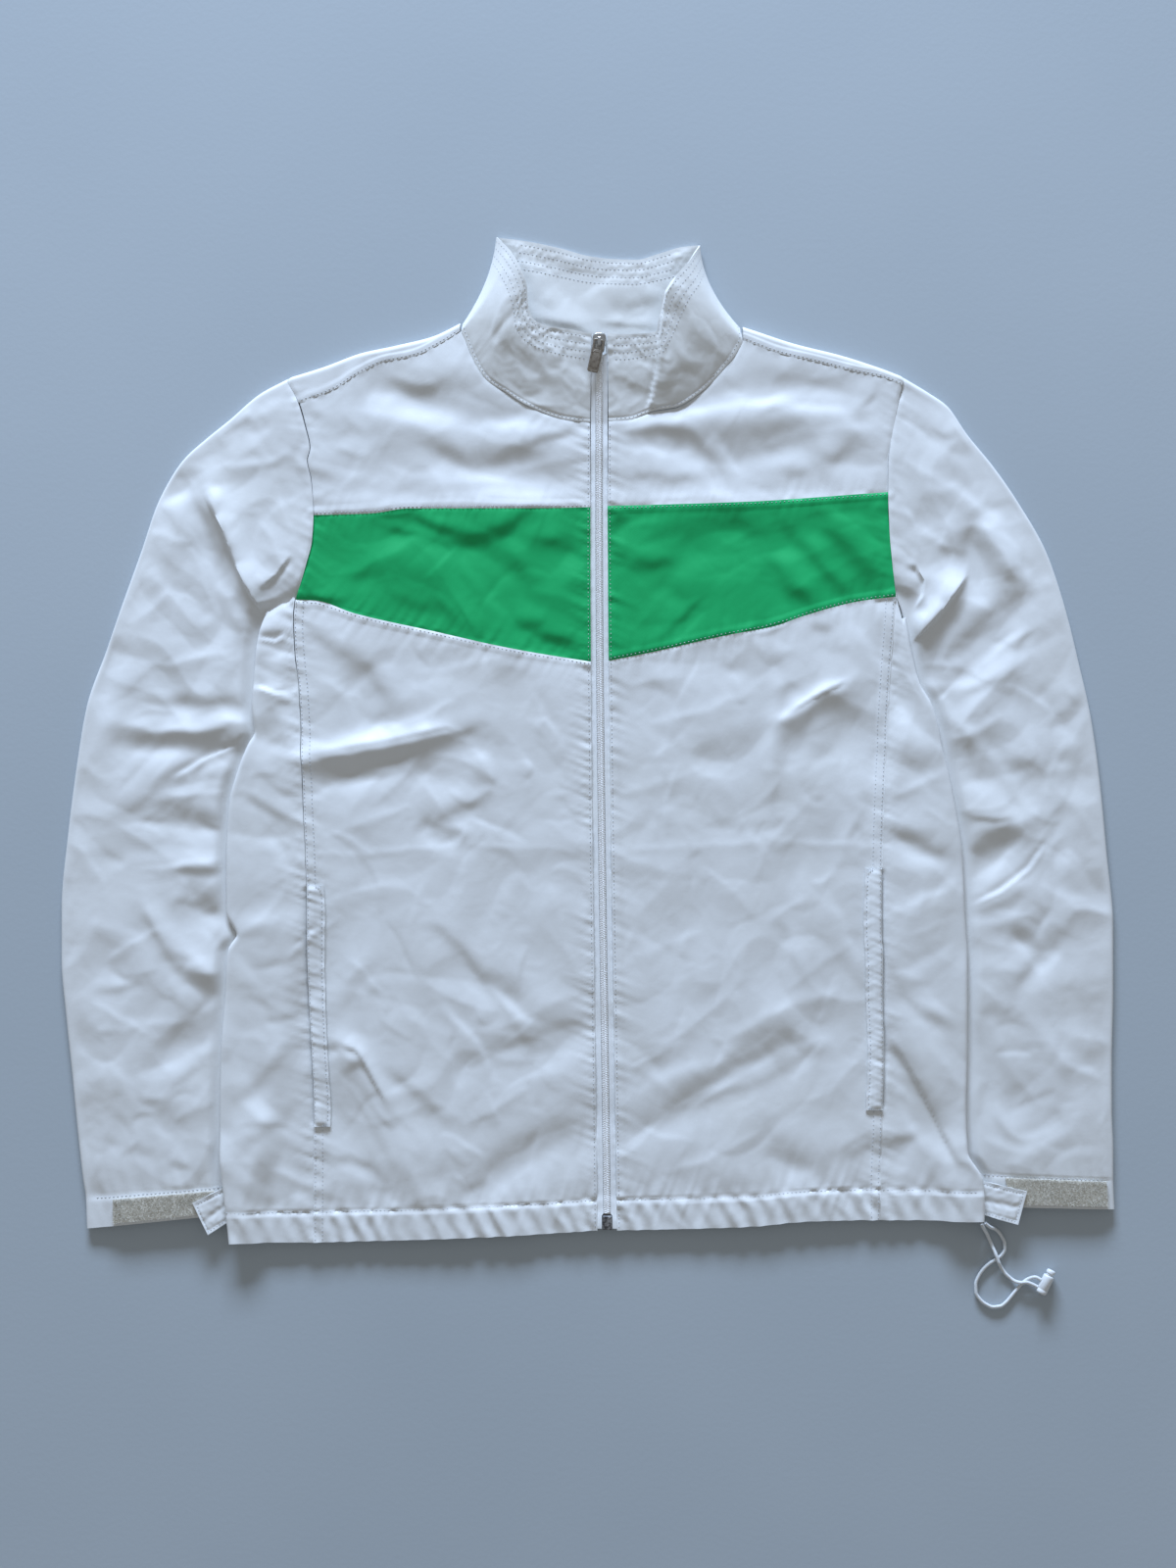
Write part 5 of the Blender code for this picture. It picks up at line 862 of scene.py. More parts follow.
COLLAR_SHADES = (
    # the wings and the front, outside
    (497, 300, 30, 12, -70, 1.2), (512, 345, 26, 10, 60, 1.6), (545, 372, 30, 9, 50, 1.6),
    (562, 352, 16, 7, 60, -1.0), (522, 322, 26, 7, 62, -1.0), (700, 330, 40, 14, 80, 1.6),
    (730, 330, 30, 10, 70, -1.0), (690, 385, 26, 12, -50, 1.4), (640, 392, 26, 9, 20, 1.2),
    (578, 398, 16, 7, 50, 1.2), (600, 380, 14, 8, 80, 0.8),
)
INSIDE_SHADES = (
    (528, 268, 22, 9, 60, 1.6), (696, 270, 20, 9, -60, 1.6), (650, 308, 30, 12, -10, 2.2),
    (572, 305, 40, 14, 40, -1.8), (590, 276, 20, 8, 10, 1.2), (552, 272, 18, 8, 20, -1.0),
    (575, 334, 30, 5, 14, 1.8), (640, 334, 30, 5, 4, 1.4), (614, 292, 20, 8, -30, -1.2),
)


def shades(x, y, table):
    """The height of rounded folds: each falls or rises across its width and dies away beyond it."""
    total = np.zeros(x.shape)
    for middle_x, middle_y, half_length, half_width, turn, fall in table:
        way_x, way_y = math.cos(math.radians(turn)), -math.sin(math.radians(turn))
        part_x, part_y = x - middle_x, y - middle_y
        near = np.hypot(part_x, part_y) < 3.0 * max(half_length, half_width)
        part_x, part_y = part_x[near], part_y[near]
        along_it = (part_x * way_x + part_y * way_y) / half_length
        across = (part_x * way_y - part_y * way_x) / half_width
        fade = np.exp(-np.abs(along_it) ** 3) * np.exp(-((across / 2.4) ** 2))
        total[near] -= 0.5 * fall * np.tanh(1.3 * across) * fade
    return total


# Folds whose edge lies over the cloth beside it: the edge's line in pixels of the photograph, the
# side of it that is higher (1 is its right), how high the edge stands, how far the height fades.
# Columns: line, high_side, height, reach.
SLEEVE_EDGES_RIGHT = (
    (((206, 500), (218, 520), (230, 548), (243, 582), (256, 606), (268, 626), (274, 636)), -1, 3.0, 13),
    (((300, 566), (284, 588), (266, 604)), 1, 1.4, 8),
    (((250, 758), (214, 772), (176, 796)), -1, 1.3, 9),
)
SLEEVE_EDGES_LEFT = (
    (((990, 584), (972, 608), (956, 629), (940, 646), (926, 660)), 1, 2.8, 13),
    (((919, 578), (932, 580), (941, 594), (940, 608), (930, 624)), -1, 1.6, 8),
    (((984, 926), (1020, 908), (1048, 886), (1068, 856)), 1, 1.3, 9),
)
BODY_EDGES = (
    (((798, 732), (826, 714), (866, 694)), -1, 0.9, 9),
    (((314, 770), (396, 756), (456, 743), (480, 752)), -1, 0.5, 11),
    (((904, 1052), (930, 1096), (952, 1138), (976, 1188)), -1, 1.3, 9),
    (((296, 646), (282, 654), (264, 652)), -1, 1.2, 7),
    (((300, 706), (284, 708), (262, 700)), -1, 1.2, 7),
    (((342, 1062), (366, 1072), (380, 1098), (398, 1130)), -1, 1.0, 8),
)


def fold_edges(x, y, table):
    """The height of folds with a crisp edge on one side, from lines in millimetres."""
    total = np.zeros(x.shape)
    for line, high_side, height, reach in table:
        low, high = np.min(line, axis=0) - 4 * reach, np.max(line, axis=0) + 4 * reach
        near = (x > low[0]) & (x < high[0]) & (y > low[1]) & (y < high[1])
        if not near.any():
            continue
        away, run, where = beside(x[near], y[near], line)
        signed = away * where * high_side
        length = float(np.sum(np.linalg.norm(np.diff(line, axis=0), axis=1)))
        ends = ease(run / (0.3 * length)) * ease((length - run) / (0.2 * length))
        step = ease((signed + 1.2) / 2.4) * np.exp(-np.maximum(signed, 0) / reach)
        tucked = -0.4 * np.exp(-(((np.minimum(signed, 0) + 2.0) / 3.0) ** 2)) * (signed < 0)
        total[near] += height * (step + tucked) * ends
    return total


def bent(x, y):
    """Places moved a little, so that no fold keeps an even outline."""
    return x + 2.4 * noise(x / 21, y / 21, 131), y + 2.4 * noise(x / 21 + 7, y / 21, 132)


def in_frame(table):
    """The table with its places as millimetres of the frame."""
    return [(*photo(*row[:2]), *photo(*row[2:4]), *row[4:]) for row in table]


def shades_in_frame(table):
    """The table of rounded folds with its places and sizes as millimetres of the frame."""
    return [(*photo(*row[:2]), row[2] * PIXEL, row[3] * PIXEL, *row[4:]) for row in table]


BODY_CREASES = in_frame(BODY_CREASES)
def edges_in_frame(table):
    """The table of folds with an edge, its lines as millimetres of the frame."""
    return [(np.array([photo(*spot) for spot in row[0]]), *row[1:]) for row in table]


BODY_EDGES = edges_in_frame(BODY_EDGES)
SLEEVE_EDGES = {"right": edges_in_frame(SLEEVE_EDGES_RIGHT), "left": edges_in_frame(SLEEVE_EDGES_LEFT)}
BODY_SHADES = shades_in_frame(BODY_SHADES)
COLLAR_SHADES = shades_in_frame(COLLAR_SHADES)
INSIDE_SHADES = shades_in_frame(INSIDE_SHADES)
SLEEVE_SHADES = {
    "right": shades_in_frame(SLEEVE_SHADES_RIGHT), "left": shades_in_frame(SLEEVE_SHADES_LEFT),
}
SLEEVE_CREASES = {"right": in_frame(SLEEVE_CREASES_RIGHT), "left": in_frame(SLEEVE_CREASES_LEFT)}


def fine_creases(count, box, lean, spread, seed):
    """Many short crisp creases inside a box, which lean to about the same angle in degrees."""
    random = np.random.default_rng(seed)
    table = []
    for _ in range(count):
        x, y = random.uniform(box[0], box[2]), random.uniform(box[1], box[3])
        length, turn = random.uniform(16, 62), math.radians(lean + random.normal(0, spread))
        reach = (length * math.cos(turn), length * math.sin(turn))
        height = random.choice((-1, 1)) * random.uniform(0.22, 0.6)
        widths = random.uniform(1.6, 3.5), random.uniform(5, 11)
        if random.random() < 0.5:
            widths = widths[::-1]
        table.append((x, y, x + reach[0], y + reach[1], random.uniform(-5, 5), height, *widths))
    return table


FINE_CREASES = (
    fine_creases(46, (-212, -340, 0, 90), 100, 34, 21)
    + fine_creases(46, (20, -340, 228, 90), 82, 34, 22)
    + fine_creases(26, (-214, 80, 230, 290), 20, 40, 23)
    + fine_creases(16, (-284, -340, -222, 60), 20, 30, 24)
    + fine_creases(16, (238, -340, 296, 60), 160, 30, 25)
)
FINE_SLEEVE_CREASES = {
    "right": fine_creases(64, (-400, -340, -245, 250), 25, 40, 26),
    "left": fine_creases(64, (250, -330, 400, 250), 150, 40, 27),
}


HEM_SINK = 0.9  # how much flatter the casing is than its solid
POCKET_Y = {"right": (-114.0, -303.0), "left": (-101.0, -290.0)}


def pocket_gap(x, y):
    """The openings of the side pockets: a narrow trough along each side seam beside the welt."""
    total = np.zeros(x.shape)
    for side in ("right", "left"):
        top_y, low_y = POCKET_Y[side]
        inside = ease((top_y - y) / 3) * ease((y - low_y) / 3)
        total += 1.6 * inside * np.exp(-(((x - SEAM[side](y)) / 1.5) ** 2))
    return total


def body_top(x, y):
    """The height of the dressed fronts."""
    lift = body_lift(x, y)
    flat = 1 - ease((hem_y(x) + HEM_DEPTH + 4 - y) / 8)
    bent_x, bent_y = bent(x, y)
    relief = 0.7 * creases(bent_x, bent_y, BODY_CREASES) + creases(bent_x, bent_y, FINE_CREASES)
    relief += shades(bent_x, bent_y, BODY_SHADES) + fold_edges(x, y, BODY_EDGES)
    relief *= flat
    relief += (0.75 * crumple(x, y, 58, 11) + 0.9 * noise(x / 46, y / 60, 12)) * (0.3 + 0.7 * flat)
    relief += 0.09 * crumple(x, y, 17, 13)
    relief += sewing(x, y) + hem_gathers(x, y) - pocket_gap(x, y) - HEM_SINK * (1 - flat)
    ripple = np.sin(x / 5.2 + 2.2 * noise(x / 60, y / 90, 14)) * ease((-60 - y) / 60) * flat
    relief += 0.22 * ripple * (0.5 + 0.5 * noise(x / 50, y / 80, 15))
    return lift + soft_least(front_z(x, y) - lift + relief, LAYER_LIFT - 0.4)


def dress(name, points, faces, look, nodes=(), body="jacket", slot_of=None, sharp=50):
    """A mesh piece from points in millimetres that rides on a body and stands for CAD nodes."""
    mesh = bpy.data.meshes.new(name)
    points = np.asarray(points, float) * MM
    mesh.from_pydata(points.tolist(), [], [list(map(int, f)) for f in faces])
    mesh.materials.append(look)
    mesh.shade_smooth()
    if sharp:
        mesh.set_sharp_from_angle(angle=math.radians(sharp))
    piece = bpy.data.objects.new(name, mesh)
    bpy.context.scene.collection.objects.link(piece)
    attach(piece, body)
    if nodes:
        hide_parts(*nodes)
    if nodes or slot_of:
        slot_of or nodes[0]
    return piece


def grid(rows, columns, closed=False):
    """The faces of a grid of points, as an array of cells with four corners."""
    a = np.arange(rows * columns).reshape(rows, columns)
    b = np.roll(a, -1, axis=1) if closed else a[:, 1:]
    a = a if closed else a[:, :-1]
    return np.stack([a[:-1], b[:-1], b[1:], a[1:]], axis=-1)


def grid_normals(points, closed=False):
    if closed:
        across = np.roll(points, -1, axis=1) - np.roll(points, 1, axis=1)
    else:
        across = np.gradient(points, axis=1)
    down = np.gradient(points, axis=0)
    normal = np.cross(down, across)
    return normal / np.maximum(np.linalg.norm(normal, axis=2), 1e-9)[:, :, None]


def shell(points, thick, up=1, keep=3, closed=False):
    """A thin wall over a grid: its outer skin, its rims, and its inner skin near the open edges.

    up says which way the outer skin faces at the grid's middle row, near its first column.
    """
    points = np.asarray(points, float)
    rows, columns = points.shape[:2]
    normal = grid_normals(points, closed)
    turned = normal[rows // 2, 2, 2] * up < 0
    if turned:
        normal = -normal
    inner = points - normal * (thick if np.isscalar(thick) else thick[..., None])
    cells = grid(rows, columns, closed)
    if not turned:
        cells = cells[..., ::-1]
    near = np.zeros(cells.shape[:2], bool)
    near[:keep] = near[-keep:] = True
    if not closed:
        near[:, :keep] = near[:, -keep:] = True
    count = rows * columns
    faces = cells.reshape(-1, 4).tolist()
    faces += (cells[near][:, ::-1] + count).tolist()
    spots = np.arange(count).reshape(rows, columns)
    edges = [spots[0], spots[-1][::-1]]
    if closed:
        edges = [np.append(e, e[0]) for e in edges]
    else:
        edges += [spots[::-1, 0], spots[:, -1]]
    for edge in edges:
        for a, b in zip(edge[:-1], edge[1:]):
            rim = [a, b, b + count, a + count]
            faces.append(rim if not turned else rim[::-1])
    every = np.concatenate([points.reshape(-1, 3), inner.reshape(-1, 3)])
    used, number = np.unique(np.concatenate([np.ravel(f) for f in faces]), return_inverse=True)
    return every[used], number.reshape(-1, 4)


def joined(parts):
    """Several (points, faces) as one."""
    points, faces, start = [], [], 0
    for some_points, some_faces in parts:
        points.append(np.asarray(some_points, float))
        faces += [[i + start for i in f] for f in some_faces]
        start += len(some_points)
    return np.concatenate(points), faces


def resampled(line, count):
    """Points spaced evenly along a line, its corners kept as near as they come."""
    line = np.asarray(line, float)
    run = np.concatenate([[0], np.cumsum(np.linalg.norm(np.diff(line, axis=0), axis=1))])
    at = np.linspace(0, run[-1], count)
    return np.column_stack([np.interp(at, run, line[:, k]) for k in range(line.shape[1])])


# ---- the panels of the front -------------------------------------------------------------------
SIDE_TOP_GAP = 0.3  # between the top of a side panel and the sleeve
SIDE_TOP_DROP = {"right": 13.5, "left": 21.0}  # how much lower a side panel ends at its fold
SIDE_TOP_REACH = 90.0
TUCK, TUCK_DROP = 4.0, 1.6
WELT_WIDTH = 14.0
STEP = 2.0  # the size of the cells of the visible cloth
VISIBLE_WALL = 0.9


def count_for(length, step=STEP):
    return max(4, int(round(length / step)))


def line_length(points):
    points = np.asarray(points, float)
    return float(np.sum(np.linalg.norm(np.diff(points, axis=0), axis=1)))


def top_line(side):
    """The yoke's upper edge: the shoulder seam and then the neck seam."""
    neck = LINES[f"neck_{side}"]
    shoulder = LINES[f"shoulder_{side}"].copy()
    shoulder[-1] = neck[0]
    first = resampled(shoulder, count_for(line_length(shoulder)) + 1)
    second = resampled(neck, count_for(line_length(neck)) + 1)
    return np.concatenate([first[:-1], second])


def down_edge(curve, y_from, y_to, count):
    y = np.linspace(y_from, y_to, count)
    return np.column_stack([curve(y), y])


def closed_up(edge, start, end):
    """The edge with its ends moved onto the corners, and the points between them after them."""
    t = np.linspace(0, 1, len(edge))[:, None]
    return edge + mix(start - edge[0], end - edge[-1], t)


def front_sheet(name, rows, look, flat, area):
    x, y = rows[..., 0], rows[..., 1]
    z = body_top(x, y)
    points = np.dstack([x, y, z])
    thick = wall_at(x, y) * VISIBLE_WALL
    piece = dress(name + "_cloth", *shell(points, thick), look, (name,))
    return points


def build_fronts(side, looks):
    """The yoke, the chest band and the lower front of one side."""
    top = top_line(side)
    share = (top[:, 0] - top[0, 0]) / (top[-1, 0] - top[0, 0])
    share = mix(share, np.linspace(0, 1, len(share)), 0.5)
    corner_top, corner_low = (np.array(c, float) for c in CORNERS[side])

    def across(start, curve, end_y):
        x = mix(start[0], zip_edge(side, end_y), share)
        line = np.column_stack([x, curve(x)])
        line[0] = start
        return line

    upper = across(corner_top, BAND[side][0], BAND_TOP_Y)
    lower = across(corner_low, BAND[side][1], BAND_LOW_Y)
    hem_x = mix(float(SEAM[side](HEM_CORNER_Y[side])), zip_edge(side, ZIP_HEM_Y), share)
    hem = np.column_stack([hem_x, hem_y(hem_x)])

    def zip_line(start, end, count):
        y = np.linspace(start[1], end[1], count)
        return closed_up(np.column_stack([zip_edge(side, y), y]), start, end)

    made = {}
    for name, a, b, curve, look, flat, area in (
        ("yoke", top, upper, ARM[side], "cloth", (0.235, 0.150), 0.0235),
        ("chest_band", upper, lower, ARM[side], "green", (0.235, 0.125), 0.0215),
        ("front", lower, hem, SEAM[side], "cloth", (0.235, 0.520), 0.1090),
    ):
        count = count_for(max(line_length([a[0], b[0]]), line_length([a[-1], b[-1]]))) + 1
        outer_edge = closed_up(down_edge(curve, a[0, 1], b[0, 1], count), a[0], b[0])
        rows = patch(a, b, outer_edge, zip_line(a[-1], b[-1], count))
        made[name] = front_sheet(f"{name}_{side}", rows, looks[look], flat, area)
    return made


def build_side_panel(side, looks):
    """From the front seam round the side fold and back under to the back seam."""
    sign = SIGN[side]
    corner_x = float(SEAM[side](HEM_CORNER_Y[side]))
    seam_y = np.linspace(CORNERS[side][1][1], float(hem_y(np.array(corner_x))), 240)
    seam_line = np.column_stack([SEAM[side](seam_y), seam_y])
    seam_line[0, 1] -= SIDE_TOP_GAP
    drop = SIDE_TOP_DROP[side] * (1 - ease((seam_y[0] - seam_y) / SIDE_TOP_REACH))
    hem_drop = float(hem_y(np.array(sign * 270.0))) - seam_y[-1]
    fold_y = seam_y - drop + hem_drop * ease((seam_y[-1] + HEM_DEPTH - seam_y) / HEM_DEPTH)
    fold_line = np.column_stack([FOLD[side](fold_y) - sign * FOLD_NOSE, fold_y])
    tangent = np.gradient(fold_line, axis=0)
    outward = np.column_stack([-tangent[:, 1], tangent[:, 0]]) * sign
    outward /= np.linalg.norm(outward, axis=1)[:, None]
    across = np.linspace(0, 1, 34)[None, :, None]
    row = mix(seam_line[:, None], fold_line[:, None], across)
    x, y = row[..., 0], row[..., 1]
    upper, lower = body_top(x, y), body_lift(x, y)
    points = [np.dstack([x, y, upper])]
    middle, half = (upper[:, -1] + lower[:, -1]) / 2, (upper[:, -1] - lower[:, -1]) / 2
    for angle in (68, 45, 22, 0, -22, -45, -68):
        out, up = math.cos(math.radians(angle)), math.sin(math.radians(angle))
        ring = np.column_stack([fold_line + outward * FOLD_NOSE * out, middle + half * up])
        points.append(ring[:, None])
    under = row[:, ::-4]
    points.append(np.dstack([under, body_lift(under[..., 0], under[..., 1])]))
    points = np.concatenate(points, axis=1)
    # the panel's top edge is tucked in under the sleeve's
    tuck = points[:1] + np.array([0, TUCK, -TUCK_DROP])
    tuck[..., 2] = np.maximum(tuck[..., 2], 0.4)
    points = np.concatenate([tuck, points])
    name = f"side_panel_{side}"
    piece = dress(name + "_cloth", *shell(points, VISIBLE_WALL), looks["cloth"], (name,))
    return points


# ---- the sleeves -------------------------------------------------------------------------------
def build_sleeve(side, looks):
    """A flattened tube through the record's sections, open at the armhole and at the cuff."""
    sign = SIGN[side]
    table = np.array(SLEEVE_RIGHT if sign < 0 else SLEEVE_LEFT, float)
    fold_table = SLEEVE_FOLDS_RIGHT if sign < 0 else SLEEVE_FOLDS_LEFT
    rise = rise_right if sign < 0 else rise_left
    number = np.arange(len(table))
    # near the underarm the inner fold comes right up to the body's
    body_fold = FOLD[side](table[:, 3]) - sign * 1.0
    beside_body = (table[:, 3] < 100) & ((table[:, 2] - body_fold) * sign > 0)
    table[:, 2] = np.where(beside_body, body_fold, table[:, 2])
    # as many rows between two sections as the longer of the ways between their ends needs
    ways = [max(line_length(table[i : i + 2, :2]), line_length(table[i : i + 2, 2:])) for i in number[:-1]]
    steps = np.concatenate([[0], np.cumsum(ways)])
    at_k = np.interp(np.linspace(0, steps[-1], count_for(steps[-1], 2.1) + 1), steps, number)
    sections = np.column_stack(
        [through(np.column_stack([number, table[:, c]]))(at_k) for c in range(4)]
    )
    shoulder_y, under_y = table[0, 1] - SHOULDER_NOSE, table[0, 3] + SLEEVE_NOSE
    stations = np.linspace(shoulder_y, under_y, 80)
    share = (table[0, 1] - stations) / (table[0, 1] - table[0, 3])
    chord = mix(table[0, :2][None], table[0, 2:][None], share[:, None])
    armhole = np.column_stack([ARM[side](stations), stations])
    bulge = armhole - chord
    rows = []
    for k, (outer_x, outer_y, inner_x, inner_y) in zip(at_k, sections):
        start, end = np.array([outer_x, outer_y]), np.array([inner_x, inner_y])
        width = np.linalg.norm(end - start)
        way = (end - start) / width
        out_reach = mix(SHOULDER_NOSE, SLEEVE_NOSE, float(ease(k / 3)))
        first, last = out_reach / width, 1 - SLEEVE_NOSE / width
        at = mix(first, last, (share - share[0]) / (share[-1] - share[0]))
        row = mix(start[None], end[None], at[:, None]) + bulge * ease(1 - k / 5)
        x, y = row[:, 0], row[:, 1]
        z = sleeve_z(x, y, at, width, rise, sign, fold_table)
        at_front = front_z(x, y) * ease((y - 118) / 30)
        z = mix(z, np.maximum(z, at_front), 1 - float(ease(k / 1.6)))
        from_body = (x - rise(y)) * sign * mix(1, 0.5, ease((y - 85) / 20))
        free = ease((from_body - RISE_START) / RISE_REACH)
        in_cuff = ease((k - 17.8) * 3) if k > 17.8 else 0.0
        bent_x, bent_y = bent(x, y)
        placed = 0.7 * creases(bent_x, bent_y, SLEEVE_CREASES[side])
        placed += creases(bent_x, bent_y, FINE_SLEEVE_CREASES[side])
        placed += shades(bent_x, bent_y, SLEEVE_SHADES[side]) + fold_edges(x, y, SLEEVE_EDGES[side])
        relief = placed * (1 - in_cuff)
        relief += (0.9 * crumple(x, y, 55, 41) + 1.1 * noise(x / 48, y / 42, 42)) * (1 - 0.7 * in_cuff)
        relief += 0.10 * crumple(x, y, 17, 43)
        relief += sewing(x, y) * ease(1.6 - k / 4)
        cuff_away = (18 - k) * 14
        lean = noise((x + 0.3 * y) / 9.0, y / 70.0, 44)
        relief += 1.0 * lean * np.exp(-abs(cuff_away) / 16)
        relief -= 0.5 * math.exp(-((cuff_away / 1.6) ** 2))
        fade = ease(np.minimum(at, 1 - at) * width / 7)
        z = z + (soft_least(z + relief * fade, LAYER_LIFT - 0.2) - z) * free
        upper = np.column_stack([row, z])
        below = row[::-7]
        points = [upper]
        for at_end, reach, order in ((row[-1], SLEEVE_NOSE, 1), (row[0], out_reach, -1)):
            half = (z[-1] if order > 0 else z[0]) / 2
            angles = np.array((66, 40, 14, -14, -40, -66)) * order
            if order < 0:
                points.append(np.column_stack([below, np.zeros(len(below))]))
            turned = np.radians(angles)
            ring = at_end[None] + (way * order)[None] * reach * np.cos(turned)[:, None]
            points.append(np.column_stack([ring, half + half * np.sin(turned)]))
        rows.append(np.concatenate(points))
    rows = np.array(rows)
    name = f"sleeve_{side}"
    mesh = shell(rows, VISIBLE_WALL, closed=True)
    piece = dress(name + "_cloth", *mesh, looks["cloth"], (name,))
    upper = rows[:, : len(stations)]
    return upper, at_k


# ---- the back and the collar -------------------------------------------------------------------
def back_outline(side):
    sign = SIGN[side]
    table = SLEEVE_RIGHT if sign < 0 else SLEEVE_LEFT
    shoulder_y, under_y = table[0][1] - SHOULDER_NOSE, table[0][3] + SLEEVE_NOSE
    arm_y = np.linspace(shoulder_y, under_y, 40)
    side_y = np.linspace(under_y, HEM_CORNER_Y[side], 60)[1:]
    edge = np.concatenate([
        np.column_stack([ARM[side](arm_y), arm_y]),
        np.column_stack([SEAM[side](side_y), side_y]),
    ])
    return edge - np.array([sign * SEAM_GAP / 2, 0])


def build_back(looks):
    edge_right, edge_left = back_outline("right"), back_outline("left")
    parts = []
    neck = np.array([(row[0], row[1] - SEAM_GAP) for row in COLLAR if row[2] == 0], float)
    shoulder = {}
    for side, edge, fold_table in (
        ("right", edge_right, SHOULDER_FOLD_RIGHT),
        ("left", edge_left, SHOULDER_FOLD_LEFT),
    ):
        seam_end = LINES[f"shoulder_{side}"][-1, 0] + SIGN[side] * SEAM_GAP
        x = np.linspace(edge[0, 0], seam_end, 64)
        line = np.column_stack([x, through(fold_table)(x) - SHOULDER_NOSE])
        line[0] = edge[0]
        shoulder[side] = line
    top = np.concatenate([shoulder["right"], resampled(neck, 40), shoulder["left"][::-1]])
    share = (top[:, 0] - top[0, 0]) / (top[-1, 0] - top[0, 0])
    bottom_x = mix(edge_right[-1, 0], edge_left[-1, 0], share)
    bottom = np.column_stack([bottom_x, hem_y(bottom_x) + 1.0])
    edge_right[-1], edge_left[-1] = bottom[0], bottom[-1]
    flat = patch(top, bottom, edge_right, edge_left)
    flat = np.dstack([flat, body_lift(flat[..., 0], flat[..., 1])])
    parts.append(shell(flat, VISIBLE_WALL, up=-1))
    up = np.array([0.0, 1.0])
    for side in ("right", "left"):
        sign = SIGN[side]
        start = shoulder[side]
        height = body_top(start[:, 0], start[:, 1])
        rows = [np.column_stack([start, np.zeros(len(start))])]
        for angle in (-66, -40, -14, 14, 40, 66):
            out, rise = math.cos(math.radians(angle)), math.sin(math.radians(angle))
            rows.append(np.column_stack([start + up * SHOULDER_NOSE * out, height / 2 * (1 + rise)]))
        seam = resampled(LINES[f"shoulder_{side}"], 200)
        seam_y = np.interp(start[:, 0], *seam[np.argsort(seam[:, 0])].T) + SEAM_GAP / 2
        for t in np.linspace(0, 1, 11):
            y = mix(start[:, 1], seam_y, t)
            x = start[:, 0].copy()
            slide = ease(1 - np.abs(x - x[0]) / 24)
            x += (ARM[side](y) - sign * SEAM_GAP / 2 - x[0]) * slide
            rows.append(np.column_stack([x, y, body_top(x, y)]))
        parts.append(shell(np.array(rows), VISIBLE_WALL, keep=4))
    piece = dress("back_cloth", *joined(parts), looks["cloth"], ("back",))


def collar_grid(columns=300, rows=60):
    """The collar's points, closest together at its seam and its top edge."""
    table = [list(row) for row in COLLAR]
    for row in table:
        if row[2] is ON_FRONT:
            row[2] = float(front_z(np.array(row[0]), np.array(row[1])))
    lying = np.array([row[2] is ON_FRONT for row in COLLAR])
    table = np.array(table, float)
    seam = table[:, :3].copy()
    step = np.gradient(seam[:, :2], axis=0)
    step /= np.linalg.norm(step, axis=1)[:, None]
    inward = np.column_stack([step[:, 1], -step[:, 0]])
    seam[:, :2] += np.where(lying[:, None], inward, 0) * SEAM_GAP * 0.6
    table[:, :3] = seam
    both = (table[:, :3] + table[:, 3:6]) / 2
    steps = np.concatenate([[0], np.cumsum(np.linalg.norm(np.diff(both, axis=0), axis=1) + 0.2)])
    at = np.interp(np.linspace(0, steps[-1], columns), steps, np.arange(len(table)))
    number = np.arange(len(table))
    smooth = np.column_stack([through(np.column_stack([number, table[:, c]]))(at) for c in range(9)])
    seam, top, middle = smooth[:, :3], smooth[:, 3:6], smooth[:, 6:]
    # the free edge stands up towards the peaks, where the wings are open widest
    near_peak = np.exp(-(((top[:, 1] - WING_RISE_Y) / 22.0) ** 2))
    top[:, 2] += WING_RISE * near_peak * ease((top[:, 2] - 5.5) / 4)
    t = np.linspace(0, 1, rows)
    v = mix(t, 0.5 - 0.5 * np.cos(math.pi * t), 0.6)[:, None, None]
    return mix(seam[None], top[None], v) + middle[None] * 4 * v * (1 - v), at, v[:, 0, 0]


WING_RISE, WING_RISE_Y = 5.5, 366.0
COLLAR_HIGH = 65.0
STITCH_ROWS = (3.0, 8.5, 14.0, 19.5)  # how far the collar's rows of stitching lie from its top edge
BAND_HIGH = 22.0
# The fold where the left wing lies over the front of the collar: its line in pixels of the
# photograph, from the opening down to the neck seam, and how high its edge stands.
WING_FOLD = ((690, 285), (678, 305), (674, 328), (672, 349), (670, 379), (661, 420))
WING_FOLD_HIGH = 2.8


def wing_fold(x, y):
    """A step along the fold's line: crisp on the front's side, dying away over the wing."""
    line = [photo(*spot) for spot in WING_FOLD]
    away, run, where = beside(x, y, line)
    signed = -away * where
    length = line_length(line)
    ends = ease(run / 12) * ease((length - run) / 10 + 0.35)
    step = ease((signed + 0.9) / 1.8) * np.exp(-np.maximum(signed, 0) / 16)
    tucked = -0.5 * np.exp(-((np.minimum(signed, 0) + 1.2) / 1.6) ** 2) * (signed < 0)
    return (WING_FOLD_HIGH * step + tucked) * ends


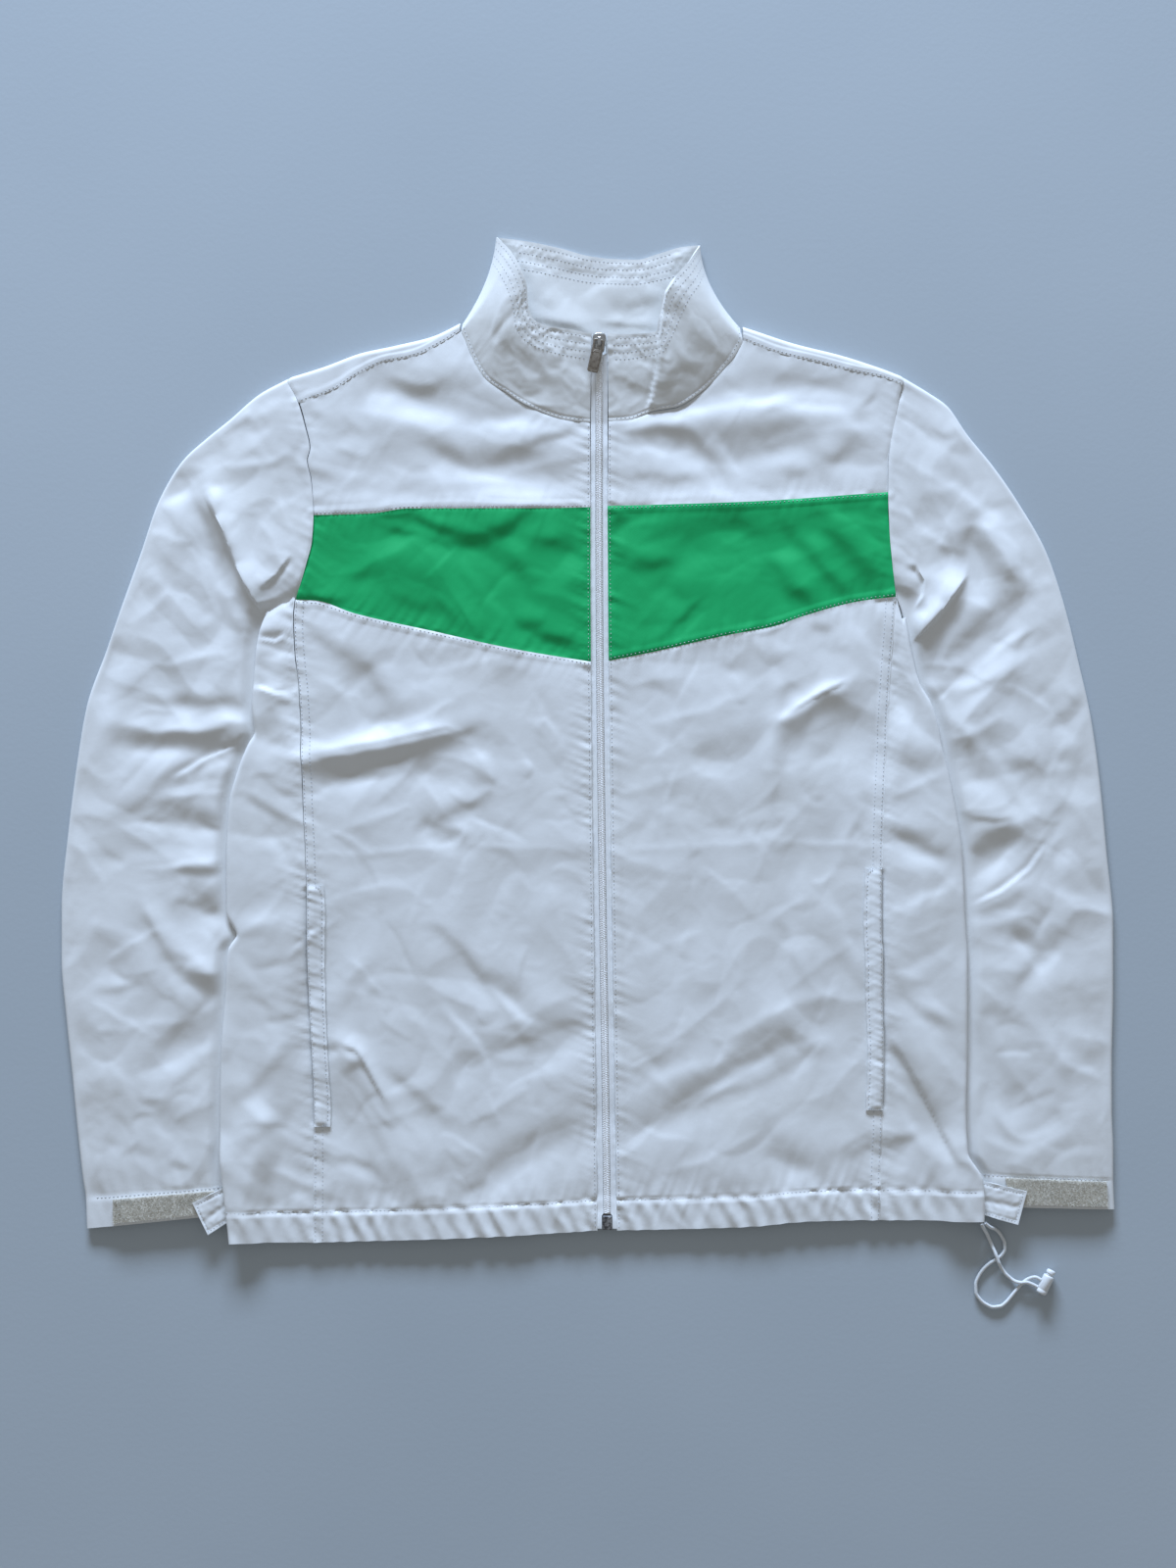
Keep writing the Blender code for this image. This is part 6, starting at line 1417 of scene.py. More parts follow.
def build_collar(looks):
    points, at, v = collar_grid()
    normal = np.cross(np.gradient(points, axis=1), np.gradient(points, axis=0))
    normal /= np.linalg.norm(normal, axis=2)[:, :, None]
    if normal[2, 1, 2] < 0:
        normal = -normal
    x, y = points[..., 0], points[..., 1]
    run = np.linspace(0, line_length((points[0] + points[-1]) / 2), points.shape[1])[None, :]
    height = v[:, None] * COLLAR_HIGH
    below_top = COLLAR_HIGH - height
    front = ease(3 * np.abs(at / (len(COLLAR) - 1) - 0.5) * 2 - 1.2)[None, :]
    soft = 0.5 * crumple(run, height, 24, 61) + 0.12 * crumple(run, height, 9, 62)
    in_band = ease((BAND_HIGH - below_top) / 4)
    puckers = 0.55 * noise(run / 3.0, below_top / 4.5, 63) * (0.7 + 0.6 * noise(run / 22, 0.5, 64))
    rows_of_thread = sum(np.exp(-(((below_top - at_row) / 0.9) ** 2)) for at_row in STITCH_ROWS)
    band = in_band * (puckers - 0.14 * rows_of_thread)
    pulls = 0.3 * noise(run / 4.0, height / 30.0, 65) * np.exp(-height / 9)
    seam_roll = 0.30 * np.exp(-(((height - 1.0) / 0.8) ** 2))
    seam_roll = seam_roll - 0.34 * np.exp(-(((height - 2.6) / 0.7) ** 2))
    bent_x, bent_y = bent(x, y)
    relief = soft + 0.9 * band + pulls + seam_roll + shades(bent_x, bent_y, COLLAR_SHADES)
    keep_edges = 0.25 + 0.75 * ease(np.minimum(height, below_top) / 4)
    moved = points + normal * (relief * front * keep_edges)[..., None]
    raised = wing_fold(moved[..., 0], moved[..., 1]) * front
    moved[..., 2] += raised
    inside = 0.35 * crumple(run, height, 30, 66) + 0.8 * band + shades(bent_x, bent_y, INSIDE_SHADES)
    inside *= ease((1 - front) * 2) * ease(np.minimum(height, below_top) / 5)
    lining = points - normal * COLLAR_WALL
    lining = lining - normal * np.maximum(inside, -COLLAR_WALL * 0.6)[..., None]
    lining[..., 2] += raised
    rows, columns = moved.shape[:2]
    count = rows * columns
    cells = grid(rows, columns)
    probe = np.cross(moved[2, 3] - moved[2, 2], moved[3, 2] - moved[2, 2])
    flip = probe @ normal[2, 2] > 0
    outer = cells if not flip else cells[..., ::-1]
    faces = outer.reshape(-1, 4).tolist() + (outer[..., ::-1] + count).reshape(-1, 4).tolist()
    spots = np.arange(count).reshape(rows, columns)
    for edge in (spots[0], spots[-1][::-1], spots[::-1, 0], spots[:, -1]):
        for a, b in zip(edge[:-1], edge[1:]):
            faces.append([a, b, b + count, a + count] if flip else [b, a, a + count, b + count])
    every = np.concatenate([moved.reshape(-1, 3), lining.reshape(-1, 3)])
    piece = dress("collar_cloth", every, faces, looks["collar"], ("collar",))
    return moved, lining, v * COLLAR_HIGH


# ---- what lies on the panels -------------------------------------------------------------------
def height_on(grid_points):
    """A function that gives the height of a dressed surface near (x, y), from its grid."""
    flat = grid_points.reshape(-1, 3)
    tree = KDTree(len(flat))
    for number, point in enumerate(flat):
        tree.insert((point[0], point[1], 0), number)
    tree.balance()

    def height(x, y):
        x, y = np.atleast_1d(x).astype(float), np.atleast_1d(y).astype(float)
        made = np.zeros(x.shape)
        for k in range(x.size):
            found = tree.find_n((x.flat[k], y.flat[k], 0), 3)
            weight = np.array([1 / (f[2] + 0.2) for f in found])
            made.flat[k] = float(np.sum(weight * np.array([flat[f[1], 2] for f in found])) / weight.sum())
        return made

    return height


def build_welt(side, looks):
    """The stitched welt of a side pocket, with cross puckers between its seam and its stitching."""
    top_y, low_y = POCKET_Y[side]
    sign = SIGN[side]
    y = np.linspace(top_y, low_y, 150)[:, None]
    across = np.linspace(0, 1, 13)[None, :]
    wide = WELT_WIDTH * (0.93 + 0.05 * np.sin(y / 31.0) + 0.04 * noise(y / 17.0, 0.3, 81))
    x = SEAM[side](y) - sign * (SEAM_GAP + 0.2 + across * wide)
    y = np.broadcast_to(y, x.shape)
    away = across * wide
    pucker = wander(y + 0.5 * away, 5.5, 82) * np.exp(-np.abs(wide - 2.0 - away) / 4.5)
    pucker += 0.6 * wander(y - 0.3 * away, 7.5, 83) * np.exp(-away / 4.0)
    groove = np.exp(-(((away - (wide - 2.2)) / 0.8) ** 2))
    roll = 1.1 * np.sin(math.pi * np.clip(across * 1.05, 0, 1)) ** 0.7
    end = ease(np.minimum(top_y - y, y - low_y) / 4)
    roll = roll + 0.8 * np.exp(-away / 1.8)
    z = body_top(x, y) + LAID_GAP + TRIM_WALL + end * (roll + 0.42 * pucker - 0.7 * groove)
    z = np.maximum(z, body_top(x, y) + LAID_GAP + 0.4)
    points = np.dstack([x, y, z])
    name = f"pocket_welt_{side}"
    mesh = shell(points, TRIM_WALL * 0.9)
    piece = dress(name + "_cloth", *mesh, looks["trim"], (name,))
    return points


PILE_LOOPS = 5200  # fibres on one strip of loop tape


def build_loop_strip(side, upper, at_k, looks):
    """The strip of loop tape on a cuff: its fabric, and the loops that stand on it."""
    start, end, top, bottom = LOOP_RIGHT if side == "right" else LOOP_LEFT
    table = SLEEVE_RIGHT if side == "right" else SLEEVE_LEFT
    last = len(table) - 1
    k_from, k_to = last - 1 + top, last - 1 + bottom
    rows = upper[np.where((at_k >= last - 1.2))[0]]
    ks = at_k[at_k >= last - 1.2]
    columns = np.linspace(0, 1, rows.shape[1])
    across = np.linspace(start, end, 64)
    down = np.linspace(k_from, k_to, 18)
    by_column = np.array([[np.interp(across, columns, r[:, c]) for c in range(3)] for r in rows])
    points = np.zeros((len(down), len(across), 3))
    for c in range(3):
        for j in range(len(across)):
            points[:, j, c] = np.interp(down, ks, by_column[:, c, j])
    smooth = np.median(points[..., 2]) * 0.25 + points[..., 2] * 0.75
    rough = noise(points[..., 0] / 1.7, points[..., 1] / 1.7, 91)
    points[..., 2] = np.maximum(smooth, points[..., 2]) + LAID_GAP + TRIM_WALL + 0.28 * rough
    name = f"loop_strip_{side}"
    mesh = shell(points, TRIM_WALL, up=1)
    random = np.random.default_rng(7 if side == "right" else 8)
    fibres, faces = [], []
    for _ in range(PILE_LOOPS):
        i, j = random.integers(0, points.shape[0] - 1), random.integers(0, points.shape[1] - 1)
        a, b = random.random(2)
        low = mix(mix(points[i, j], points[i, j + 1], b), mix(points[i + 1, j], points[i + 1, j + 1], b), a)
        lean = random.normal(0, 0.5, 2)
        rise = random.uniform(0.45, 1.0)
        turn = random.uniform(0, math.pi)
        wide = 0.09 * np.array([math.cos(turn), math.sin(turn), 0])
        middle = low + np.array([lean[0] * 0.6, lean[1] * 0.6, rise])
        tip = low + np.array([lean[0] * 1.5, lean[1] * 1.5, rise * 0.7])
        base = len(fibres)
        fibres += [low - wide, low + wide, middle + wide, middle - wide, tip + wide * 0.6, tip - wide * 0.6]
        faces += [[base, base + 1, base + 2, base + 3], [base + 3, base + 2, base + 4, base + 5]]
    piece = dress(name + "_cloth", *mesh, looks["loop"], (name,))
    dress(name + "_fuzz", np.array(fibres), faces, looks["loop"], slot_of=name, sharp=0)


def build_cuff_tab(side, upper, at_k, looks):
    """The stitched end of a cuff strap, which comes out from under the body."""
    corners = [np.array(c, float) for c in (TAB_RIGHT if side == "right" else TAB_LEFT)]
    a, b, c, d = corners
    rows = upper[at_k >= 16]
    height = height_on(rows)
    v = np.linspace(0, 1, 26)[:, None, None]
    u = np.linspace(0, 1, 34)[None, :, None]
    flat = mix(mix(a, d, v), mix(b, c, v), u)
    x, y = flat[..., 0], flat[..., 1]
    base = height(x, y)
    for _ in range(10):
        base[1:-1, 1:-1] = (base[:-2, 1:-1] + base[2:, 1:-1] + base[1:-1, :-2] + base[1:-1, 2:]) / 4
    edge = np.minimum(np.minimum(u[..., 0], 1 - u[..., 0]) * 40, np.minimum(v[..., 0], 1 - v[..., 0]) * 26)
    groove = -0.6 * np.exp(-(((edge - 2.6) / 0.7) ** 2))
    crease = 0.9 * np.exp(-(((v[..., 0] - 0.55 + 0.12 * (u[..., 0] - 0.5)) * 26 / 2.4) ** 2))
    bow = 0.7 * noise(x / 15, y / 15, 95) + 0.3 * crumple(x, y, 8, 96)
    z = base + TAB_LIFT + TRIM_WALL + groove + bow * ease(edge / 3) * 0.8 - crease * ease(edge / 4) * 0.8
    points = np.dstack([x, y, z])
    name = f"cuff_tab_{side}"
    piece = dress(name + "_cloth", *shell(points, TRIM_WALL), looks["trim"], (name,))
    return points


# ---- sewing ------------------------------------------------------------------------------------
STITCH = 2.1
STITCH_PITCH = 3.3
THREAD = 0.6


def stitch_row(path, lift=0.12, pitch=STITCH_PITCH, length=STITCH, thread=THREAD):
    """Short threads along a path of (x, y, z) points."""
    path = np.asarray(path, float)
    run = np.concatenate([[0], np.cumsum(np.linalg.norm(np.diff(path, axis=0), axis=1))])
    points, faces = [], []
    for start in np.arange(pitch / 2, run[-1] - length, pitch):
        low, mid, high = (
            np.array([np.interp(start + t * length, run, path[:, k]) for k in range(3)])
            for t in (0, 0.5, 1)
        )
        way = high - low
        size = np.linalg.norm(way)
        if size < 0.2 * length:
            continue
        way = way / size
        side = np.array([-way[1], way[0], 0]) * thread / 2
        up = np.array([0, 0, thread / 2])
        middle = mid + np.array([0, 0, lift + 0.1])
        base = len(points)
        points += [low + [0, 0, lift - 0.35], middle + side, middle + up, middle - side, middle - up,
                   high + [0, 0, lift - 0.35]]
        for i in range(4):
            j = (i + 1) % 4
            faces += [[base, base + 1 + j, base + 1 + i], [base + 5, base + 1 + i, base + 1 + j]]
    return np.array(points).reshape(-1, 3), faces


def on_body(line, shift=0.0, count=None):
    """A line moved sideways (over 0 is to its right) and laid on the dressed front."""
    line = resampled(line, count or count_for(line_length(line), 2.0) + 1)
    way = np.gradient(line, axis=0)
    way /= np.linalg.norm(way, axis=1)[:, None]
    moved = line + np.column_stack([way[:, 1], -way[:, 0]]) * shift
    return np.column_stack([moved, body_top(moved[:, 0], moved[:, 1])])


def bar_tack(x, y, z, wide, high):
    """A dense bar of thread across the end of a pocket."""
    made = []
    for at_y in np.linspace(y - high / 2, y + high / 2, 3):
        made.append(stitch_row([(x - wide / 2, at_y, z), (x + wide / 2, at_y, z)], 0.1, 1.6, 1.3, 0.5))
    return joined(made)


def build_stitches(looks, welts, sleeves, tabs, collar_points):
    for side in ("right", "left"):
        sign = SIGN[side]
        white = []
        doubled = {name: where for name, _, _, _, _, where, _ in SEWN}
        line = f"side_{side}"
        for shift in (1.6, 7.2):
            white.append(stitch_row(on_body(LINES[line], shift * doubled[line])))
        line = f"zip_{side}"
        white.append(stitch_row(on_body(LINES[line], 1.7 * doubled[line])))
        for line, shift in ((f"band_top_{side}", -1.6), (f"band_low_{side}", 1.6)):
            path = on_body(LINES[line], shift)
            white.append(stitch_row(path))
        path = on_body(LINES[f"shoulder_{side}"], 1.6 * doubled[f"shoulder_{side}"])
        white.append(stitch_row(path))
        hem = on_body(LINES[f"hem_{side}"], 0)
        white.append(stitch_row(hem, 0.25))
        x = np.linspace(float(SEAM[side](-360.0)), float(FOLD[side](-360.0) - sign * 3), 30)
        y = hem_y(x) + HEM_DEPTH
        white.append(stitch_row(np.column_stack([x, y, body_top(x, y)]), 0.25))
        points, faces = joined(white)
        dress(f"stitches_{side}", points, faces, looks["thread"], slot_of=f"front_{side}", sharp=0)

        welt = welts[side]
        rows = [stitch_row(welt[3:-3, 10], 0.2), stitch_row(welt[3:-3, 1], 0.1)]
        for row in (1, -2):
            middle = welt[row, 6]
            rows.append(bar_tack(middle[0], middle[1], middle[2] - 0.1, WELT_WIDTH - 3, 1.6))
        dress(f"pocket_stitches_{side}", *joined(rows), looks["thread"],
              slot_of=f"pocket_welt_{side}", sharp=0)

        upper, at_k = sleeves[side]
        row = upper[np.argmin(np.abs(at_k - 18))][3:-3]
        cuff = [stitch_row(row, 0.3)]
        tab = tabs[side]
        loop = np.concatenate([tab[2, 2:-2], tab[2:-2, -3], tab[-3, 2:-2][::-1], tab[2:-2, 2][::-1]])
        cuff.append(stitch_row(loop, 0.15, 2.6, 2.0))
        dress(f"cuff_stitches_{side}", *joined(cuff), looks["thread"], slot_of=f"sleeve_{side}", sharp=0)
    moved, lining, height = collar_points
    rows = []
    heights = [2.0] + [COLLAR_HIGH - below_top for below_top in STITCH_ROWS]
    for at_height in heights:
        row = int(np.argmin(np.abs(height - at_height)))
        rows.append(stitch_row(moved[row, 2:100], 0.12))
        rows.append(stitch_row(moved[row, -110:-2], 0.12))
        rows.append(stitch_row(lining[row, 102:-106], 0.12))
    dress("collar_stitches", *joined(rows), looks["thread"], slot_of="collar", sharp=0)


# ---- the zip -----------------------------------------------------------------------------------
ZIP_COLLAR_Y = 248.0  # where the zip crosses the neck seam
ZIP_TOP_Z = 11.5  # height of the cloth at the zip's top
ZIP_BOW = 2.4


def zip_height(y):
    """The height of the cloth beside the zip, up the front and then up the collar."""
    y = np.asarray(y, float)
    on_front = front_z(zip_x(y) - zip_half(y), np.minimum(y, ZIP_COLLAR_Y))
    at_seam = float(front_z(np.array(1.5), np.array(ZIP_COLLAR_Y)))
    share = np.clip((y - ZIP_COLLAR_Y) / (ZIP_TOP - ZIP_COLLAR_Y), 0, 1)
    on_collar = mix(at_seam, ZIP_TOP_Z, share) + ZIP_BOW * share * (1 - share)
    return np.where(y <= ZIP_COLLAR_Y, on_front, on_collar)


def build_zip(looks):
    top = ZIP_TOP - 0.4
    y = np.linspace(ZIP_BOTTOM + 0.5, top, 420)
    base = zip_height(y) - TAPE_SINK + 0.25
    for side in ("right", "left"):
        sign = SIGN[side]
        near = CHAIN_WIDTH / 2 + SEAM_GAP
        wide = np.where(y < ZIP_BOTTOM + BOX_SIZE[1] + 1, BOX_SIZE[0] / 2 + SEAM_GAP, near)
        wide = np.where(y > PULL_ARCH_Y - SLIDER_LENGTH / 2 - 1.5, SLIDER_WIDE / 2 + SEAM_GAP, wide)
        across = np.linspace(0, 1, 9)[None, :]
        x = zip_x(y)[:, None] + sign * mix(wide[:, None], zip_half(y)[:, None] - 0.1, across)
        ribs = 0.10 * np.cos(2 * math.pi * across * 3)
        wave = 0.22 * wander(y, 7.0, 101 + int(sign))[:, None] * across
        z = base[:, None] + ribs + wave - 0.25 * across
        points = np.dstack([x, np.broadcast_to(y[:, None], x.shape), z])
        name = f"zip_tape_{side}"
        mesh = shell(points, 0.6)
        piece = dress(name + "_cloth", *mesh, looks["tape"], (name,))
    foot, arch = ZIP_BOTTOM + BOX_SIZE[1] + 1.5, PULL_ARCH_Y - SLIDER_LENGTH / 2 - 0.4
    pitch = 1.35
    spots = np.arange(foot, arch - pitch, pitch)
    parts = []
    ring = 6
    for side, sign in (("right", -1), ("left", 1)):
        for at_y in spots:
            at_y = at_y + (pitch / 2 if sign > 0 else 0)
            z = float(np.interp(at_y, y, base)) + 0.25
            middle = float(zip_x(at_y))
            lengthwise = []
            for t, size in ((0.0, 0.30), (0.35, 0.52), (1.2, 0.56), (2.1, 0.60), (2.75, 0.40)):
                for i in range(ring):
                    angle = 2 * math.pi * i / ring
                    lengthwise.append((
                        middle + sign * (t - 0.15),
                        at_y + size * 0.95 * math.cos(angle) + 0.18 * t,
                        z + size * 1.0 * math.sin(angle) + 0.10 * math.sin(math.pi * t / 2.75),
                    ))
            faces = []
            for row in range(4):
                for i in range(ring):
                    j = (i + 1) % ring
                    one, two = row * ring + i, row * ring + j
                    face = [one, two, two + ring, one + ring]
                    faces.append(face if sign > 0 else [two, one, one + ring, two + ring])
            faces.append([*range(ring)][:: -sign])
            faces.append([*range(4 * ring, 5 * ring)][:: sign])
            parts.append((lengthwise, faces))
    core_y = np.linspace(foot - 0.4, arch + 0.4, 160)
    core_z = np.interp(core_y, y, base)
    core = []
    for dx, dz in ((-2.6, -0.5), (-2.6, 0.2), (0, 0.42), (2.6, 0.2), (2.6, -0.5), (0, -0.9)):
        core.append(np.column_stack([zip_x(core_y) + dx, core_y, core_z + dz]))
    core = np.array(core).transpose(1, 0, 2)
    faces = grid(len(core_y), 6, closed=True)[..., ::-1].reshape(-1, 4).tolist()
    last = 6 * (len(core_y) - 1)
    faces += [[0, 1, 2, 3, 4, 5], [last + 5, last + 4, last + 3, last + 2, last + 1, last]]
    parts.append((core.reshape(-1, 3), faces))
    dress("zip_teeth", *joined(parts), looks["coil"], ("zip_chain",), sharp=60)


def place(point, centre, tilt, turn):
    x, y, z = point
    y, z = y * math.cos(tilt) - z * math.sin(tilt), y * math.sin(tilt) + z * math.cos(tilt)
    x, y = x * math.cos(turn) - y * math.sin(turn), x * math.sin(turn) + y * math.cos(turn)
    return (x + centre[0], y + centre[1], z + centre[2])


def rounded(low_x, low_y, high_x, high_y, radius, steps=5):
    """A rectangle with round corners, as a loop that turns left."""
    loop = []
    corners = ((high_x, high_y, 0), (low_x, high_y, 90), (low_x, low_y, 180), (high_x, low_y, 270))
    for x, y, start in corners:
        cx = x - math.copysign(radius, x - (low_x + high_x) / 2)
        cy = y - math.copysign(radius, y - (low_y + high_y) / 2)
        for i in range(steps + 1):
            angle = math.radians(start + 90 * i / steps)
            loop.append((cx + radius * math.cos(angle), cy + radius * math.sin(angle)))
    return loop


def soft_plate(outline, hole, thick, edge):
    """A plate with one hole whose edges are rounded over, as (points, faces) in its own frame."""
    outline, hole = np.array(outline), np.array(hole)
    count = len(outline)

    def grown(loop, amount):
        way = np.roll(loop, -1, 0) - np.roll(loop, 1, 0)
        way /= np.linalg.norm(way, axis=1)[:, None]
        return loop + np.column_stack([way[:, 1], -way[:, 0]]) * amount

    profile = []
    for angle in (90, 60, 30, 0):
        a = math.radians(angle)
        profile.append((-edge * (1 - math.cos(a)), thick / 2 - edge * (1 - math.sin(a))))
    profile = profile + [(p[0], -p[1]) for p in profile[::-1]]
    rings = [np.column_stack([grown(outline, p[0]), np.full(count, p[1])]) for p in profile]
    rings += [np.column_stack([grown(hole, -p[0] * 0.7), np.full(count, p[1])]) for p in profile[::-1]]
    points = np.concatenate(rings)
    faces = []
    total = len(rings)
    for r in range(total):
        for i in range(count):
            j = (i + 1) % count
            a, b = r * count, ((r + 1) % total) * count
            faces.append([a + j, a + i, b + i, b + j])
    return points, faces


def build_fittings(looks):
    """The slider with its bridge, the pull tab on the bridge, and the box at the zip's foot."""
    centre_y = PULL_ARCH_Y
    surface = float(zip_height(centre_y))
    tilt = math.atan(float(zip_height(centre_y) - zip_height(centre_y - 24)) / 24)
    centre = (float(zip_x(centre_y)), centre_y, surface + SLIDER_RISE)
    half = SLIDER_LENGTH / 2
    wide, narrow = SLIDER_WIDE / 2, SLIDER_NARROW / 2
    side = ((0.0, half), (wide - 3.2, half), (wide - 1.4, half - 0.6), (wide - 0.3, half - 2.0),
            (wide, half - 3.6), (wide - 0.1, half - 5.6), (wide - 0.6, half - 8.0),
            (narrow + 0.1, -half + 2.6), (narrow - 0.3, -half + 1.0), (narrow - 1.4, -half), (0.0, -half))
    outline = [(-x, y) for x, y in side[::-1]][:-1] + list(side)[:-1]
    outline = outline[::-1]
    count = len(outline)
    points, rings = [], ((-4.0, 0.90), (-3.7, 0.97), (-3.2, 1.0), (-1.0, 1.0), (-0.5, 0.97), (-0.18, 0.92),
                         (0.0, 0.84), (0.06, 0.5))
    for low, shrink in rings:
        for x, y in outline:
            points.append(place((x * shrink, y * (0.4 + 0.6 * shrink), low), centre, tilt, 0))
    faces = [list(range(count))[::-1], list(range((len(rings) - 1) * count, len(rings) * count))]
    for r in range(len(rings) - 1):
        for i in range(count):
            j = (i + 1) % count
            faces.append([r * count + i, r * count + j, (r + 1) * count + j, (r + 1) * count + i])
    slider = (np.array(points), faces)
    hinge_rise = BRIDGE_HOLE / 2 + 0.1
    bar_y = 1.6
    outer = rounded(bar_y - 4.6, -0.5, bar_y + 2.9, BRIDGE_HIGH + 0.3, 1.5)
    hole = rounded(bar_y - BRIDGE_HOLE / 2, hinge_rise - BRIDGE_HOLE / 2 + 0.15,
                   bar_y + BRIDGE_HOLE / 2, hinge_rise + BRIDGE_HOLE / 2 - 0.4, 0.8)
    loop_points, loop_faces = soft_plate(outer, hole, BRIDGE_WIDE, 0.5)
    loop_points = [place((z, a, b), centre, tilt, 0) for a, b, z in loop_points]
    dress("zip_slider_metal", *joined([slider, (np.array(loop_points), loop_faces)]), looks["slider"],
          ("zip_slider",), sharp=40)

    hinge = place((0.0, bar_y, hinge_rise), centre, tilt, 0)
    turn = -math.radians(PULL_SWING)
    bar = PULL_BAR / 2
    slot_wide, slot_long = PULL_SLOT
    shape = rounded(-PULL_WIDE / 2, -PULL_LENGTH + bar, PULL_WIDE / 2, bar, 1.6)
    slot = rounded(-slot_wide / 2, -bar - slot_long, slot_wide / 2, -bar, 0.9)
    plate, plate_faces = soft_plate(shape, slot, PULL_THICK, 0.35)
    half_wide, foot = PULL_WIDE / 2, -PULL_LENGTH + bar
    rim = rounded(-half_wide + 1.0, foot + 1.0, half_wide - 1.0, -bar - slot_long - 1.6, 0.9)
    panel = rounded(-half_wide + 1.5, foot + 1.5, half_wide - 1.5, -bar - slot_long - 2.1, 0.6)
    raised, raised_faces = soft_plate(rim, panel, 0.3, 0.1)
    raised = raised + np.array([0, 0, PULL_THICK / 2])
    plate, plate_faces = joined([(plate, plate_faces), (raised, raised_faces)])
    plate = [place(p, hinge, tilt, turn) for p in plate]
    dress("zip_pull_metal", plate, plate_faces, looks["metal"], ("zip_pull",), body="pull", sharp=40)

    foot_y = ZIP_BOTTOM + BOX_SIZE[1] / 2 - 0.4
    foot = (float(zip_x(foot_y)), foot_y, float(zip_height(foot_y)) - TAPE_SINK - TAPE_THICK / 2)
    work = bmesh.new()
    bmesh.ops.create_cube(work, size=1)
    bmesh.ops.scale(work, vec=Vector(BOX_SIZE), verts=work.verts)
    bmesh.ops.bevel(work, geom=work.edges[:], offset=0.8, segments=4, profile=0.6, affect="EDGES")
    points = [place(v.co, foot, 0, 0) for v in work.verts]
    faces = [[v.index for v in f.verts] for f in work.faces]
    work.free()
    parts = [(points, faces)]
    ridge_rim, ridge_hole = rounded(-0.8, -4.4, 0.8, 4.4, 0.6), rounded(-0.3, -3.9, 0.3, 3.9, 0.2)
    for shift in (-2.3, 2.3):
        ridge, ridge_faces = soft_plate(ridge_rim, ridge_hole, 0.5, 0.15)
        ridge = ridge + np.array([foot[0] + shift, foot[1], foot[2] + BOX_SIZE[2] / 2 + 0.05])
        parts.append((ridge, ridge_faces))
    dress("zip_box_metal", *joined(parts), looks["dark"], ("zip_box",), sharp=40)


# ---- the drawcord and its lock -----------------------------------------------------------------
def cord_line(route, step=0.5):
    way = np.array(route, float)
    run = np.concatenate([[0], np.cumsum(np.linalg.norm(np.diff(way, axis=0), axis=1))])
    at = np.linspace(0, run[-1], count_for(run[-1], step) + 1)
    return np.column_stack([through(np.column_stack([run, way[:, k]]))(at) for k in range(3)])


def build_cord(name, route, look):
    """A braided cord: a tube round its line, with the strands of the braid raised on it."""
    line = cord_line(route)
    way = np.gradient(line, axis=0)
    way /= np.linalg.norm(way, axis=1)[:, None]
    side = np.column_stack([-way[:, 1], way[:, 0], np.zeros(len(way))])
    side /= np.linalg.norm(side, axis=1)[:, None]
    up = np.cross(side, way)
    up *= np.sign(up[:, 2:3])
    run = np.linspace(0, line_length(line), len(line))[:, None]
    sides = 20
    turn = np.linspace(0, 2 * math.pi, sides, endpoint=False)[None, :]
    braid = np.abs(np.sin(3 * turn + run * 1.9)) * np.abs(np.sin(3 * turn - run * 1.9))
    radius = CORD_THICK / 2 - 0.14 + 0.26 * np.sqrt(braid)
    outwards = side[:, None] * np.cos(turn)[..., None] + up[:, None] * np.sin(turn)[..., None]
    rows = line[:, None] + outwards * radius[..., None]
    faces = grid(len(line), sides, closed=True).reshape(-1, 4)
    centre = rows.mean(axis=1)
    a, b, c = rows[0, 0], rows[0, 1], rows[1, 0]
    if np.dot(np.cross(b - a, c - a), a - centre[0]) >= 0:
        faces = faces[:, ::-1]
    faces = faces.tolist()
    last = sides * (len(line) - 1)
    faces += [list(range(sides))[::-1], list(range(last, last + sides))]
    piece = dress(name + "_braid", rows.reshape(-1, 3), faces, look, (name,), sharp=0)
    return piece, line * MM


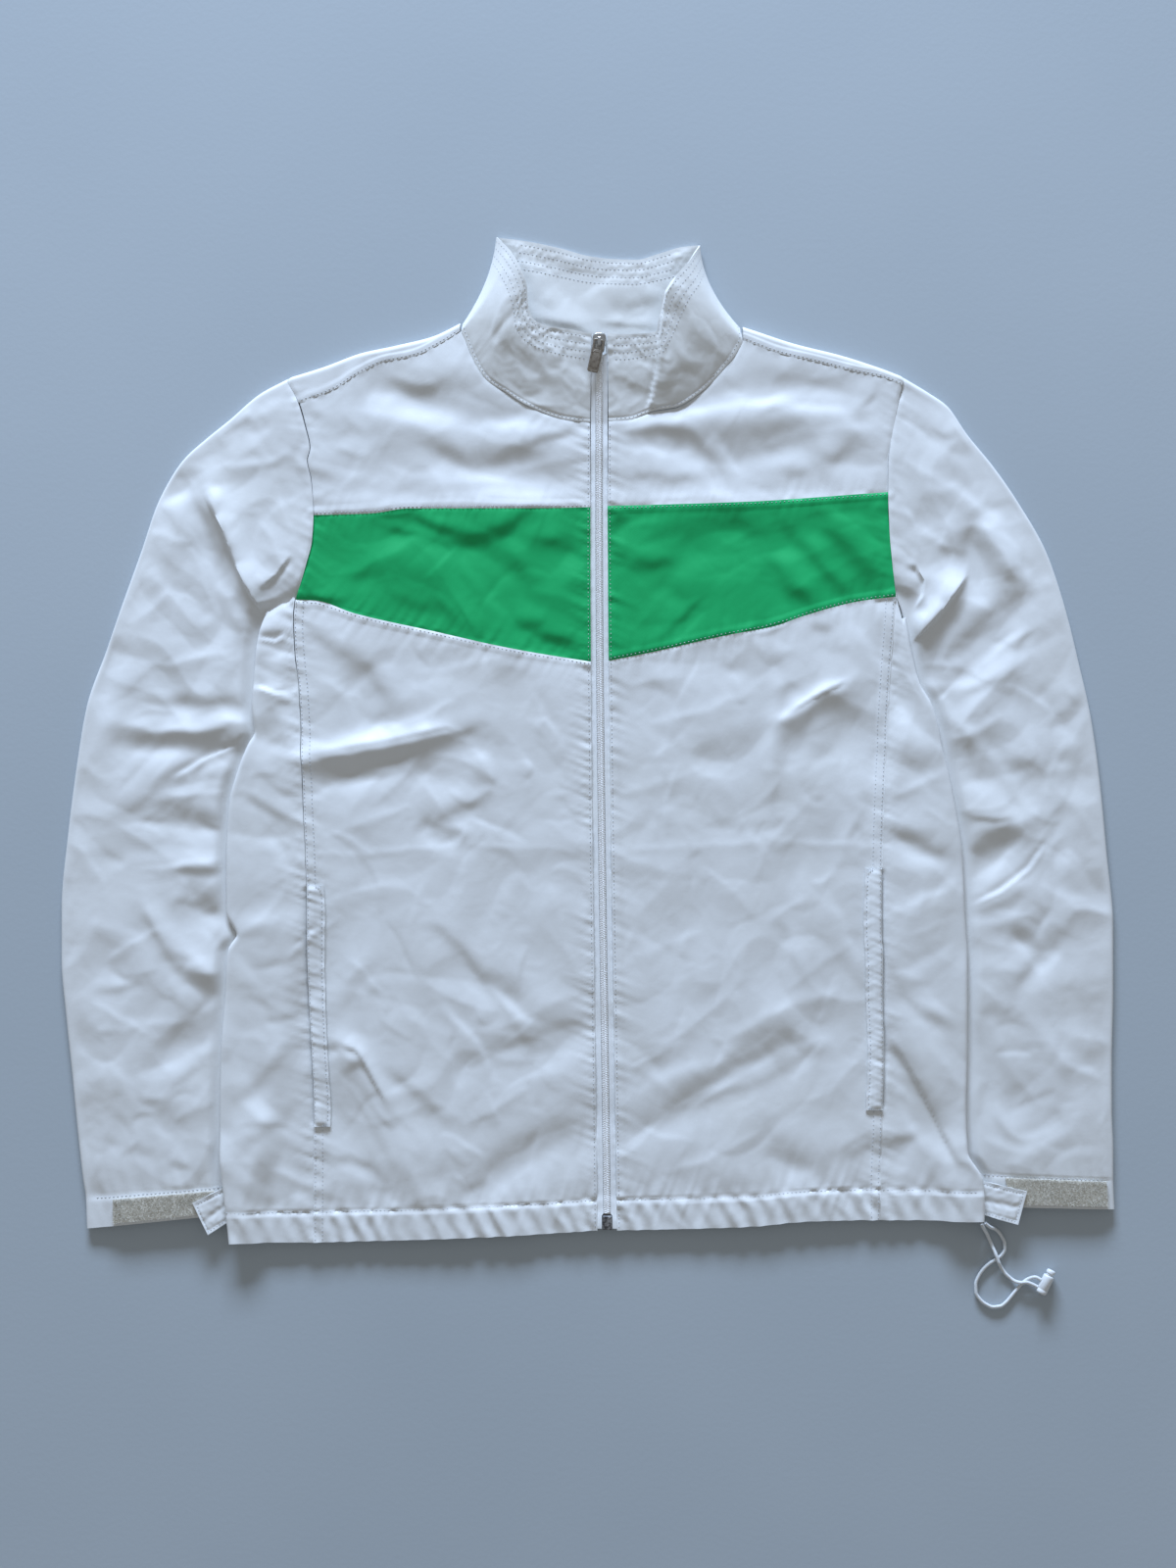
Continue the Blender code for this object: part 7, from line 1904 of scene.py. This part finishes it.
def build_lock(looks):
    """The barrel of the cord lock and its button, turned on a lathe, with a shallow groove round the
    barrel.
    """
    bottom, top = np.array(LOCK_BOTTOM), np.array(LOCK_TOP)
    length = float(np.linalg.norm(top - bottom))
    way = (top - bottom) / length
    side = np.array([way[1], -way[0]])
    sides = 48

    def turned(name, profile, node):
        rows = []
        for run, radius in profile:
            turn = np.linspace(0, 2 * math.pi, sides, endpoint=False)
            spot = bottom + way * run + side[None] * (radius * np.cos(turn))[:, None]
            rows.append(np.column_stack([spot, LOCK_Z + radius * np.sin(turn)]))
        rows = np.array(rows)
        faces = grid(len(rows), sides, closed=True)[..., ::-1].reshape(-1, 4).tolist()
        last = sides * (len(rows) - 1)
        faces += [list(range(sides)), list(range(last, last + sides))[::-1]]
        return dress(name, rows.reshape(-1, 3), faces, looks["plastic"], (node,), sharp=35)

    half, thin = LOCK_THICK / 2, LOCK_BUTTON_THICK / 2
    barrel = length - LOCK_BUTTON
    body = turned("cord_lock_barrel", (
        (0.0, half - 1.5), (0.12, half - 1.0), (0.5, half - 0.4), (1.1, half - 0.08), (1.8, half),
        (3.2, half), (3.5, half - 0.18), (3.9, half - 0.18), (4.2, half), (barrel - 2.2, half),
        (barrel - 1.0, half - 0.06), (barrel - 0.35, half - 0.35), (barrel, half - 0.9),
    ), "cord_lock_body")
    start = barrel + SEAM_GAP
    button = turned("cord_lock_press", (
        (start, thin - 0.9), (start + 1.2, thin - 0.9), (start + 1.5, thin - 0.25), (start + 1.8, thin),
        (length - 1.2, thin), (length - 0.5, thin - 0.2), (length - 0.12, thin - 0.6), (length, thin - 1.1),
    ), "cord_lock_button")
    return body, button


# ---- looks -------------------------------------------------------------------------------------
class Look:
    """A material built from nodes, one call for each."""

    def __init__(self, name):
        self.material = bpy.data.materials.new(name)
        self.material.use_nodes = True
        self.tree = self.material.node_tree
        self.shader = self.tree.nodes["Principled BSDF"]
        self.place = self.tree.nodes.new("ShaderNodeTexCoord").outputs["Object"]

    def add(self, kind, **values):
        node = self.tree.nodes.new("ShaderNode" + kind)
        for key, value in values.items():
            if hasattr(node, key):
                setattr(node, key, value)
            else:
                name = int(key[1:]) if key[1:].isdigit() else key.replace("_", " ")
                socket = node.inputs[name]
                if hasattr(value, "is_output"):
                    self.tree.links.new(value, socket)
                else:
                    socket.default_value = value
        return node

    def noise(self, scale, detail=3.0, roughness=0.55, stretch=(1, 1, 1)):
        where = self.add("Mapping", Vector=self.place, Scale=stretch).outputs[0]
        made = self.add("TexNoise", Vector=where, Scale=scale, Detail=detail, Roughness=roughness)
        return made.outputs[0]

    def maths(self, operation, a, b=0.0):
        return self.add("Math", operation=operation, i0=a, i1=b).outputs[0]

    def ramp(self, value, low, high, to_low=0.0, to_high=1.0):
        node = self.add("MapRange", Value=value)
        node.inputs["From Min"].default_value, node.inputs["From Max"].default_value = low, high
        node.inputs["To Min"].default_value, node.inputs["To Max"].default_value = to_low, to_high
        return node.outputs[0]

    def blend(self, factor, a, b):
        node = self.tree.nodes.new("ShaderNodeMix")
        node.data_type = "RGBA"
        for socket, value in zip((node.inputs[0], node.inputs[6], node.inputs[7]), (factor, a, b)):
            if hasattr(value, "is_output"):
                self.tree.links.new(value, socket)
            else:
                socket.default_value = (*value, 1) if socket is not node.inputs[0] else value
        return node.outputs[2]

    def bump(self, height, strength, distance, after=None):
        node = self.add("Bump", Height=height, Strength=strength, Distance=distance)
        if after is not None:
            self.tree.links.new(after, node.inputs["Normal"])
        return node.outputs[0]

    def finish(self, colour, roughness, normal=None, **values):
        for name, value in (("Base Color", colour), ("Roughness", roughness), ("Normal", normal)):
            socket = self.shader.inputs[name]
            if hasattr(value, "is_output"):
                self.tree.links.new(value, socket)
            elif value is not None:
                socket.default_value = (*value, 1) if name == "Base Color" else value
        for name, value in values.items():
            socket = self.shader.inputs[name.replace("_", " ")]
            if hasattr(value, "is_output"):
                self.tree.links.new(value, socket)
            else:
                socket.default_value = value
        return self.material


def weave(look, pitch=0.0011):
    """The height of a plain weave, from two crossing waves of threads."""
    scale = 2 * math.pi / pitch
    x = look.add("SeparateXYZ", Vector=look.place)
    warp = look.maths("SINE", look.maths("MULTIPLY", x.outputs[0], scale))
    weft = look.maths("SINE", look.maths("MULTIPLY", x.outputs[1], scale))
    return look.maths("MULTIPLY", warp, weft)


def cloth_look(name, colour, shade, sheen=0.1, crinkle=0.5, roughness=0.52, tint=0.5):
    look = Look(name)
    fine = look.noise(420.0, 3.0, 0.55)
    crease = look.noise(60.0, 2.0, 0.45, (1.0, 0.6, 1.0))
    wide = look.noise(9.0, 3.0, 0.6)
    spot = look.noise(30.0, 2.0, 0.5)
    ridged = look.maths("ABSOLUTE", look.maths("SUBTRACT", crease, 0.5))
    normal = look.bump(weave(look), 0.12, 0.0003)
    normal = look.bump(fine, 0.10, 0.0004, normal)
    normal = look.bump(ridged, 0.2 * crinkle, 0.0030, normal)
    dirt = look.maths("MULTIPLY", look.ramp(wide, 0.48, 0.72), look.ramp(spot, 0.40, 0.70, 0.3, 1.0))
    mixed = look.blend(look.maths("MULTIPLY", dirt, tint), colour, shade)
    rough = look.ramp(fine, 0.3, 0.7, roughness - 0.06, roughness + 0.06)
    return look.finish(mixed, rough, normal, Sheen_Weight=sheen, Sheen_Roughness=0.45,
                       Specular_IOR_Level=0.35)


def build_looks():
    looks = {}
    looks["cloth"] = cloth_look("woven_white", (0.74, 0.75, 0.745), (0.69, 0.69, 0.66))
    looks["green"] = cloth_look("woven_green", (0.001, 0.40, 0.115), (0.001, 0.33, 0.085), 0.02, 0.4, 0.60)
    # The collar's copy of the white cloth is a little warmer than the body's: painted warm shade, for the
    # collar that lies turned away from the window.
    looks["collar"] = cloth_look("collar_white_painted_warm_shade", (0.74, 0.745, 0.725), (0.69, 0.68, 0.63), 0.1, 0.7)
    looks["trim"] = cloth_look("trim_white", (0.77, 0.785, 0.785), (0.71, 0.71, 0.68), 0.1, 0.5)
    looks["tape"] = cloth_look("tape_white", (0.82, 0.84, 0.85), (0.76, 0.76, 0.71), 0.1, 0.3, 0.7)

    # The thread is given a grey colour, darker than the cloth: painted shade that stands for the dark dots
    # of the needle holes and the shadows beside each stitch.
    look = Look("thread_painted_shade")
    twist = look.noise(2600.0, 1.0)
    rough = look.ramp(twist, 0.3, 0.7, 0.5, 0.7)
    looks["thread"] = look.finish((0.50, 0.53, 0.57), rough, look.bump(twist, 0.3, 0.0002))

    look = Look("loop_pile")
    tuft, wide = look.noise(900.0, 3.0), look.noise(60.0, 2.0)
    mixed = look.blend(look.ramp(tuft, 0.3, 0.7), (0.62, 0.59, 0.50), (0.76, 0.73, 0.65))
    mixed = look.blend(look.ramp(wide, 0.45, 0.75, 0.0, 0.5), mixed, (0.55, 0.53, 0.46))
    looks["loop"] = look.finish(mixed, 0.95, look.bump(tuft, 0.6, 0.0006), Sheen_Weight=0.4)

    look = Look("coil_white")
    rub = look.noise(300.0, 2.0)
    mixed = look.blend(look.ramp(rub, 0.45, 0.75), (0.95, 0.96, 0.97), (0.88, 0.89, 0.88))
    normal = look.bump(look.noise(1800.0, 2.0), 0.15, 0.0002)
    looks["coil"] = look.finish(mixed, 0.34, normal, Coat_Weight=0.15)

    for name, bright, worn, rough in (
        ("metal", (0.36, 0.32, 0.27), (0.20, 0.165, 0.13), 0.40),
        ("slider", (0.55, 0.545, 0.53), (0.30, 0.28, 0.25), 0.30),
        ("dark", (0.10, 0.10, 0.105), (0.42, 0.42, 0.42), 0.42),
    ):
        look = Look("worn_" + name)
        patchy, scratch = look.noise(330.0, 4.0, 0.65), look.noise(900.0, 3.0, 0.6, (1.0, 0.12, 1.0))
        mixed = look.blend(look.ramp(patchy, 0.42, 0.62), bright, worn)
        rough = look.ramp(patchy, 0.35, 0.65, rough - 0.08, rough + 0.18)
        looks[name] = look.finish(mixed, rough, look.bump(scratch, 0.25, 0.0003), Metallic=0.85)

    look = Look("elastic_braid")
    fine = look.noise(1500.0, 3.0)
    mixed = look.blend(look.ramp(fine, 0.35, 0.7), (0.74, 0.77, 0.79), (0.60, 0.61, 0.60))
    looks["cord"] = look.finish(mixed, 0.75, look.bump(fine, 0.4, 0.0003), Sheen_Weight=0.3)

    look = Look("moulded_white")
    grain = look.noise(700.0, 2.0)
    mixed = look.blend(look.ramp(grain, 0.4, 0.75, 0.0, 0.4), (0.76, 0.78, 0.79), (0.62, 0.62, 0.59))
    rough = look.ramp(grain, 0.3, 0.7, 0.28, 0.42)
    looks["plastic"] = look.finish(mixed, rough, look.bump(grain, 0.1, 0.0002))

    look = Look("painted_floor")
    wide, fine = look.noise(2.2, 3.0), look.noise(260.0, 3.0)
    mixed = look.blend(look.ramp(wide, 0.35, 0.65), (0.405, 0.455, 0.490), (0.430, 0.480, 0.515))
    looks["floor"] = look.finish(mixed, 0.8, look.bump(fine, 0.1, 0.0006))
    return looks


# ---- the studio --------------------------------------------------------------------------------
FRAME_TALL = 1600 * PIXEL * MM
VIEW_Y = photo(600, 800)[1] * MM
CAMERA_HEIGHT = 1.62
SENSOR = 36
FLOOR_HALF, FLOOR_CELLS = 6.0, 12
WINDOW_SIZE, WINDOW_ENERGY, WINDOW_COLOUR = (2.3, 0.8), 450, (0.60, 0.75, 1.0)
WINDOW_SPOT = (-0.45, 4.4, 1.3)
ROOM_COLOUR, ROOM_STRENGTH = (0.93, 0.965, 1.0, 1), 0.32


def build_studio(looks):
    eye = bpy.data.cameras.new("photo_camera")
    eye.sensor_fit, eye.sensor_height = "VERTICAL", SENSOR
    eye.lens = SENSOR * CAMERA_HEIGHT / FRAME_TALL
    eye.clip_end = 20
    camera = bpy.data.objects.new("photo_camera", eye)
    camera.location = (0, VIEW_Y, CAMERA_HEIGHT)
    bpy.context.scene.collection.objects.link(camera)
    bpy.context.scene.camera = camera

    at = np.linspace(-FLOOR_HALF, FLOOR_HALF, FLOOR_CELLS + 1)
    points = [(x, y, -0.0005) for y in at for x in at]
    faces = grid(FLOOR_CELLS + 1, FLOOR_CELLS + 1).reshape(-1, 4).tolist()
    mesh = bpy.data.meshes.new("floor")
    mesh.from_pydata(points, [], faces)
    mesh.materials.append(looks["floor"])
    floor = bpy.data.objects.new("floor", mesh)
    bpy.context.scene.collection.objects.link(floor)

    lamp = bpy.data.lights.new("window", "AREA")
    lamp.shape, lamp.size, lamp.size_y = "RECTANGLE", *WINDOW_SIZE
    lamp.energy, lamp.color = WINDOW_ENERGY, WINDOW_COLOUR
    window = bpy.data.objects.new("window", lamp)
    window.location = WINDOW_SPOT
    window.rotation_euler = (-Vector(WINDOW_SPOT)).to_track_quat("-Z", "Y").to_euler()
    bpy.context.scene.collection.objects.link(window)

    world = bpy.data.worlds.new("room")
    bpy.context.scene.world = world
    world.use_nodes = True
    ground = world.node_tree.nodes["Background"]
    ground.inputs["Color"].default_value = ROOM_COLOUR
    ground.inputs["Strength"].default_value = ROOM_STRENGTH
    bpy.context.scene.view_settings.view_transform = "Standard"


def build_cords(looks):
    over, over_line = build_cord("drawcord_over", CORD_OVER_ROUTE, looks["cord"])
    under, under_line = build_cord("drawcord_under", CORD_UNDER_ROUTE, looks["cord"])
    lock, press = build_lock(looks)
    for piece, line, end, pieces in (
        (over, over_line, "fitting", (lock, press)),
        (under, under_line, "object", ()),
    ):
        length = float(np.sum(np.linalg.norm(np.diff(line, axis=0), axis=1)))
        tuple(line[0])
        [tuple(p) for p in line[::2]]
        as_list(pieces)


def build_jacket():
    looks = build_looks()
    build_studio(looks)
    build_cords(looks)
    tabs, welts, sleeves = {}, {}, {}
    for side in ("right", "left"):
        build_fronts(side, looks)
        build_side_panel(side, looks)
        sleeves[side] = build_sleeve(side, looks)
        welts[side] = build_welt(side, looks)
        build_loop_strip(side, *sleeves[side], looks)
        tabs[side] = build_cuff_tab(side, *sleeves[side], looks)
    build_back(looks)
    collar_points = build_collar(looks)
    build_stitches(looks, welts, sleeves, tabs, collar_points)
    build_zip(looks)
    build_fittings(looks)


build_jacket()
